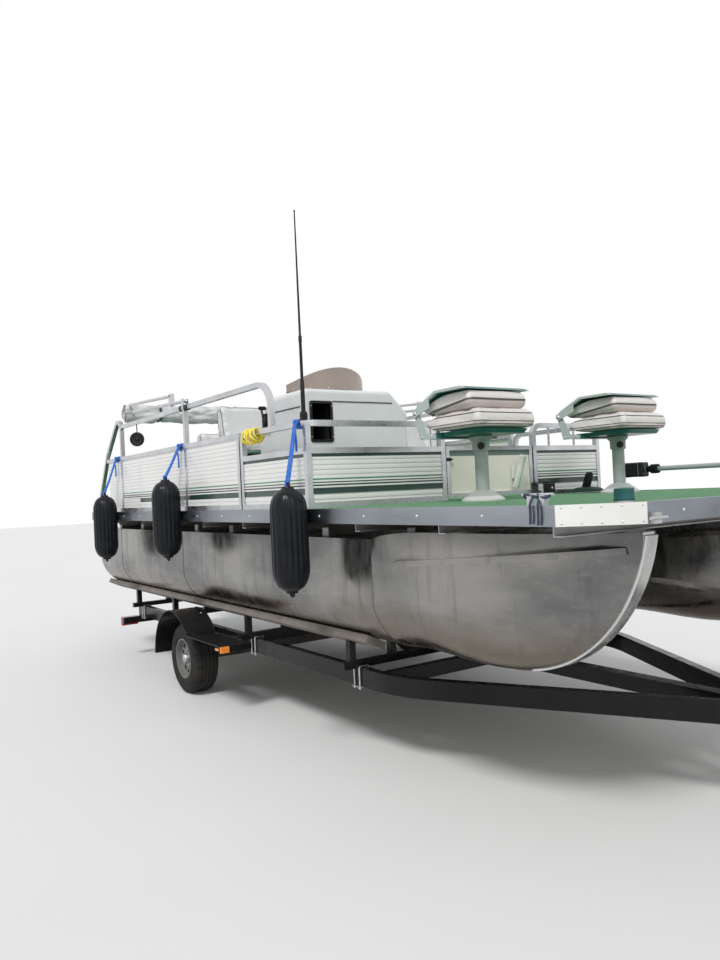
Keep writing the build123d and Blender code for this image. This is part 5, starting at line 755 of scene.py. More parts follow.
class Form:
    """Vertices and faces of one piece, gathered shape by shape."""

    def __init__(self) -> None:
        """Start empty."""
        self.verts: list[Vector] = []
        self.faces: list[tuple[int, ...]] = []

    def add(self, verts: Iterable[Vector], faces: Iterable[Sequence[int]]) -> "Form":
        """Add a shape.

        Args:
            verts: Its vertices.
            faces: Its faces, counted from its own first vertex.

        Returns:
            This form.
        """
        start = len(self.verts)
        self.verts.extend(Vector(vert) for vert in verts)
        self.faces.extend(tuple(start + index for index in face) for face in faces)
        return self

    def box(self, low: Sequence[float], high: Sequence[float]) -> "Form":
        """Add a box between two corners.

        Args:
            low: Lowest corner.
            high: Highest corner.

        Returns:
            This form.
        """
        pairs = list(zip(low, high))
        verts = [Vector((x, y, z)) for x in pairs[0] for y in pairs[1] for z in pairs[2]]
        faces = [(0, 1, 3, 2), (4, 6, 7, 5), (0, 4, 5, 1), (2, 3, 7, 6), (0, 2, 6, 4), (1, 5, 7, 3)]
        return self.add(verts, faces)

    def loft(self, rings: Sequence[Sequence[Vector]], closed: bool = False, capped: bool = True) -> "Form":
        """Skin rings of equal count.

        Args:
            rings: Closed rings of points.
            closed: True if the last ring joins the first.
            capped: True to close the two ends.

        Returns:
            This form.
        """
        count, size = len(rings), len(rings[0])
        verts = [point for ring in rings for point in ring]
        faces: list[tuple[int, ...]] = []
        for index in range(count if closed else count - 1):
            one, two = index * size, (index + 1) % count * size
            for side in range(size):
                after = (side + 1) % size
                faces.append((one + side, one + after, two + after, two + side))
        if capped and not closed:
            faces += [tuple(reversed(range(size))), tuple(range((count - 1) * size, count * size))]
        return self.add(verts, faces)

    def tube(
        self, points: Sequence[Vector], radius: float | Sequence[float], sides: int = 12, closed: bool = False
    ) -> "Form":
        """Add a round tube along points.

        Args:
            points: The line to follow.
            radius: One radius, or one for each point.
            sides: Sides of the section.
            closed: True for a loop.

        Returns:
            This form.
        """
        count = len(points)
        radii = [radius] * count if isinstance(radius, (int, float)) else list(radius)
        across: Optional[Vector] = None
        rings = []
        for index, point in enumerate(points):
            after = points[(index + 1) % count] if closed or index < count - 1 else point
            before = points[index - 1] if closed or index > 0 else point
            run = (after - before).normalized()
            across = run.orthogonal() if across is None else across - run * across.dot(run)
            across.normalize()
            up = run.cross(across)
            rings.append([
                point + (across * math.cos(turn) + up * math.sin(turn)) * radii[index]
                for turn in turns(sides)
            ])
        return self.loft(rings, closed)

    def rod(
        self, start: Vector, end: Vector, radius: float, sides: int = 20, chamfer: float = 0.0
    ) -> "Form":
        """Add a round rod.

        Args:
            start: One end.
            end: Other end.
            radius: Its radius.
            sides: Sides of the section.
            chamfer: Chamfer at both ends.

        Returns:
            This form.
        """
        start, end = Vector(start), Vector(end)
        if not chamfer:
            return self.tube((start, end), radius, sides)
        step = (end - start).normalized() * chamfer
        radii = (radius - chamfer, radius, radius, radius - chamfer)
        return self.tube((start, start + step, end - step, end), radii, sides)

    def lathe(self, profile: Sequence[Pair], centre: Vector, axis: Vector, sides: int = 48) -> "Form":
        """Turn a profile round an axis.

        Args:
            profile: Pairs of distance along the axis and radius.
            centre: Where the axis starts.
            axis: Its direction.
            sides: Number of sides.

        Returns:
            This form.
        """
        axis = Vector(axis).normalized()
        across = axis.orthogonal().normalized()
        up = axis.cross(across)
        rings = [
            [
                centre + axis * along + (across * math.cos(turn) + up * math.sin(turn)) * max(radius, 1e-5)
                for turn in turns(sides)
            ]
            for along, radius in profile
        ]
        return self.loft(rings)

    def prism(
        self, outline: Sequence[Pair], origin: Vector, across: Vector, up: Vector, depth: float
    ) -> "Form":
        """Push a flat outline along its normal.

        Args:
            outline: Points in the plane.
            origin: The plane's origin.
            across: First direction.
            up: Second direction.
            depth: Thickness along the normal.

        Returns:
            This form.
        """
        across, up = Vector(across).normalized(), Vector(up).normalized()
        normal = across.cross(up) * depth
        base = [origin + across * one + up * two for one, two in outline]
        return self.loft([base, [point + normal for point in base]])

    def rivets(self, places: Iterable[Vector], normal: Vector, radius: float, rise: float) -> "Form":
        """Add low domed heads.

        Args:
            places: Centres on the surface.
            normal: The surface's direction.
            radius: Head radius.
            rise: Head height.

        Returns:
            This form.
        """
        dome = ((-0.0005, radius), (rise * 0.5, radius * 0.86), (rise, radius * 0.4), (rise * 1.08, 0.0))
        for place in places:
            self.lathe(dome, place, normal, 10)
        return self


@dataclass
class Yard:
    """Turns forms into pieces and keeps count of them."""

    count: int = 0
    triangles: int = 0

    def piece(
        self,
        name: str,
        form: Form,
        finish: Finish,
        body: str = HULL_BODY,
        bevel: float = 0.0,
        smooth: float = 40.0,
        replaces: Sequence[str] = (),
    ) -> bpy.types.Object:
        """Make a piece that rides on a body.

        Args:
            name: Piece name.
            form: Its mesh.
            finish: Its finish.
            body: The body it rides on.
            bevel: Edge rounding in metres.
            smooth: Largest angle shaded smooth, in degrees.
            replaces: Nodes that it stands for.

        Returns:
            The new object.
        """
        mesh = bpy.data.meshes.new(name)
        mesh.from_pydata([tuple(vert) for vert in form.verts], [], form.faces)
        mesh.validate()
        mesh.update()
        made = bpy.data.objects.new(name, mesh)
        bpy.context.scene.collection.objects.link(made)
        self.tidy(made)
        mesh.materials.append(PALETTE.material(finish))
        if bevel:
            self.soften(made, bevel)
        self.shade(made, smooth)
        self.mount(made, body, replaces)
        return made

    def tidy(self, made: bpy.types.Object) -> None:
        """Make the mesh's normals point out.

        Args:
            made: The object.
        """
        work = bmesh.new()
        work.from_mesh(made.data)
        bmesh.ops.recalc_face_normals(work, faces=work.faces)
        work.to_mesh(made.data)
        work.free()

    def bake(self, made: bpy.types.Object) -> None:
        """Apply every modifier of an object.

        Args:
            made: The object.
        """
        graph = bpy.context.evaluated_depsgraph_get()
        mesh = bpy.data.meshes.new_from_object(made.evaluated_get(graph))
        made.modifiers.clear()
        made.data = mesh

    def soften(self, made: bpy.types.Object, width: float) -> None:
        """Round an object's edges.

        Args:
            made: The object.
            width: Rounding in metres.
        """
        edge = made.modifiers.new("edges", "BEVEL")
        edge.width = width
        edge.segments = 2
        edge.limit_method = "ANGLE"
        edge.angle_limit = math.radians(38)
        edge.harden_normals = True

    def shade(self, made: bpy.types.Object, angle: float) -> None:
        """Shade smooth up to an angle.

        Args:
            made: The object.
            angle: Angle in degrees.
        """
        made.data.set_sharp_from_angle(angle=math.radians(angle))
        for face in made.data.polygons:
            face.use_smooth = True

    def mount(
        self, made: bpy.types.Object, body: str, replaces: Sequence[str] = ()
    ) -> None:
        """Fix a piece to its body and count it.

        Args:
            made: The object.
            body: The body it rides on.
            replaces: Nodes that it stands for.
        """
        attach(made, body)
        if replaces:
            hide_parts(*replaces)
        self.count += 1
        self.triangles += sum(len(face.vertices) - 2 for face in made.data.polygons)

    def dress(self, node: str, finish: Finish, bevel: float = 0.0) -> None:
        """Give a frame node its finish and softer edges.

        Args:
            node: Node name.
            finish: Its finish.
            bevel: Edge rounding in metres.
        """
        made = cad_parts[node]
        made.data.materials.clear()
        made.data.materials.append(PALETTE.material(finish))
        if bevel:
            self.soften(made, bevel)


YARD = Yard()


def rounded(corners: Sequence[Pair], reach: float | Sequence[float]) -> list[Pair]:
    """Round the corners of a closed outline.

    Args:
        corners: The outline's corners.
        reach: How far each rounding starts from its corner, one for all or one for each.

    Returns:
        The rounded outline.
    """
    out: list[Pair] = []
    for index, corner in enumerate(corners):
        here = Vector(corner)
        back = Vector(corners[index - 1]) - here
        on = Vector(corners[(index + 1) % len(corners)]) - here
        length = reach if isinstance(reach, (int, float)) else reach[index]
        start = here + back.normalized() * min(length, back.length * 0.48)
        end = here + on.normalized() * min(length, on.length * 0.48)
        for share in (0.0, 0.25, 0.5, 0.75, 1.0):
            out.append(tuple(start * (1 - share) ** 2 + here * 2 * share * (1 - share) + end * share**2))
    return out


def oblong(low: Pair, high: Pair, reach: float | Sequence[float]) -> list[Pair]:
    """Give an upright rectangle between two corners, with its corners rounded."""
    return rounded([low, (high[0], low[1]), high, (low[0], high[1])], reach)


def struck(node: str, start: Vector, run: Vector) -> Optional[Vector]:
    """Find where a ray first meets a frame node, or None where it misses."""
    found, spot, _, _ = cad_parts[node].ray_cast(start, run)
    return spot if found else None


def spaced(points: Sequence[Vector], step: float, closed: bool = False) -> list[Vector]:
    """Place points evenly along a line.

    Args:
        points: The line.
        step: Wanted distance between points.
        closed: True for a loop.

    Returns:
        The even points.
    """
    line = list(points) + ([points[0]] if closed else [])
    lengths = [(after - before).length for before, after in zip(line, line[1:])]
    total = sum(lengths)
    count = max(3, round(total / step))
    out, run, index = [], 0.0, 0
    for number in range(count if closed else count + 1):
        wanted = total * number / count
        while index < len(lengths) - 1 and run + lengths[index] < wanted:
            run += lengths[index]
            index += 1
        share = (wanted - run) / max(lengths[index], 1e-9)
        out.append(line[index].lerp(line[index + 1], min(1.0, max(0.0, share))))
    return out


def sagging(start: Vector, end: Vector, sag: float) -> list[Vector]:
    """Give the line of a rope that hangs a little between two places."""
    shares = [step / 14 for step in range(15)]
    return [start.lerp(end, share) - Vector((0, 0, 4 * sag * share * (1 - share))) for share in shares]


@dataclass
class Rope:
    """Laid rope, made of strands that wind round a line."""

    radius: float = 0.0055
    strands: int = 3
    lay: float = 0.030

    def add(self, form: Form, points: Sequence[Vector], closed: bool = False) -> None:
        """Add the strands along a line.

        Args:
            form: The form that takes them.
            points: The rope's line.
            closed: True for a loop.
        """
        line = spaced(points, self.lay / 7, closed)
        thick = self.radius * 0.56
        across = (line[1] - line[0]).orthogonal().normalized()
        frames = []
        for index, point in enumerate(line):
            after = line[(index + 1) % len(line)] if closed or index < len(line) - 1 else point
            before = line[index - 1] if closed or index else point
            run = (after - before).normalized()
            across = (across - run * across.dot(run)).normalized()
            frames.append((point, across.copy(), run.cross(across)))
        rounds = len(line) / 7
        rounds = max(1, round(rounds)) if closed else rounds
        for strand in range(self.strands):
            path = []
            for index, (point, side, up) in enumerate(frames):
                angle = math.tau * (rounds * index / len(line) + strand / self.strands)
                path.append(point + (side * math.cos(angle) + up * math.sin(angle)) * (self.radius - thick))
            form.tube(path, thick, 6, closed)


@dataclass
class Pad:
    """One cushion: an outline in the boat's side view, pushed to its width."""

    name: str
    node: str
    body: str
    finish: Finish
    outline: Sequence[Pair]
    span: Pair
    lean: Place = (0.0, 0.0, -1.0)
    cap: float = 0.012
    voxel: float = 0.009
    round: float = 26.0
    inset: float = 5.0
    fill: float = 0.7
    made: Optional[bpy.types.Object] = None

    def middle(self) -> Pair:
        """Middle of the outline in millimetres."""
        along, rise = zip(*self.outline)
        return (min(along) + max(along)) / 2, (min(rise) + max(rise)) / 2

    def start(self) -> None:
        """Make the closed and remeshed starting shape, a little smaller than the pad."""
        middle_x, middle_z = self.middle()
        half_x = max(point[0] for point in self.outline) - middle_x
        half_z = max(point[1] for point in self.outline) - middle_z
        low, high = self.span
        rings = []
        steps = [math.radians(angle) for angle in (0, 22, 45, 68, 90)]
        ends = [(low, 1, turn) for turn in steps] + [(high, -1, turn) for turn in reversed(steps)]
        for edge, side, turn in ends:
            shrink = self.inset + self.round * (1 - math.sin(turn))
            y = edge + side * (self.inset + self.round * (1 - math.cos(turn)))
            rings.append([
                at(
                    middle_x + (x - middle_x) * (1 - shrink / half_x),
                    y,
                    middle_z + (z - middle_z) * (1 - shrink / half_z),
                )
                for x, z in self.outline
            ])
        form = Form().loft(rings)
        mesh = bpy.data.meshes.new(self.name)
        mesh.from_pydata([tuple(vert) for vert in form.verts], [], form.faces)
        made = bpy.data.objects.new(self.name, mesh)
        bpy.context.scene.collection.objects.link(made)
        YARD.tidy(made)
        remesh = made.modifiers.new("even", "REMESH")
        remesh.mode = "VOXEL"
        remesh.voxel_size = self.voxel
        YARD.bake(made)
        smooth = made.modifiers.new("smooth", "SMOOTH")
        smooth.factor = 0.5
        smooth.iterations = 3
        YARD.bake(made)
        self.made = made

    def held(self, vert: bpy.types.MeshVertex) -> bool:
        """True where the pad rests on its shell or base."""
        return Vector(vert.normal).dot(Vector(self.lean)) > 0.85


@dataclass
class Upholstery:
    """Blows up every cushion in one run of the cloth solver and sews it."""

    pressure: float = 4.0
    frames: int = 20
    mass: float = 0.3
    stiffness: float = 12.0
    bending: float = 1.2
    stitch: float = 0.007

    def puff(self, pads: Sequence[Pad]) -> None:
        """Blow up the pads.

        Args:
            pads: The pads to swell.
        """
        for pad in pads:
            pad.start()
        self.solve(pads)
        for pad in pads:
            levels = pad.made.modifiers.new("rounding", "SUBSURF")
            levels.levels = levels.render_levels = 1
            YARD.bake(pad.made)
            pad.made.data.materials.clear()
            pad.made.data.materials.append(PALETTE.material(pad.finish))
            YARD.shade(pad.made, 180)
            YARD.mount(pad.made, pad.body, (pad.node,))

    def solve(self, pads: Sequence[Pad]) -> None:
        """Run the cloth solver with pressure and no gravity, and cap how far each point moves.

        Args:
            pads: The pads to swell.
        """
        scene = bpy.context.scene
        scene.frame_start, scene.frame_end = 1, self.frames
        scene.frame_set(1)
        for pad in pads:
            group = pad.made.vertex_groups.new(name="held")
            group.add([vert.index for vert in pad.made.data.vertices if pad.held(vert)], 1.0, "REPLACE")
            cloth = pad.made.modifiers.new("puff", "CLOTH")
            settings = cloth.settings
            settings.quality = 4
            settings.mass = self.mass
            settings.tension_stiffness = settings.compression_stiffness = self.stiffness
            settings.bending_stiffness = self.bending
            settings.use_pressure = True
            settings.uniform_pressure_force = self.pressure
            settings.effector_weights.gravity = 0.0
            settings.vertex_group_mass = "held"
            cloth.collision_settings.use_collision = False
            cloth.point_cache.frame_start, cloth.point_cache.frame_end = 1, self.frames
        for frame_number in range(1, self.frames + 1):
            scene.frame_set(frame_number)
        graph = bpy.context.evaluated_depsgraph_get()
        for pad in pads:
            swollen = pad.made.evaluated_get(graph).to_mesh()
            places = [vert.co.copy() for vert in swollen.vertices]
            pad.made.evaluated_get(graph).to_mesh_clear()
            for vert, place in zip(pad.made.data.vertices, places):
                move = place - vert.co
                vert.co += move * min(1.0, pad.cap / max(move.length, 1e-9))
            pad.made.modifiers.clear()
            pad.made.vertex_groups.clear()
        scene.frame_set(1)

    def contour(self, pad: Pad, point: Vector, normal: Vector) -> list[Vector]:
        """Find the longest loop where a plane meets a pad.

        Args:
            pad: The finished pad.
            point: A point of the plane.
            normal: The plane's normal.

        Returns:
            The loop's points, evenly spaced.
        """
        work = bmesh.new()
        work.from_mesh(pad.made.data)
        cut = bmesh.ops.bisect_plane(
            work, geom=work.verts[:] + work.edges[:] + work.faces[:], plane_co=point, plane_no=normal
        )["geom_cut"]
        links: dict[int, list[int]] = {}
        places: dict[int, Vector] = {}
        for edge in (item for item in cut if isinstance(item, bmesh.types.BMEdge)):
            one, two = edge.verts
            for here, there in ((one, two), (two, one)):
                links.setdefault(here.index, []).append(there.index)
                places[here.index] = here.co.copy()
        work.free()
        best: list[Vector] = []
        unused = set(links)
        while unused:
            here = unused.pop()
            loop = [here]
            while True:
                onward = [index for index in links[here] if index in unused]
                if not onward:
                    break
                here = onward[0]
                unused.discard(here)
                loop.append(here)
            if len(loop) > len(best):
                best = [places[index] for index in loop]
        line = spaced(best, self.stitch, True)
        for _ in range(3):
            after = line[1:] + line[:1]
            line = [(line[index - 1] + line[index] * 2 + after[index]) / 4 for index in range(len(line))]
        return line

    def welt(self, form: Form, pad: Pad, point: Vector, normal: Vector, radius: float = 0.0032) -> None:
        """Add piping to a form where a plane meets a pad."""
        form.tube(self.contour(pad, point, normal), radius, 8, True)


class Hull:
    """Pontoons, cross channels and the deck's board."""

    def build(self) -> None:
        """Dress the pontoons, the channels and the board."""
        YARD.dress("pontoons", Palette.HULL)
        YARD.dress("cross_channels", Palette.CHANNEL, 0.002)
        YARD.dress("deck_board", Palette.WOOD)
        LOG.info("hull dressed")


@dataclass
class Deck:
    """Turf, edge rail, corner plates, cleats and the bow light."""

    half: float = 1220.0
    length: float = 6050.0
    rail: float = 76.0
    plate_cut: float = 228.0
    bolt: Pair = (0.0075, 0.0035)
    rivet: Pair = (0.0045, 0.002)
    rope: float = 0.0055
    cleat: Pair = (5740.0, -1206.0)
    light: Pair = (5960.0, -1010.0)

    def build(self) -> None:
        """Dress the deck nodes and add their rivets, bolts and rope."""
        YARD.dress("deck_turf", Palette.TURF)
        YARD.dress("deck_rail", Palette.EDGE, 0.0015)
        YARD.dress("bow_corner_plates", Palette.WHITE, 0.001)
        YARD.dress("deck_fittings", Palette.STEEL, 0.002)
        self.rail_bolts()
        self.plate_rivets()
        self.hitch()
        self.bow_light()
        LOG.info("deck dressed")

    def rail_bolts(self) -> None:
        """Add the bolt heads along both sides of the edge rail."""
        form = Form()
        for side in (-1, 1):
            places = [at(x, side * self.half, -self.rail / 2) for x in range(180, 5700, 406)]
            form.rivets(places, Vector((0, side, 0)), *self.bolt)
        front = [at(self.length, y, -self.rail / 2) for y in range(-800, 801, 400)]
        form.rivets(front, AHEAD, *self.bolt)
        YARD.piece("rail_bolts", form, Palette.STEEL)

    def plate_rivets(self) -> None:
        """Add the rivets on the white plates of the two cut corners."""
        form = Form()
        low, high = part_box("bow_corner_plates")
        for side in (-1, 1):
            start = Vector((at(self.length, 0, 0).x - self.plate_cut / 1000, side * self.half / 1000, 0))
            end = Vector((at(self.length, 0, 0).x, side * (self.half - self.plate_cut) / 1000, 0))
            run = end - start
            normal = Vector((abs(run.y), side * abs(run.x), 0)).normalized()
            for share in (0.08, 0.29, 0.5, 0.71, 0.92):
                for height in (low[2] + 0.010, high[2] - 0.010):
                    place = start + run * share
                    place.z = height
                    form.rivets([self.skin(place, normal)], normal, *self.rivet)
        YARD.piece("plate_rivets", form, Palette.STEEL)

    def skin(self, place: Vector, normal: Vector) -> Vector:
        """Move a place onto the outside of the corner plates."""
        return struck("bow_corner_plates", place + normal * 0.2, -normal) or place

    def hitch(self) -> None:
        """Wind a dark rope round the starboard bow cleat."""
        x, y = self.cleat
        form = Form()
        line = []
        for turn in (math.tau * 2 * step / 96 for step in range(97)):
            wide = 62 * math.cos(turn) * (1 if abs(math.cos(turn)) > 0.3 else 0.8)
            line.append(at(x + wide, y + 13 * math.sin(turn * 2), 34 + 7 * math.sin(turn * 3 + 0.6)))
        rope = Rope(self.rope)
        rope.add(form, line)
        for shift, foot in ((-22, -66), (16, -70)):
            falls = ((0, 4, 34), (0, -10, 22), (3, -22, 6), (5, -24, -28), (2, -23, foot))
            fall = [at(x + shift + ahead, y + aside, z) for ahead, aside, z in falls]
            rope.add(form, spaced(fall, 0.010))
        YARD.piece("cleat_hitch", form, Palette.NAVY)

    def bow_light(self) -> None:
        """Add the teal cup of the starboard bow light."""
        x, y = self.light
        profile = (
            (0.0, 0.0355), (0.005, 0.0372), (0.010, 0.0355), (0.030, 0.0348), (0.042, 0.0345),
            (0.0445, 0.028), (0.0455, 0.012), (0.0455, 0.0),
        )
        form = Form().lathe(profile, at(x, y, 5), UP, 40)
        YARD.piece("bow_light_cup", form, Palette.CUP)


@dataclass
class Fences:
    """Fence frames, panels, gate and what is fixed to them."""

    y: float = 1179.0
    front_x: float = 4082.0
    tube: float = 32.0
    posts: tuple[int, ...] = (900, 2381, 3257, 4082)
    pivot: Pair = (2381.0, 740.0)
    foot_bolt: Pair = (0.006, 0.004)
    post_bolt: Pair = (0.005, 0.003)

    def build(self) -> None:
        """Dress the fences and add feet, clamps, hinges, latch and the loose fittings."""
        for node, bevel in (
            ("aft_fence_frames", 0.004), ("fore_fence_frames", 0.003), ("stern_fence_frame", 0.004),
            ("high_rails", 0.003), ("bow_gate", 0.003),
        ):
            YARD.dress(node, Palette.TUBE, bevel)
        YARD.dress("fence_panels", Palette.SHEET, 0.001)
        YARD.dress("bow_gate_panel", Palette.CREAM)
        self.feet()
        self.clamps()
        self.gate_fittings()
        self.rod_holder()
        self.pedal()
        self.battery_box()
        LOG.info("fences dressed")

    def feet(self) -> None:
        """Add the bolted angle feet under the posts."""
        form = Form()
        bolts = Form()
        for side in (-1, 1):
            for x in self.posts:
                y = side * (self.y - self.tube / 2 - 2)
                for wide, high in ((26, 9.5), (3, 40)):
                    ends = sorted((y, y - side * wide))
                    form.box(at(x - 14, ends[0], 6.5), at(x + 14, ends[1], high))
                bolts.rivets([at(x, y - side * 16, 9.5)], UP, *self.foot_bolt)
                bolts.rivets([at(x, y - side * 3, 28)], Vector((0, -side, 0)), *self.post_bolt)
        YARD.piece("fence_feet", form, Palette.TUBE, bevel=0.0008)
        YARD.piece("fence_foot_bolts", bolts, Palette.STEEL)

    def clamps(self) -> None:
        """Add the black rail clamps at the canopy pivots and the round disc on the rail."""
        form = Form()
        for side in (-1, 1):
            centre = at(self.pivot[0], side * self.y, self.pivot[1])
            for shift in (-0.045, 0.045):
                profile = ((-0.026, 0.020), (-0.024, 0.0235), (0.024, 0.0235), (0.026, 0.020))
                form.lathe(profile, centre + Vector((shift, 0, 0)), AHEAD, 28)
        YARD.piece("rail_clamps", form, Palette.BLACK)
        disc = Form()
        place = at(1300, -self.y + 2, 600)
        profile = (
            (0.0, 0.050), (0.004, 0.058), (0.012, 0.060), (0.020, 0.056), (0.022, 0.046), (0.016, 0.040),
            (0.014, 0.018), (0.022, 0.012), (0.024, 0.0),
        )
        disc.lathe(profile, place, Vector((0.86, -0.5, 0)), 44)
        disc.tube([place + Vector((0, 0, 0.05)), at(1300, -self.y, 724)], 0.004, 10)
        YARD.piece("round_reflector", disc, Palette.BLACK, bevel=0.001)

    def gate_fittings(self) -> None:
        """Add the barrels of the gate's hinges and its latch."""
        form = Form()
        barrel = ((-0.030, 0.006), (-0.028, 0.0075), (0.028, 0.0075), (0.030, 0.006))
        for z in (70, 270):
            form.lathe(barrel, at(self.front_x - 26, 532 - 2.5, z), UP, 20)
        YARD.piece("gate_hinge_barrels", form, Palette.STEEL, "gate")
        latch = Form()
        latch.box(at(self.front_x + 13, -212, 238), at(self.front_x + 18, -182, 258))
        latch.rod(at(self.front_x + 17, -211, 248), at(self.front_x + 17, -168, 248), 0.004, 16, 0.001)
        latch.lathe(
            ((0, 0.003), (0.003, 0.006), (0.007, 0.006), (0.009, 0.004)), at(self.front_x + 18, -190, 248),
            AHEAD, 20,
        )
        YARD.piece("gate_latch", latch, Palette.BLACK, "gate", 0.001)

    def rod_holder(self) -> None:
        """Add the white slanted tube on the gate and its bracket."""
        start, end = at(4116, 336, 58), at(4178, 352, 258)
        form = Form()
        profile = (
            (0.0, 0.0195), (0.004, 0.0215), (0.12, 0.0205), (0.200, 0.0205), (0.206, 0.0225),
            (0.2135, 0.0225), (0.2135, 0.018), (0.10, 0.0165), (0.004, 0.0165), (0.0, 0.0175),
        )
        form.lathe(profile, start, end - start, 36)
        form.box(at(4094, 326, 120), at(4108, 358, 200))
        YARD.piece("rod_holder", form, Palette.WHITE, "gate", 0.001)

    def pedal(self) -> None:
        """Add the upright foot pedal of the bow motor on its low base."""
        rings = []
        for rise, wide, deep in (
            (0.0, 0.132, 0.098), (0.010, 0.130, 0.096), (0.022, 0.112, 0.080), (0.030, 0.078, 0.056),
            (0.033, 0.040, 0.030),
        ):
            rings.append([
                at(4215, 900, 6.5) + Vector((deep * math.cos(turn), wide * math.sin(turn), rise))
                for turn in turns(56)
            ])
        YARD.piece("pedal_base", Form().loft(rings), Palette.DARK_GREEN, smooth=60)
        form = Form()
        outline = rounded(
            [(-0.034, 0.0), (0.034, 0.0), (0.030, 0.112), (-0.030, 0.112)], (0.010, 0.010, 0.026, 0.026)
        )
        lean = Vector((0.34, 0, 0.94)).normalized()
        form.prism(outline, at(4200, 900, 34), PORT, lean, 0.018)
        for step in range(6):
            here = at(4218, 900, 34) + lean * (0.022 + 0.015 * step) + Vector((0.002, 0, 0))
            half = Vector((0, 0.024, 0))
            form.rod(here - half, here + half, 0.0022, 8)
        YARD.piece("foot_pedal", form, Palette.BLACK, bevel=0.0012)

    def battery_box(self) -> None:
        """Add the black box with a lid beside the gate."""
        form = Form()
        x, y = 4160, 596
        base = oblong((-0.026, -0.032), (0.026, 0.032), 0.008)
        form.prism(base, at(x, y, 14), AHEAD, PORT, 0.060)
        lid = oblong((-0.030, -0.036), (0.030, 0.036), 0.010)
        form.prism(lid, at(x, y, 75), AHEAD, PORT, 0.012)
        for aside, across in ((-18, -24), (-18, 24), (18, -24), (18, 24)):
            form.rod(at(x + aside, y + across, 6), at(x + aside, y + across, 15), 0.006, 12)
        YARD.piece("black_box", form, Palette.BLACK, bevel=0.002)
        spot = Form().lathe(((0, 0.007), (0.002, 0.0065), (0.003, 0.0)), at(x + 26, y, 46), AHEAD, 24)
        YARD.piece("black_box_socket", spot, Palette.WHITE)


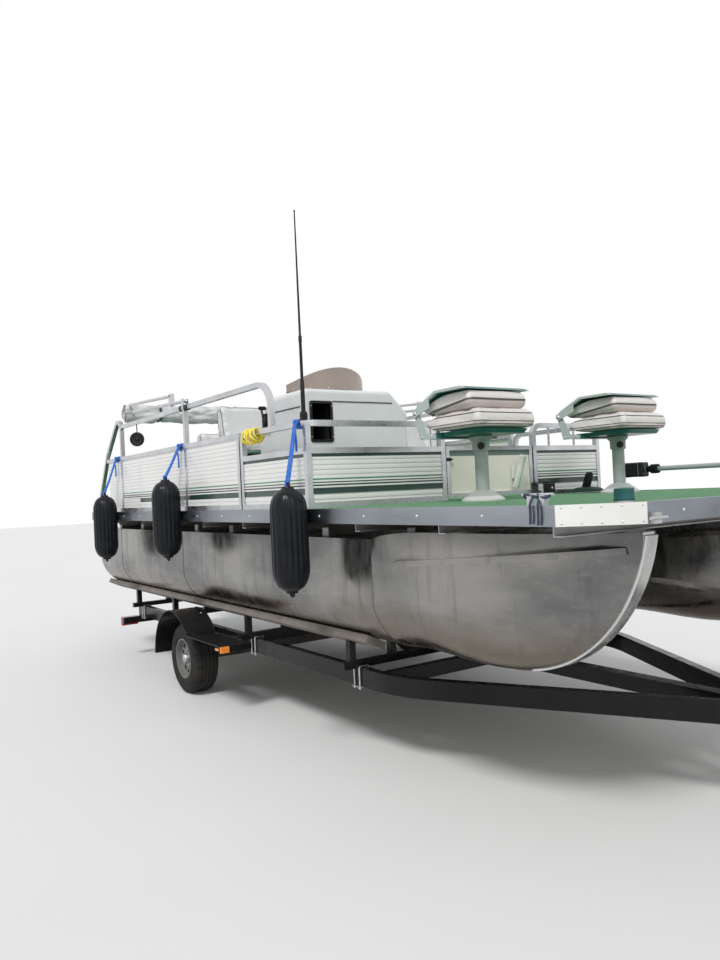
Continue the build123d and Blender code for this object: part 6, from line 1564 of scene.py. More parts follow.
@dataclass
class Console:
    """Helm console with its dash, locker, bubble screen and wheel."""

    aft: float = 2560.0
    fore: float = 3200.0
    low_y: float = -680.0
    height: float = 790.0
    dash_foot: float = 500.0
    tilt: float = 30.0
    locker: tuple[float, float, float, float] = (-615.0, -465.0, 440.0, 690.0)
    gauges: tuple[Pair, ...] = ((-385.0, 0.042), (-290.0, 0.030), (-190.0, 0.030), (-95.0, 0.042))
    ticks: int = 9
    sweep: float = 130.0
    locker_screw: Pair = (0.004, 0.0015)
    screen_screw: Pair = (0.0055, 0.003)
    grip: Pair = (0.158, 0.0124)

    def build(self) -> None:
        """Dress the console and add what is screwed to it."""
        YARD.dress("console", Palette.GEL, 0.004)
        YARD.dress("windscreen", Palette.SMOKED)
        YARD.dress("steering_wheel", Palette.BLACK)
        self.locker_frame()
        self.seam()
        self.screen_seal()
        self.dash()
        self.throttle()
        self.wheel_grip()
        LOG.info("console dressed")

    def locker_frame(self) -> None:
        """Add the black frame round the locker's opening."""
        low_y, high_y, low_z, high_z = self.locker
        outline = oblong((low_y - 16, low_z - 16), (high_y + 16, high_z + 16), 22)
        hole = oblong((low_y + 2, low_z + 2), (high_y - 2, high_z - 2), 12)
        rings = []
        for points, ahead in ((outline, 0.5), (outline, 7), (hole, 9), (hole, -24)):
            rings.append([at(self.fore + ahead, y, z) for y, z in points])
        form = Form().loft(rings, capped=False)
        YARD.piece("locker_frame", form, Palette.BLACK, bevel=0.0015)
        liner = Form()
        rings = [[at(x, y, z) for y, z in hole] for x in (self.fore - 3, self.fore - 252)]
        liner.loft(rings, capped=False)
        liner.add(rings[1], [tuple(range(len(hole)))])
        YARD.piece("locker_liner", liner, Palette.RUBBER)
        places = [at(self.fore + 8, y, z) for y in (low_y - 8, high_y + 8) for z in (low_z + 20, high_z - 20)]
        screws = Form().rivets(places, AHEAD, *self.locker_screw)
        YARD.piece("locker_screws", screws, Palette.STEEL)

    def seam(self) -> None:
        """Add the dark rub strip round the console under its hood."""
        form = Form()
        form.tube([at(x, self.low_y - 1, 668) for x in (self.aft + 112, self.fore - 34)], 0.0045, 10)
        form.tube([at(self.fore + 1, y, 704) for y in (-448, -200, 60)], 0.0045, 10)
        YARD.piece("console_strip", form, Palette.PIPING)

    def screen_seal(self) -> None:
        """Add the rubber seal and screws along the screen's foot."""
        low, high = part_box("windscreen")
        middle = (low[1] + high[1]) / 2
        half = (high[1] - low[1]) / 2
        bulge = high[0] - low[0]
        radius = (half**2 + bulge**2) / (2 * bulge)
        turn = math.asin(min(1.0, half / radius))
        turn = turn if bulge < half else math.pi - turn
        foot = at(0, 0, self.height + 4).z
        points = [
            Vector((high[0] - radius + radius * math.cos(angle), middle + radius * math.sin(angle), foot))
            for angle in (-turn + 2 * turn * step / 40 for step in range(41))
        ]
        YARD.piece("screen_seal", Form().tube(points, 0.005, 10), Palette.BLACK)
        screws = Form()
        for place in points[3:-3:6]:
            outward = (place - Vector((high[0] - radius, middle, place.z))).normalized()
            screws.rivets([place + outward * 0.002 + Vector((0, 0, 0.018))], outward, *self.screen_screw)
        YARD.piece("screen_screws", screws, Palette.STEEL)

    def face(self, across: float, rise: float, out: float = 0.0) -> Vector:
        """Give a place on the sloped dash.

        Args:
            across: Millimetres to port.
            rise: Millimetres up the slope from the dash's foot.
            out: Millimetres off the surface.

        Returns:
            The place.
        """
        lean = math.radians(self.tilt)
        aft, up = math.sin(lean), math.cos(lean)
        return at(self.aft + rise * aft - out * up, across, self.dash_foot + rise * up + out * aft)

    def dash(self) -> None:
        """Add gauges, switches and the dark instrument plate."""
        normal = (self.face(0, 0, 1) - self.face(0, 0, 0)).normalized()
        along = (self.face(0, 1) - self.face(0, 0)).normalized()
        plate = Form().prism(
            oblong((-0.215, 0.185), (0.215, 0.305), 0.02), self.face(-240, 0, 0.4), PORT, along, -0.004
        )
        YARD.piece("instrument_plate", plate, Palette.BLACK, bevel=0.001)
        rims, dials, marks = Form(), Form(), Form()
        for across, radius in self.gauges:
            centre = self.face(across, 246, 4.5)
            steps = ((0.0, 0.004), (0.006, 0.004), (0.008, 0.0), (0.004, -0.004), (0.0, -0.004))
            rims.lathe([(rise, radius + wide) for rise, wide in steps], centre, normal, 44)
            dials.lathe(((0.0, radius - 0.002), (0.0025, radius - 0.003), (0.0026, 0.0)), centre, normal, 40)
            for mark in range(self.ticks):
                angle = math.radians(-self.sweep + 2 * self.sweep * mark / (self.ticks - 1))
                out = PORT * math.sin(angle) + along * math.cos(angle)
                ends = [centre + normal * 0.0032 + out * (radius * share) for share in (0.62, 0.78)]
                marks.rod(*ends, 0.0008, 6)
            pivot = centre + normal * 0.004
            marks.rod(pivot, pivot + (along * 0.7 - Vector((0, 0.7, 0))) * radius * 0.6, 0.0009, 6)
        YARD.piece("gauge_rims", rims, Palette.STEEL)
        YARD.piece("gauge_dials", dials, Palette.RUBBER)
        YARD.piece("gauge_marks", marks, Palette.WHITE)
        switches = Form()
        for index in range(5):
            place = self.face(60 + 20 * index, 230, 4)
            switches.lathe(
                ((0, 0.008), (0.003, 0.008), (0.004, 0.004), (0.014, 0.003), (0.016, 0.0)), place, normal,
                16,
            )
        YARD.piece("dash_switches", switches, Palette.BLACK)

    def throttle(self) -> None:
        """Add the throttle box and lever on the console's starboard side."""
        form = Form()
        outline = rounded([(-0.055, -0.06), (0.055, -0.06), (0.045, 0.06), (-0.045, 0.06)], 0.02)
        form.prism(outline, at(2700, self.low_y - 26, 610), AHEAD, UP, -0.026)
        form.lathe(
            ((0, 0.030), (0.010, 0.030), (0.016, 0.022), (0.017, 0.0)), at(2700, self.low_y - 25, 612),
            -PORT, 32,
        )
        form.tube(
            [at(2700, self.low_y - 38, 612), at(2690, self.low_y - 40, 660), at(2672, self.low_y - 40, 706)],
            (0.010, 0.008, 0.007), 14,
        )
        form.lathe(
            ((-0.030, 0.006), (-0.026, 0.013), (0.0, 0.015), (0.026, 0.013), (0.030, 0.006)),
            at(2670, self.low_y - 30, 712), PORT, 24,
        )
        YARD.piece("throttle", form, Palette.BLACK, bevel=0.002)

    def wheel_grip(self) -> None:
        """Add the finger ridges and the hub cap of the steering wheel."""
        lean = math.radians(self.tilt)
        axis = Vector((-math.cos(lean), 0, math.sin(lean)))
        centre = at(2496, -240, 650)
        low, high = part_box("steering_wheel")
        centre.y = (low[1] + high[1]) / 2
        up = axis.cross(PORT)
        form = Form()
        reach, thick = self.grip
        for turn in turns(36):
            out = PORT * math.cos(turn) + up * math.sin(turn)
            ring = [
                centre + out * (reach + thick * math.cos(step)) + axis * thick * math.sin(step)
                for step in turns(12)
            ]
            form.tube(ring, 0.0016, 5, True)
        YARD.piece("wheel_ridges", form, Palette.RUBBER, "helm_wheel")
        cap = Form().lathe(
            ((0.0, 0.030), (0.010, 0.030), (0.016, 0.024), (0.018, 0.0)), centre + axis * 0.004, axis, 36
        )
        YARD.piece("wheel_hub_cap", cap, Palette.BLACK, "helm_wheel")


@dataclass
class Seating:
    """Helm chair, lounges and the two folding fishing seats."""

    seat_x: float = 4650.0
    seat_sides: tuple[tuple[str, float], ...] = (("near", -450.0), ("far", 680.0))
    half_width: float = 215.0
    seat_foot: float = 368.6
    back_foot: float = 476.6
    helm: Pair = (1930.0, -390.0)
    lounge_aft: float = 932.0
    lounge_fore: float = 1472.0
    lounge_end: float = 2450.0
    lounge_low_y: float = -530.0
    bench_y: float = 615.0
    lounge_port: float = 1135.0
    seat_top: float = 420.6
    back_top: float = 690.0
    gap: float = 6.0
    fold_lean: Pair = (-0.12, 0.99)
    helm_lean: float = 8.0
    hinge_cap: Pair = (0.011, 0.005)
    bracket_bolt: Pair = (0.007, 0.004)
    flange_bolt: Pair = (0.008, 0.005)
    flange: float = 78.0
    pads: list[Pad] = field(default_factory=list)

    def build(self) -> None:
        """Make, blow up and sew all cushions, then dress shells and bases."""
        self.fishing_pads()
        self.helm_pads()
        self.lounge_pads()
        workshop = Upholstery()
        workshop.puff(self.pads)
        LOG.info("%d cushions blown up", len(self.pads))
        self.sew(workshop)
        self.shells()
        self.helm_base()
        self.lounge_base()

    def fishing_pads(self) -> None:
        """Add the seat and folded back cushions of the fishing seats."""
        foot, back = self.seat_foot, self.back_foot
        seat = [
            (4530, foot), (4870, foot), (4870, foot + 100), (4595, foot + 100), (4430, foot + 64),
            (4430, foot + 36),
        ]
        fold = [(4416, back), (4816, back), (4816, back + 95), (4576, back + 95), (4416, back + 24)]
        slope = math.atan2(71, 160)
        for word, y in self.seat_sides:
            span = (y - self.half_width, y + self.half_width)
            for kind, finish, outline, lean in (
                ("seat", Palette.SEAT_PAD, rounded(seat, (60, 44, 44, 90, 18, 18)), Pad.lean),
                (
                    "back", Palette.BACK_PAD, rounded(fold, (16, 44, 40, 90, 11)),
                    (-math.sin(slope), 0.0, math.cos(slope)),
                ),
            ):
                node = f"{word}_{kind}_cushion"
                self.pads.append(
                    Pad(f"{word}_{kind}_pad", node, f"{word}_{kind}", finish, outline, span, lean, 0.010)
                )

    def helm_pads(self) -> None:
        """Add the helm chair's seat and its raked back."""
        x, y = self.helm
        span = (y - 235, y + 235)
        seat = oblong((x - 225, 420), (x + 225, 526), (30, 55, 45, 20))
        lean = math.radians(self.helm_lean)
        low, high, half = 474, 858, 43
        line = [x - 225 - (z - 667) * math.tan(lean) for z in (low, high)]
        corners = [
            (line[0] - half, low), (line[0] + half, low), (line[1] + half, high), (line[1] - half, high)
        ]
        for kind, outline, rest in (
            ("seat", seat, Pad.lean), ("back", rounded(corners, (18, 18, 40, 40)), (-1.0, 0.0, 0.0))
        ):
            self.pads.append(
                Pad(
                    f"helm_{kind}_pad", "helm_chair", "helm_seat", Palette.HELM_PAD, outline, span, rest,
                    0.012, 0.010, 34,
                )
            )

    def lounge_pads(self) -> None:
        """Add the nine cushions of the stern lounge and the port bench."""
        face = self.lounge_aft + 120
        port_face = self.lounge_port - 120
        seat_split = (self.lounge_low_y + self.bench_y) / 2
        back_split = (self.lounge_low_y + self.lounge_port) / 2
        bench_split = (self.lounge_fore + self.lounge_end) / 2
        bench_back = (face + self.lounge_end) / 2
        foot = 320.8
        stern, low, port = (face, self.lounge_fore), self.lounge_low_y, self.lounge_port
        for name, x_span, y_span, top, lean in (
            ("stern_seat_a", stern, (low, seat_split), self.seat_top, (0, 0, -1)),
            ("stern_seat_b", stern, (seat_split, self.bench_y), self.seat_top, (0, 0, -1)),
            ("corner_seat", stern, (self.bench_y, port_face), self.seat_top, (0, 0, -1)),
            (
                "bench_seat_a", (self.lounge_fore, bench_split), (self.bench_y, port_face), self.seat_top,
                (0, 0, -1),
            ),
            (
                "bench_seat_b", (bench_split, self.lounge_end), (self.bench_y, port_face), self.seat_top,
                (0, 0, -1),
            ),
            ("stern_back_a", (self.lounge_aft, face), (low, back_split), self.back_top, (-1, 0, 0)),
            ("stern_back_b", (self.lounge_aft, face), (back_split, port), self.back_top, (-1, 0, 0)),
            ("bench_back_a", (face, bench_back), (port_face, port), self.back_top, (0, 1, 0)),
            ("bench_back_b", (bench_back, self.lounge_end), (port_face, port), self.back_top, (0, 1, 0)),
        ):
            outline = oblong((x_span[0] + self.gap, foot), (x_span[1] - self.gap, top), 30)
            span = (y_span[0] + self.gap, y_span[1] - self.gap)
            self.pads.append(
                Pad(
                    f"lounge_{name}", "lounge_cushions", HULL_BODY, Palette.LOUNGE_PAD, outline, span, lean,
                    0.016, 0.013, 30, 7,
                )
            )

    def sew(self, workshop: Upholstery) -> None:
        """Add the piping of every pad.

        Args:
            workshop: The upholstery that finds the seams.
        """
        for pad in self.pads:
            form = Form()
            x, z = pad.middle()
            y = sum(pad.span) / 2
            if pad.name.endswith("seat_pad"):
                top = max(point[1] for point in pad.outline)
                workshop.welt(form, pad, at(x, y, top - 22), UP)
                workshop.welt(form, pad, at(x, y, top - 80), UP, 0.0026)
            elif pad.name.endswith("back_pad") and pad.name.startswith("helm"):
                rake = math.radians(self.helm_lean)
                lean = Vector((math.cos(rake), 0, math.sin(rake)))
                workshop.welt(form, pad, at(x, y, z) + lean * 0.028, lean)
                workshop.welt(form, pad, at(x, y, z) - lean * 0.030, lean)
            elif pad.name.endswith("back_pad"):
                workshop.welt(
                    form, pad, at(4700, y, self.back_foot + 34),
                    Vector((self.fold_lean[0], 0, self.fold_lean[1])),
                )
            else:
                out = -Vector(pad.lean)
                workshop.welt(form, pad, at(x, y, z) + out * 0.026, out, 0.0036)
                workshop.welt(form, pad, at(x, y, z) - out * 0.034, out, 0.0030)
            YARD.piece(f"{pad.name}_piping", form, Palette.PIPING, pad.body)

    def shells(self) -> None:
        """Dress the moulded shells and pedestals and add their screws and knobs."""
        for word, y in self.seat_sides:
            finish = Palette.NEAR_SHELL if word == "near" else Palette.FAR_SHELL
            YARD.dress(f"{word}_seat_shell", finish, 0.003)
            YARD.dress(f"{word}_back_shell", finish, 0.003)
            caps, bolts = Form(), Form()
            for side in (-1, 1):
                caps.rivets([at(4400, y + side * 237, 482)], Vector((0, side, 0)), *self.hinge_cap)
                bolts.rivets(
                    [at(x, y + side * 226, 352) for x in (4440, 4520)], Vector((0, side, 0)),
                    *self.bracket_bolt,
                )
            YARD.piece(f"{word}_hinge_caps", caps, Palette.STEEL, f"{word}_back")
            YARD.piece(f"{word}_bracket_bolts", bolts, Palette.STEEL, f"{word}_seat")
        YARD.dress("seat_pedestals", Palette.POST, 0.002)
        knobs, flange = Form(), Form()
        lean = math.radians(-42)
        out = Vector((math.cos(lean), math.sin(lean), 0))
        for x, y, height in ((*self.helm, 380), *((self.seat_x, place, 338) for _, place in self.seat_sides)):
            start = at(x, y, height - 50) + out * 0.058
            sides = []
            for along, radius in (
                (0.0, 0.010), (0.002, 0.017), (0.008, 0.0195), (0.022, 0.0195), (0.028, 0.017), (0.030, 0.0)
            ):
                ring = []
                for turn in turns(64):
                    reach = max(1e-5, radius * (1 + 0.07 * math.cos(turn * 8)))
                    ring.append(
                        start + out * along + (out.cross(UP) * math.cos(turn) + UP * math.sin(turn)) * reach
                    )
                sides.append(ring)
            knobs.loft(sides)
            quarters = [math.radians(45 + 90 * step) for step in range(4)]
            places = [
                at(x + self.flange * math.cos(turn), y + self.flange * math.sin(turn), 15)
                for turn in quarters
            ]
            flange.rivets(places, UP, *self.flange_bolt)
        YARD.piece("pedestal_knobs", knobs, Palette.BLACK)
        YARD.piece("pedestal_bolts", flange, Palette.STEEL)

    def helm_base(self) -> None:
        """Add the swivel base, side trim and lever of the helm chair."""
        x, y = self.helm
        form = Form()
        foot = Vector((at(x, y, 0).x, y / 1000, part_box("helm_chair")[0][2]))
        plate = oblong((-0.112, -0.112), (0.112, 0.112), 0.02)
        form.prism(plate, foot, AHEAD, PORT, 0.012)
        form.prism(plate, at(x, y, 404), AHEAD, PORT, 0.014)
        form.lathe(
            ((0, 0.070), (0.006, 0.074), (0.016, 0.074), (0.022, 0.070)), foot + Vector((0, 0, 0.008)), UP,
            44,
        )
        form.rod(at(x + 60, y - 90, 404), at(x + 96, y - 190, 404), 0.006, 14, 0.001)
        YARD.piece("helm_swivel_base", form, Palette.BLACK, "helm_seat", 0.002, replaces=("helm_chair",))
        lever = Form()
        lever.tube(
            [at(x - 130, y - 228, 486), at(x - 165, y - 234, 520), at(x - 185, y - 234, 566)],
            (0.007, 0.006, 0.006), 14,
        )
        lever.lathe(
            ((0, 0.006), (0.006, 0.011), (0.020, 0.012), (0.028, 0.007), (0.030, 0)),
            at(x - 184, y - 234, 560), Vector((-0.2, 0, 1)), 20,
        )
        YARD.piece("helm_recline_lever", lever, Palette.BLACK, "helm_seat")
        trim = Form()
        for side in (-1, 1):
            points = [(x - 232, 452), (x - 150, 452), (x - 120, 500), (x - 204, 640), (x - 256, 640)]
            outline = [(along / 1000, rise / 1000) for along, rise in rounded(points, 26)]
            trim.prism(outline, at(0, y + (232 if side > 0 else -226), 0), AHEAD, UP, -0.006)
        YARD.piece("helm_side_brackets", trim, Palette.STEEL, "helm_seat", 0.0015)

    def lounge_base(self) -> None:
        """Dress the lounge bases and add their doors, latches and kick strips."""
        YARD.dress("lounge_bases", Palette.BENCH, 0.008)
        doors, latches, strip = Form(), Form(), Form()
        fore = self.lounge_fore - self.gap
        knob = ((0, 0.016), (0.004, 0.016), (0.007, 0.010), (0.008, 0.0))
        for low_y, high_y in ((-490, -10), (40, 560)):
            outline = oblong((low_y / 1000, 0.07), (high_y / 1000, 0.27), 0.03)
            doors.prism(outline, at(fore + 0.5, 0, 0), PORT, UP, 0.006)
            latches.lathe(knob, at(fore + 6.5, (low_y + high_y) / 2, 240), AHEAD, 28)
        for low_x, high_x in ((1520, 1930), (1980, 2400)):
            outline = oblong((low_x / 1000, 0.07), (high_x / 1000, 0.27), 0.03)
            doors.prism(outline, at(0, self.bench_y - 0.5, 0), AHEAD, UP, 0.006)
            latches.lathe(knob, at((low_x + high_x) / 2, self.bench_y - 6.5, 240), -PORT, 28)
        strip.box(at(fore, -525, 7), at(fore + 3, 605, 34))
        strip.box(at(1480, self.bench_y - 3, 7), at(2440, self.bench_y, 34))
        YARD.piece("lounge_doors", doors, Palette.WHITE, bevel=0.002)
        YARD.piece("lounge_latches", latches, Palette.STEEL)
        YARD.piece("lounge_kick_strips", strip, Palette.PIPING, bevel=0.001)


@dataclass
class Fenders:
    """Three ribbed fenders on their blue ropes, the antenna and the hank."""

    y: float = -1320.3
    radius: float = 0.100
    length: float = 553.0
    neck: float = 27.0
    taper: float = 115.0
    ends: Pair = (0.034, 0.066)
    ribs: int = 18
    rib_depth: float = 0.0060
    line: float = 0.0070
    rail_y: float = -1179.0
    rail_z: float = 462.0
    places: tuple[Place, ...] = ((790, 418, 800), (2300, 340, 2300), (4100, 445, 4020))
    antenna_x: float = 4060.0
    hank_x: float = 3366.0
    hank_turns: int = 11
    hank_steps: int = 14
    hank_rope: float = 0.005

    def build(self) -> None:
        """Build fenders, ropes, antenna and hank."""
        self.hank()
        for index, (x, drop, rope_x) in enumerate(self.places, 1):
            self.fender(index, x, drop)
            self.rope(index, x, drop, rope_x)
        self.antenna()
        LOG.info("fenders hung")

    def fender(self, index: int, x: float, drop: float) -> None:
        """Build one fender with lengthwise ribs and two eyes.

        Args:
            index: Its number.
            x: Its place along the boat.
            drop: How far its foot hangs below the deck.
        """
        sides = self.ribs * 6
        foot, head = self.neck, self.length
        rows = [(foot - 16, 0.030, 0.0), (foot - 4, 0.034, 0.0), (foot + 1, 0.046, 0.0)]
        dome = []
        for step in range(1, 9):
            angle = math.radians(90 * step / 8)
            dome.append((
                self.taper * (1 - math.cos(angle)), self.ends[0] + self.ends[1] * math.sin(angle),
                max(0.0, (step - 3) / 5),
            ))
        rows += [(foot + rise, radius, ribbed) for rise, radius, ribbed in dome]
        rows += [
            (foot + self.taper + (head - foot - 2 * self.taper) * step / 12, self.radius, 1.0)
            for step in range(1, 12)
        ]
        rows += [(head - rise, radius, ribbed) for rise, radius, ribbed in reversed(dome)]
        rows += [(head - 1, 0.046, 0.0), (head + 4, 0.034, 0.0), (head + 16, 0.030, 0.0)]
        rings = []
        for rise, radius, ribbed in rows:
            ring = []
            for turn in turns(sides):
                cut = ribbed * self.rib_depth * max(0.0, math.cos(turn * self.ribs)) ** 2
                ring.append(
                    at(x, self.y, rise - drop)
                    + Vector((math.cos(turn), math.sin(turn), 0)) * (radius - cut)
                )
            rings.append(ring)
        form = Form().loft(rings)
        for rise in (6, self.length + self.neck - 10):
            centre = at(x, self.y, rise - drop)
            ring = [
                centre + Vector((math.cos(turn) * 0.015, 0, math.sin(turn) * 0.0135)) for turn in turns(24)
            ]
            form.tube(ring, 0.0068, 10, True)
        YARD.piece(f"fender_{index}", form, Palette.FENDER, smooth=70, replaces=("fenders",))

    def rope(self, index: int, x: float, drop: float, rope_x: float) -> None:
        """Build one fender's rope: turns round the rail, a knot and the fall.

        Args:
            index: Its number.
            x: The fender's place along the boat.
            drop: How far its foot hangs below the deck.
            rope_x: Where the rope is tied.
        """
        rope = Rope(self.line)
        form = Form()
        eye = at(x, self.y, self.length + self.neck - 8 - drop)
        knot = at(rope_x, self.rail_y - 30, self.rail_z)
        for shift, lean in ((-9, 0.1), (3, -0.08)):
            loop = []
            for turn in turns(40):
                reach = 0.0215 + 0.0035 * abs(math.sin(2 * turn)) ** 2
                out = Vector((lean * math.sin(turn) * 0.03, -math.cos(turn) * reach, math.sin(turn) * reach))
                loop.append(at(rope_x + shift, self.rail_y, self.rail_z) + out)
            rope.add(form, loop, True)
        rope.add(
            form,
            [
                knot + Vector((math.cos(turn) * 0.013, math.sin(2 * turn) * 0.008, math.sin(turn) * 0.015))
                for turn in turns(30)
            ],
            True,
        )
        rope.add(
            form,
            [
                knot + Vector((
                    math.sin(2 * turn) * 0.007, math.cos(turn) * 0.009, 0.006 + math.sin(turn) * 0.013
                ))
                for turn in turns(30)
            ],
            True,
        )
        start = knot + Vector((0.004, -0.006, -0.008))
        rope.add(form, sagging(start, eye + Vector((0.0, 0, 0.016)), 0.004))
        rope.add(form, sagging(start + Vector((-0.014, 0, 0)), eye + Vector((-0.009, -0.004, 0.015)), 0.012))
        rope.add(
            form, sagging(start + Vector((0.014, -0.004, 0)), eye + Vector((0.010, 0.004, 0.018)), 0.008)
        )
        rope.add(
            form,
            [
                eye + Vector((0, math.cos(turn) * 0.011, math.sin(turn) * 0.013 + 0.004))
                for turn in turns(26)
            ],
            True,
        )
        rope.add(
            form,
            [eye + Vector((math.cos(turn) * 0.010, math.sin(turn) * 0.010, 0.021)) for turn in turns(26)],
            True,
        )
        tail = (
            (0.004, -0.008, -0.006), (0.022, -0.018, -0.040), (0.024, -0.014, -0.095),
            (0.018, -0.012, -0.150),
        )
        rope.add(form, spaced([knot + Vector(move) for move in tail], 0.01))
        YARD.piece(f"fender_rope_{index}", form, Palette.BLUE, smooth=60, replaces=("fender_ropes",))

    def antenna(self) -> None:
        """Build the whip with its ratchet foot, collar and tip."""
        foot = at(self.antenna_x, self.rail_y, 478.3)
        form = Form()
        form.box(foot + Vector((-0.016, -0.016, 0)), foot + Vector((0.016, 0.016, 0.032)))
        form.lathe(
            ((-0.016, 0.014), (-0.014, 0.0155), (0.014, 0.0155), (0.016, 0.014)),
            foot + Vector((0, 0, 0.034)), PORT, 28,
        )
        form.lathe(
            ((0.03, 0.010), (0.05, 0.012), (0.19, 0.012), (0.20, 0.0105), (0.22, 0.0105)), foot, UP, 28
        )
        YARD.piece("antenna_foot", form, Palette.BLACK, bevel=0.0015, replaces=("whip_antenna",))
        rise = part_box("whip_antenna")[1][2] - foot.z
        whip = Form().lathe(
            (
                (0.21, 0.0085), (0.42, 0.0080), (0.425, 0.0095), (0.455, 0.0095), (0.46, 0.0065),
                (rise - 0.012, 0.0034), (rise - 0.010, 0.0045), (rise - 0.001, 0.004), (rise, 0.0),
            ),
            foot, UP, 24,
        )
        YARD.piece("antenna_whip", whip, Palette.BLACK, smooth=60, replaces=("whip_antenna",))

    def hank(self) -> None:
        """Hang the yellow rope in loose turns over the starboard rail."""
        radius = self.hank_rope
        points: list[Vector] = []
        for step in range(self.hank_turns * self.hank_steps + 1):
            turn = math.tau * step / self.hank_steps
            count = step / self.hank_steps
            wide = 40 + 5.5 * math.sin(count * 2.3) + 3.5 * math.sin(count * 5.1 + 1.0)
            drop = math.sqrt((wide * 0.975 - 5.6) ** 2 - 16.0**2)
            x = self.hank_x + 14.4 * count + 8.0 * math.sin(turn + 2.4 * count)
            x += 3.0 * math.sin(2 * turn + count)
            points.append(at(x, self.rail_y - wide * math.sin(turn), 478 - drop + wide * math.cos(turn)))
        data = bpy.data.curves.new("yellow_hank", "CURVE")
        data.dimensions = "3D"
        spline = data.splines.new("NURBS")
        spline.points.add(len(points) - 1)
        for place, point in zip(spline.points, points):
            place.co = (*point, 1.0)
        spline.order_u = 3
        spline.use_endpoint_u = True
        spline.resolution_u = 3
        line_object = bpy.data.objects.new("yellow_hank", data)
        bpy.context.scene.collection.objects.link(line_object)
        line = [vert.co.copy() for vert in bpy.data.meshes.new_from_object(line_object).vertices]
        data.bevel_depth = radius
        data.bevel_resolution = 3
        data.use_fill_caps = True
        data.materials.append(PALETTE.material(Palette.YELLOW))
        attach(line_object, HULL_BODY)
        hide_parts("rope_hank")


@dataclass
class BowMotor:
    """Stowed bow motor with its mount, head, shaft, pod and propeller."""

    y: float = 970.0
    z: float = 135.0
    head: Pair = (4460.0, 4630.0)

    def build(self) -> None:
        """Dress the motor's nodes and add its fittings."""
        for node, finish, bevel in (
            ("trolling_mount", Palette.BLACK, 0.0015), ("trolling_carrier", Palette.BLACK, 0.0015),
            ("trolling_motor", Palette.SHAFT, 0.0015), ("trolling_propeller", Palette.BLACK, 0.0),
        ):
            YARD.dress(node, finish, bevel)
        form = Form()
        form.lathe(
            ((0, 0.024), (0.004, 0.029), (0.050, 0.029), (0.054, 0.024)),
            at(self.head[1] + 40, self.y, self.z), AHEAD, 32,
        )
        form.lathe(
            ((0, 0.022), (0.003, 0.026), (0.030, 0.026), (0.033, 0.022)), at(5600, self.y, self.z), AHEAD,
            32,
        )
        for step in range(10):
            form.lathe(
                ((0, 0.018), (0.002, 0.0195), (0.005, 0.0195), (0.007, 0.018)),
                at(self.head[1] + 10 + 3.6 * step, self.y, self.z), AHEAD, 24,
            )
        YARD.piece("motor_shaft_collars", form, Palette.RUBBER, "bow_motor", 0.0008)
        seam = Form()
        for x in (self.head[0] + 40, self.head[1] - 30):
            centre = at(x, self.y, self.z)
            spots = [
                struck("trolling_motor", centre + direction * 0.4, -direction) for direction in (PORT, UP)
            ]
            half_y, half_z = (
                0.0 if spot is None else (spot - centre).dot(way) for spot, way in zip(spots, (PORT, UP))
            )
            outline = oblong((-half_y, -half_z), (half_y, half_z), 0.012)
            ring = [centre + Vector((0, aside, rise)) for aside, rise in outline]
            seam.tube(ring, 0.0014, 6, True)
        YARD.piece("motor_head_seams", seam, Palette.STEEL, "bow_motor")
        LOG.info("bow motor dressed")


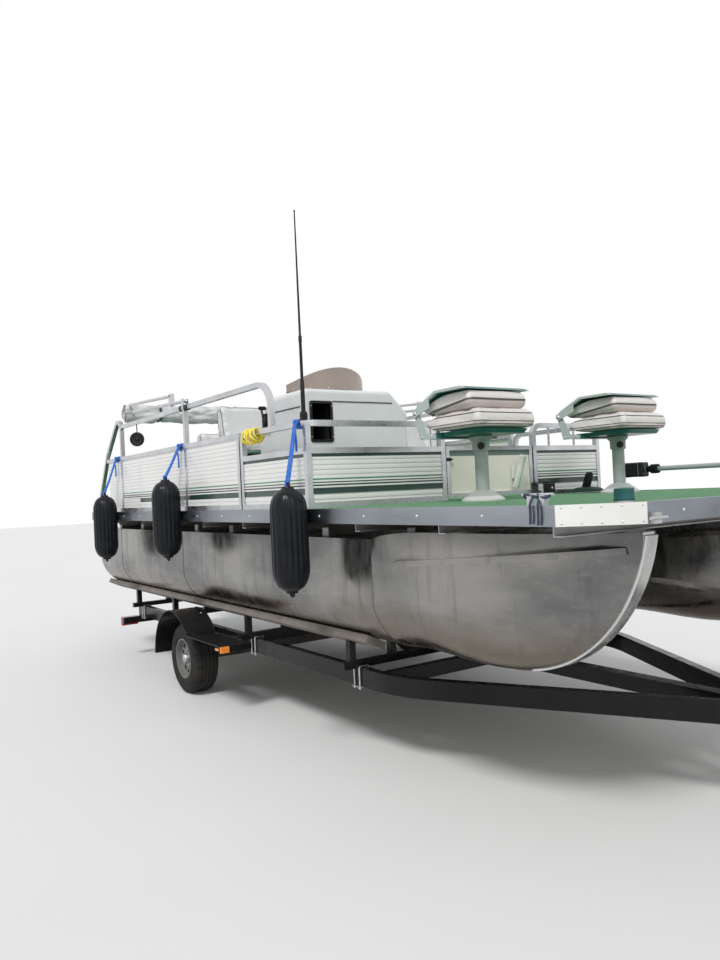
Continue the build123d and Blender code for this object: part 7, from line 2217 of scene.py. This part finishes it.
@dataclass
class Bimini:
    """Canopy frame folded aft with its crumpled canvas roll."""

    centre: Pair = (850.0, 868.0)
    half: float = 1136.0
    outer: float = 0.094
    inner: float = 0.030
    rounds: float = 5.0
    steps: int = 44
    columns: int = 150
    webbing: float = 0.002
    straps: tuple[float, ...] = (-820.0, -60.0, 700.0)

    def build(self) -> None:
        """Dress the bows and roll the canvas round the first."""
        YARD.dress("bimini_frame", Palette.TUBE)
        self.roll()
        self.ties()
        self.end_plugs()
        LOG.info("canopy rolled")

    def radius(self, y: float, turn: float) -> float:
        """Give the outline of the crumpled roll.

        Args:
            y: Metres to port.
            turn: Angle round the roll.

        Returns:
            A factor on its radius.
        """
        spot = Vector((y * 2.6, math.cos(turn) * 1.1, math.sin(turn) * 1.1))
        fine = Vector((y * 11.0, math.cos(turn) * 2.6, math.sin(turn) * 2.6))
        pinch = sum(0.16 * math.exp(-(((y - strap / 1000) / 0.05) ** 2)) for strap in self.straps)
        fold = abs(math.sin(turn * 5 + 9 * noise.noise(spot) + y * 3))
        crease = abs(noise.noise(Vector((y * 6.0, math.cos(turn) * 1.8, math.sin(turn) * 1.8))))
        swell = 0.95 + 0.20 * noise.noise(spot) + 0.14 * noise.noise(fine)
        return swell - 0.08 * fold - 0.24 * crease - pinch

    def roll(self) -> None:
        """Build the canvas as one long sheet rolled up."""
        x, z = self.centre
        around, across = int(self.rounds * self.steps), self.columns
        verts, faces = [], []
        for step in range(around + 1):
            share = step / around
            turn = math.tau * self.rounds * share
            base = self.inner + (self.outer - self.inner) * share
            for row in range(across + 1):
                y = -self.half / 1000 + 2 * self.half / 1000 * row / across
                reach = base * self.radius(y, turn)
                flare = 1 + 0.05 * noise.noise(Vector((turn, 3.0 * y, 1.7))) * share
                if row in (0, across):
                    ragged = 0.012 * noise.noise(Vector((turn * 2.2, share * 9, 4.0 if row == 0 else 9.0)))
                    y += ragged * (1 if row == 0 else -1) * 0.7
                point = at(x, 0, z) + Vector((
                    math.cos(turn) * reach * flare, y, math.sin(turn) * reach * flare
                ))
                verts.append(point)
        for step in range(around):
            for row in range(across):
                one = step * (across + 1) + row
                faces.append((one, one + 1, one + across + 2, one + across + 1))
        made = YARD.piece(
            "canvas_roll", Form().add(verts, faces), Palette.CANVAS, "bimini", smooth=180,
            replaces=("bimini_roll",),
        )

    def ties(self) -> None:
        """Tie the roll with webbing straps and their buckles."""
        x, z = self.centre
        form, buckles = Form(), Form()
        for strap in self.straps:
            rings = []
            for turn in turns(48):
                edges = (self.radius((strap + edge) / 1000, turn) for edge in (-11, 11))
                reach = self.outer * max(edges) + 0.002
                out = Vector((math.cos(turn), 0, math.sin(turn)))
                rings.append([
                    at(x, strap, z) + out * (reach + thick) + Vector((0, aside, 0))
                    for thick, aside in (
                        (0.0, -0.011), (0.0, 0.011), (self.webbing, 0.011), (self.webbing, -0.011)
                    )
                ])
            form.loft(rings, closed=True)
            turn = math.radians(200)
            reach = self.outer * self.radius(strap / 1000, turn) + 0.004
            spot = at(x, strap, z) + Vector((math.cos(turn), 0, math.sin(turn))) * reach
            buckles.box(spot + Vector((-0.005, -0.017, -0.015)), spot + Vector((0.004, 0.017, 0.015)))
        YARD.piece("canvas_straps", form, Palette.NAVY, "bimini", smooth=50)
        YARD.piece("strap_buckles", buckles, Palette.BLACK, "bimini", 0.002)

    def end_plugs(self) -> None:
        """Add the black jaw screws at the frame's forks and pivots."""
        form = Form()
        for side in (-1, 1):
            form.rivets(
                [at(2120, side * 1196, 855), at(2381, side * 1197, 786)], Vector((0, side, 0)), 0.008, 0.004
            )
        YARD.piece("bow_screws", form, Palette.BLACK, "bimini")


@dataclass
class Outboard:
    """Outboard motor under the stern: pod, bracket, cowl, leg and propeller."""

    line: float = -865.0
    nut: Pair = (0.010, 0.008)
    drain: Pair = (0.007, 0.003)
    pick_ups: int = 4

    def build(self) -> None:
        """Dress the motor's nodes and add its gasket, nuts and screws."""
        for node, finish, bevel in (
            ("motor_pod", Palette.POD, 0.003), ("outboard_bracket", Palette.DULL, 0.002),
            ("outboard_swivel", Palette.DULL, 0.002), ("outboard_leg", Palette.COWL, 0.004),
            ("outboard_cowl", Palette.COWL, 0.003), ("outboard_powerhead", Palette.DULL, 0.004),
            ("outboard_propeller", Palette.COWL, 0.0),
        ):
            YARD.dress(node, finish, bevel)
        self.cowl_trim()
        self.bracket_bolts()
        self.leg_trim()
        LOG.info("outboard dressed")

    def cowl_trim(self) -> None:
        """Add the cowl's seam gasket and air slots."""
        low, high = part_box("outboard_cowl")
        middle = Vector(((low[0] + high[0]) / 2, (low[1] + high[1]) / 2, low[2] + 0.045))
        ring = []
        for turn in turns(72):
            out = Vector((math.cos(turn), math.sin(turn), 0))
            ring.append(struck("outboard_cowl", middle + out * 0.8, -out))
        ring = [spot for spot in ring if spot]
        form = Form()
        if len(ring) > 60:
            form.tube(spaced(ring, 0.01, True), 0.0035, 8, True)
        for side in (-1, 1):
            for slot in range(4):
                height = high[2] - 0.09 - 0.016 * slot
                starts = [Vector((low[0] + ahead, side * 0.8, height)) for ahead in (0.07, 0.17)]
                ends = [struck("outboard_cowl", start, Vector((0, -side, 0))) for start in starts]
                if all(ends):
                    form.tube(ends, 0.0032, 8)
        YARD.piece("cowl_gasket", form, Palette.RUBBER, "outboard")

    def bracket_bolts(self) -> None:
        """Add the nuts on both sides of the transom bracket."""
        low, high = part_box("outboard_bracket")
        form = Form()
        for side in (-1, 1):
            y = high[1] if side > 0 else low[1]
            place = Vector((low[0] + (high[0] - low[0]) * 0.3, y, low[2] + (high[2] - low[2]) * 0.85))
            form.rivets([place], Vector((0, side, 0)), *self.nut)
        YARD.piece("bracket_nuts", form, Palette.STEEL)

    def leg_trim(self) -> None:
        """Add the leg's water pick-ups and drain screws."""
        low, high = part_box("outboard_leg")
        line = at(0, 0, self.line).z
        form = Form()
        for side in (-1, 1):
            for step in range(self.pick_ups):
                start = Vector((high[0] - 0.10, side * 0.5, line + 0.055 + 0.013 * step))
                spot = struck("outboard_leg", start, Vector((0, -side, 0)))
                if spot:
                    form.rod(spot - Vector((0.018, 0, 0)), spot + Vector((0.018, 0, 0)), 0.003, 8)
            start = Vector(((low[0] + high[0]) / 2, side * 0.5, line))
            spot = struck("outboard_leg", start, Vector((0, -side, 0)))
            if spot:
                form.rivets([spot], Vector((0, side, 0)), *self.drain)
        YARD.piece("leg_trim", form, Palette.STEEL, "outboard")


@dataclass
class Wheel:
    """One trailer wheel: treaded tyre, painted rim, hub and nuts."""

    side: int
    x: float = 2010.0
    z: float = -1120.0
    inner_y: float = 942.0
    outer_y: float = 1143.0
    radius: float = 262.0
    rim: float = 148.0
    steps: int = 180
    lug_depth: float = 6.5
    sipe_depth: float = 2.5
    ring_depth: float = 0.8
    nuts: Pair = (57.0, 0.0105)
    holes: float = 100.0
    valve: Pair = (128.0, 1.1)

    def build(self) -> None:
        """Build the tyre and dress the rim."""
        word = "port" if self.side > 0 else "starboard"
        body = f"{word}_wheel"
        YARD.piece(
            f"{word}_treaded_tyre", self.tyre(), Palette.TYRE, body, smooth=32, replaces=(f"{word}_tyre",)
        )
        YARD.dress(f"{word}_rim", Palette.RIM, 0.0015)
        self.hub(word, body)

    def place(self, y: float, radius: float, turn: float) -> Vector:
        """Give the place at a distance from the centre line, a radius and an angle round the axle."""
        return at(self.x + radius * math.cos(turn), self.side * y, self.z + radius * math.sin(turn))

    def tyre(self) -> Form:
        """Build the carcass with ribs, sipes and shoulder lugs.

        Returns:
            The tyre's form.
        """
        width = self.outer_y - self.inner_y
        middle = (self.outer_y + self.inner_y) / 2
        half = width / 2
        top = self.radius
        profile: list[tuple[float, float, str]] = [
            (-half + 14, self.rim + 1, "bead"), (-half + 6, self.rim + 6, "bead"),
            (-half + 3, self.rim + 16, "wall"), (-half, self.rim + 44, "wall"),
            (-half + 1, self.rim + 48, "ring"), (-half + 1, self.rim + 53, "ring"),
            (-half, self.rim + 58, "wall"), (-half + 5, top - 34, "wall"), (-half + 14, top - 16, "lug"),
            (-half + 24, top - 6, "lug"), (-half + 38, top - 1.5, "lug"),
        ]
        grooves = (-44, -15, 15, 44)
        for index, centre in enumerate(grooves):
            profile += [
                (centre - 5, top - 0.5, "rib"), (centre - 3.2, top - 8, "floor"),
                (centre + 3.2, top - 8, "floor"), (centre + 5, top - 0.5, "rib"),
            ]
            if index < len(grooves) - 1:
                profile.append(((centre + grooves[index + 1]) / 2, top, "rib"))
        profile += [(-across, radius, kind) for across, radius, kind in reversed(profile[:11])]
        rings = []
        for step, turn in enumerate(turns(self.steps)):
            ring = []
            for across, radius, kind in profile:
                if kind == "lug" and step % 6 in (0, 1):
                    radius -= self.lug_depth
                if kind == "rib" and step % 6 == 3 and abs(across) > 12:
                    radius -= self.sipe_depth
                if kind == "ring" and step % 2:
                    radius -= self.ring_depth
                ring.append(self.place(middle + across, radius, turn))
            inner = [self.place(middle + across, self.rim - 2, turn) for across in (half - 16, -half + 16)]
            rings.append(ring + inner)
        return Form().loft(rings, closed=True)

    def hub(self, word: str, body: str) -> None:
        """Add the hub cap, nuts, valve and the black ovals of painted shade in the rim's hand holes.

        Args:
            word: Which wheel.
            body: The body it rides on.
        """
        axis = Vector((0, self.side, 0))

        def face(radius: float, turn: float) -> Vector:
            """Find the place on the rim's outer face at a radius and an angle."""
            spot = struck(f"{word}_rim", self.place(self.outer_y + 200, radius, turn), -axis)
            return spot or self.place(self.outer_y - 60, radius, turn)

        nuts, holes = Form(), Form()
        for step in range(5):
            turn = math.tau * step / 5 + 0.3
            centre = face(self.nuts[0], turn)
            hexagon = [
                (self.nuts[1] * math.cos(around), self.nuts[1] * math.sin(around)) for around in turns(6)
            ]
            nuts.prism(hexagon, centre - axis * 0.001, AHEAD, axis.cross(AHEAD), 0.013)
            nuts.rod(centre, centre + axis * 0.021, 0.006, 14, 0.001)
        # painted shade: closed black ovals stand in for the dark seen through the rim's hand holes
        for step in range(10):
            turn = math.tau * (step + 0.5) / 10
            centre = face(self.holes, turn)
            out = Vector((math.cos(turn), 0, math.sin(turn)))
            along = Vector((-math.sin(turn), 0, math.cos(turn)))
            ring = [
                centre + out * 0.011 * math.cos(around) + along * 0.017 * math.sin(around)
                for around in turns(20)
            ]
            rim = [point + axis * 0.0006 for point in ring]
            holes.loft([rim, [point - axis * 0.004 for point in ring]])
            holes.tube(rim, 0.0016, 6, True)
        YARD.piece(f"{word}_wheel_nuts", nuts, Palette.STEEL, body, 0.0006)
        YARD.piece(f"{word}_rim_holes", holes, Palette.RUBBER, body)
        middle = self.place(0, 0, 0)
        middle.y = face(5, 0.0).y
        cap = Form().lathe(
            ((-0.004, 0.034), (0.020, 0.033), (0.026, 0.029), (0.030, 0.018), (0.031, 0.0)), middle, axis,
            40,
        )
        YARD.piece(f"{word}_hub_cap", cap, Palette.STEEL, body)
        foot = face(*self.valve)
        valve = Form().rod(foot, foot + axis * 0.022, 0.0042, 12, 0.001)
        YARD.piece(f"{word}_valve", valve, Palette.RUBBER, body)


@dataclass
class Trailer:
    """Trailer frame, bunks, mudguards, lamps, winch stand and jack."""

    rail_y: float = 875.0
    rail_top: float = -900.0
    rail_foot: float = -1000.0
    axle_x: float = 2010.0
    axle_z: float = -1120.0
    guard: float = 372.0
    guard_y: Pair = (990.0, 1220.0)
    step_end: float = 2900.0
    drum: Pair = (6480.0, -330.0)
    u_bolt_x: tuple[int, ...] = (1380, 2760, 4050, 450)
    u_bolt: float = 0.0045
    guard_bolt: Pair = (0.008, 0.004)
    step_ribs: int = 12
    staples: int = 30
    marker: Pair = (2862.0, -20.0)
    jack: Pair = (6800.0, -120.0)

    def build(self) -> None:
        """Dress the frame and add its fittings."""
        for node, finish, bevel in (
            ("trailer_rails", Palette.PAINT, 0.004), ("trailer_crossmembers", Palette.PAINT, 0.003),
            ("bunks", Palette.CARPET, 0.006), ("bunk_cradles", Palette.PAINT, 0.003),
            ("axle", Palette.DULL, 0.003), ("mudguards", Palette.PAINT, 0.0015),
            ("trailer_lamps", Palette.AMBER, 0.003), ("tongue", Palette.PAINT, 0.003),
            ("winch_stand", Palette.PAINT, 0.003), ("jack_leg", Palette.STEEL, 0.001),
        ):
            YARD.dress(node, finish, bevel)
        Wheel(-1).build()
        Wheel(1).build()
        self.guard_edges()
        self.u_bolts()
        self.bunk_bolts()
        self.winch()
        self.jack_crank()
        self.coupler()
        self.lamps()
        LOG.info("trailer dressed")

    def guard_edges(self) -> None:
        """Add the rolled edges of the mudguards and the ribs of their steps."""
        rise = self.rail_top - self.axle_z
        start = math.asin(rise / self.guard)
        edge, ribs, bolts = Form(), Form(), Form()
        for side in (-1, 1):
            for y in (self.guard_y[0] + 5, self.guard_y[1] - 5):
                arc = [
                    at(
                        self.axle_x + (self.guard - 2) * math.cos(turn), side * y,
                        self.axle_z + (self.guard - 2) * math.sin(turn),
                    )
                    for turn in (start + (math.pi - start) * step / 40 for step in range(41))
                ]
                line = [
                    at(self.step_end - 3, side * y, self.rail_top - 34),
                    at(self.step_end - 3, side * y, self.rail_top - 3), *arc,
                ]
                edge.tube(line, 0.0042, 8)
            for step in range(self.step_ribs):
                x = self.axle_x + self.guard + 50 + step * 38
                ends = (self.guard_y[0] + 22, self.guard_y[1] - 22)
                ribs.tube([at(x, side * y, self.rail_top + 0.6) for y in ends], 0.0028, 8)
            y, reach = side * (self.guard_y[0] + 40), self.guard - 0.5
            places = [
                at(self.axle_x + reach * math.cos(turn), y, self.axle_z + reach * math.sin(turn))
                for turn in (1.2, 1.57, 1.94)
            ]
            bolts.rivets(places, UP, *self.guard_bolt)
        YARD.piece("guard_edges", edge, Palette.PAINT, smooth=60)
        YARD.piece("step_ribs", ribs, Palette.RUBBER)
        YARD.piece("guard_bolts", bolts, Palette.STEEL)

    def u_bolts(self) -> None:
        """Add U-bolts where the cradles and the axle cross the rails."""
        form = Form()
        for side in (-1, 1):
            for x in self.u_bolt_x:
                for shift in (-26, 26):
                    y_low, y_high = side * (self.rail_y - 33), side * (self.rail_y + 33)
                    foot, knee, top = self.rail_foot - 18, self.rail_top + 2, self.rail_top + 8
                    line = (
                        (y_low, foot), (y_low, knee), (y_low + side * 6, top),
                        (y_high - side * 6, top), (y_high, knee), (y_high, foot),
                    )
                    form.tube([at(x + shift, y, z) for y, z in line], self.u_bolt, 8)
                    for y in (y_low, y_high):
                        form.lathe(((0, 0.009), (0.009, 0.009)), at(x + shift, y, self.rail_foot - 12), UP, 6)
                y = side * self.rail_y
                form.box(at(x - 38, y - 42, self.rail_foot - 5), at(x + 38, y + 42, self.rail_foot - 0.5))
        YARD.piece("rail_u_bolts", form, Palette.STEEL)

    def bunk_bolts(self) -> None:
        """Add the carpet staples along the bunks."""
        form = Form()
        low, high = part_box("bunks")
        for side in (-1, 1):
            y = side * (max(abs(low[1]), abs(high[1])) + 0.2)
            for step in range(self.staples):
                x = low[0] + 0.06 + (high[0] - low[0] - 0.12) * step / (self.staples - 1)
                spot = struck("bunks", Vector((x, y, high[2] - 0.030)), Vector((0, -side, 0)))
                if spot:
                    form.rod(spot - Vector((0.007, 0, 0)), spot + Vector((0.007, 0, 0)), 0.0012, 6)
        YARD.piece("bunk_staples", form, Palette.STEEL)

    def winch(self) -> None:
        """Add the winch's strap, side plates, gear and crank."""
        x, z = self.drum
        strap, metal, dark = Form(), Form(), Form()
        profile = [
            (-0.026, 0.020), (-0.026, 0.046), (-0.024, 0.048), (0.024, 0.048), (0.026, 0.046),
            (0.026, 0.020),
        ]
        strap.lathe(profile, at(x, 0, z), PORT, 40)
        strap.prism(
            [(-0.024, -0.001), (0.024, -0.001), (0.024, 0.001), (-0.024, 0.001)], at(x - 46, 0, z - 6),
            PORT, Vector((0.4, 0, 0.9)), 0.06,
        )
        YARD.piece("winch_strap", strap, Palette.BLUE, smooth=50)
        for side in (-1, 1):
            metal.lathe(
                ((0, 0.0), (0.0, 0.062), (0.003, 0.062), (0.003, 0.0)), at(x, side * 34, z),
                Vector((0, side, 0)), 48,
            )
        teeth = []
        for step, turn in enumerate(turns(96)):
            reach = 0.052 + 0.004 * (step % 4 < 2)
            teeth.append((math.cos(turn) * reach, math.sin(turn) * reach))
        metal.prism(teeth, at(x, -44, z), AHEAD, UP, 0.008)
        crank = [at(x, -56, z), at(x, -78, z), at(x + 70, -84, z - 80), at(x + 78, -86, z - 92)]
        metal.tube(crank, 0.0075, 14)
        YARD.piece("winch_metal", metal, Palette.STEEL, smooth=35)
        dark.lathe(
            ((0, 0.010), (0.004, 0.015), (0.050, 0.017), (0.092, 0.014), (0.096, 0.008)),
            at(x + 78, -84, z - 92), -PORT, 26,
        )
        YARD.piece("winch_grip", dark, Palette.BLACK)

    def jack_crank(self) -> None:
        """Add the jack's crank and grease cap."""
        x, y = self.jack
        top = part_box("tongue")[1][2]
        form = Form()
        form.lathe(
            ((0, 0.022), (0.006, 0.028), (0.016, 0.028), (0.022, 0.014), (0.023, 0.0)),
            Vector((at(x, 0, 0).x, y / 1000, top)) - Vector((0, 0, 0.004)), UP, 32,
        )
        spot = Vector((at(x, 0, 0).x, y / 1000, top - 0.050))
        bends = ((0, 0), (-0.060, 0), (-0.068, -0.010), (-0.070, -0.130), (-0.078, -0.140), (-0.140, -0.140))
        form.tube([spot + Vector((ahead, 0, rise)) for ahead, rise in bends], 0.0065, 12)
        YARD.piece("jack_crank", form, Palette.STEEL, smooth=50)

    def coupler(self) -> None:
        """Add the coupler's latch, its lever and bolts."""
        form = Form()
        form.box(Vector((-0.085, -0.012, 0.038)), Vector((-0.010, 0.012, 0.050)))
        form.tube(
            [Vector((-0.080, 0, 0.046)), Vector((-0.110, 0, 0.062)), Vector((-0.150, 0, 0.058))], 0.006, 12
        )
        for side in (-1, 1):
            form.rivets(
                [Vector((-0.10, side * 0.034, 0.0)), Vector((-0.14, side * 0.034, 0.0))],
                Vector((0, side, 0)), 0.009, 0.006,
            )
        YARD.piece("coupler_latch", form, Palette.STEEL, bevel=0.0015)

    def lamps(self) -> None:
        """Add the orange side markers and the bezels of those on the steps."""
        marker, bezel = Form(), Form()
        frame_outline = oblong((-0.030, -0.012), (0.030, 0.012), 0.010)
        lens = oblong((-0.025, -0.008), (0.025, 0.008), 0.007)
        y, z = self.guard_y[1] - 0.5, self.rail_top + self.marker[1]
        for side in (-1, 1):
            bezel.prism(frame_outline, at(self.marker[0], side * y, z), AHEAD, UP, -side * 0.002)
            marker.prism(lens, at(self.marker[0], side * (y + 1), z), AHEAD, UP, -side * 0.007)
        for side in (-1, 1):
            outline = oblong((-0.042, -0.030), (0.042, 0.030), 0.008)
            found, spot, normal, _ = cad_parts["trailer_rails"].ray_cast(
                at(5905, side * 1500, -958), Vector((0, -side, 0))
            )
            if found:
                along = normal.cross(UP).normalized()
                marker.prism(outline, spot - normal * 0.001, along, UP, 0.012)
        YARD.piece("step_marker_bezels", bezel, Palette.BLACK, bevel=0.0005)
        YARD.piece("step_markers", marker, Palette.AMBER, bevel=0.002)


@dataclass
class Studio:
    """Floor, lights, backdrop and the camera at the photograph's place."""

    ground: float = -0.412
    eye: Place = (0.500, -3.303, 1.051)
    forward: Place = (-0.82725, 0.56165, 0.01442)
    up: Place = (0.03848, 0.03103, 0.99878)
    lens: float = 29.254
    key: float = 1.75
    sky: float = 0.50
    fill: float = 0.5
    floor_half: float = 60.0

    def build(self) -> None:
        """Build everything round the boat."""
        self.floor()
        self.lights()
        self.camera()
        bpy.context.scene.view_settings.view_transform = "Standard"

    def floor(self) -> None:
        """Lay a wide pale floor."""
        mesh = bpy.data.meshes.new("floor")
        half = self.floor_half
        corners = ((-half, -half), (half, -half), (half, half), (-half, half))
        mesh.from_pydata([(x, y, self.ground - 0.001) for x, y in corners], [], [(0, 1, 2, 3)])
        made = bpy.data.objects.new("floor", mesh)
        bpy.context.scene.collection.objects.link(made)
        material = bpy.data.materials.new("pale_floor")
        graph = Graph(material)
        tone = graph.mix(graph.cloud(0.8, 3.0), (0.80, 0.80, 0.79), (0.84, 0.84, 0.83))
        graph.join(tone, graph.shader.inputs["Base Color"])
        graph.shader.inputs["Roughness"].default_value = 0.9
        mesh.materials.append(material)

    def lights(self) -> None:
        """Add a soft key from high starboard, a weak fill and the sky."""
        world = bpy.data.worlds.new("sky")
        bpy.context.scene.world = world
        world.use_nodes = True
        tree = world.node_tree
        tree.nodes.clear()
        output, seen, lit, blend, path = (
            tree.nodes.new(f"ShaderNode{kind}")
            for kind in ("OutputWorld", "Background", "Background", "MixShader", "LightPath")
        )
        seen.inputs["Strength"].default_value = 1.0
        seen.inputs["Color"].default_value = (1, 1, 1, 1)
        lit.inputs["Strength"].default_value = self.sky
        lit.inputs["Color"].default_value = (0.96, 0.98, 1.0, 1)
        rays = [path.outputs[name] for name in ("Is Camera Ray", "Is Glossy Ray", "Is Transmission Ray")]
        total = rays[0]
        for ray in rays[1:]:
            step = tree.nodes.new("ShaderNodeMath")
            step.operation = "MAXIMUM"
            tree.links.new(total, step.inputs[0])
            tree.links.new(ray, step.inputs[1])
            total = step.outputs[0]
        tree.links.new(total, blend.inputs[0])
        tree.links.new(lit.outputs[0], blend.inputs[1])
        tree.links.new(seen.outputs[0], blend.inputs[2])
        tree.links.new(blend.outputs[0], output.inputs["Surface"])
        for name, turn, strength, spread in (
            ("key", (38, 14, 20), self.key, 14.0),
            ("fill", (60, 0, 75), self.fill, 40.0),
        ):
            lamp = bpy.data.lights.new(name, "SUN")
            lamp.energy = strength
            lamp.angle = math.radians(spread)
            made = bpy.data.objects.new(name, lamp)
            made.rotation_euler = Euler([math.radians(angle) for angle in turn])
            bpy.context.scene.collection.objects.link(made)

    def camera(self) -> None:
        """Set the camera where the photograph was taken from."""
        data = bpy.data.cameras.new("camera")
        data.sensor_width = 36.0
        data.lens = self.lens
        data.clip_start, data.clip_end = 0.05, 200.0
        made = bpy.data.objects.new("camera", data)
        forward, up = Vector(self.forward).normalized(), Vector(self.up)
        right = forward.cross(up).normalized()
        up = right.cross(forward)
        turn = Matrix((right, up, -forward)).transposed().to_4x4()
        made.matrix_world = Matrix.Translation(self.eye) @ turn
        bpy.context.scene.collection.objects.link(made)
        bpy.context.scene.camera = made


def main() -> None:
    """Build every sub-assembly in order and report it."""
    Studio().build()
    for part in (
        Fenders(), Hull(), Deck(), Fences(), Console(), Seating(), BowMotor(), Bimini(), Outboard(),
        Trailer(),
    ):
        before = YARD.triangles
        part.build()
        LOG.info(
            "%s: %d pieces so far, %d triangles", type(part).__name__, YARD.count, YARD.triangles - before
        )
    LOG.info("pieces %d, triangles %d", YARD.count, YARD.triangles)


if __name__ == "__main__":
    logging.basicConfig(level=logging.INFO, format="%(name)s: %(message)s")
    main()
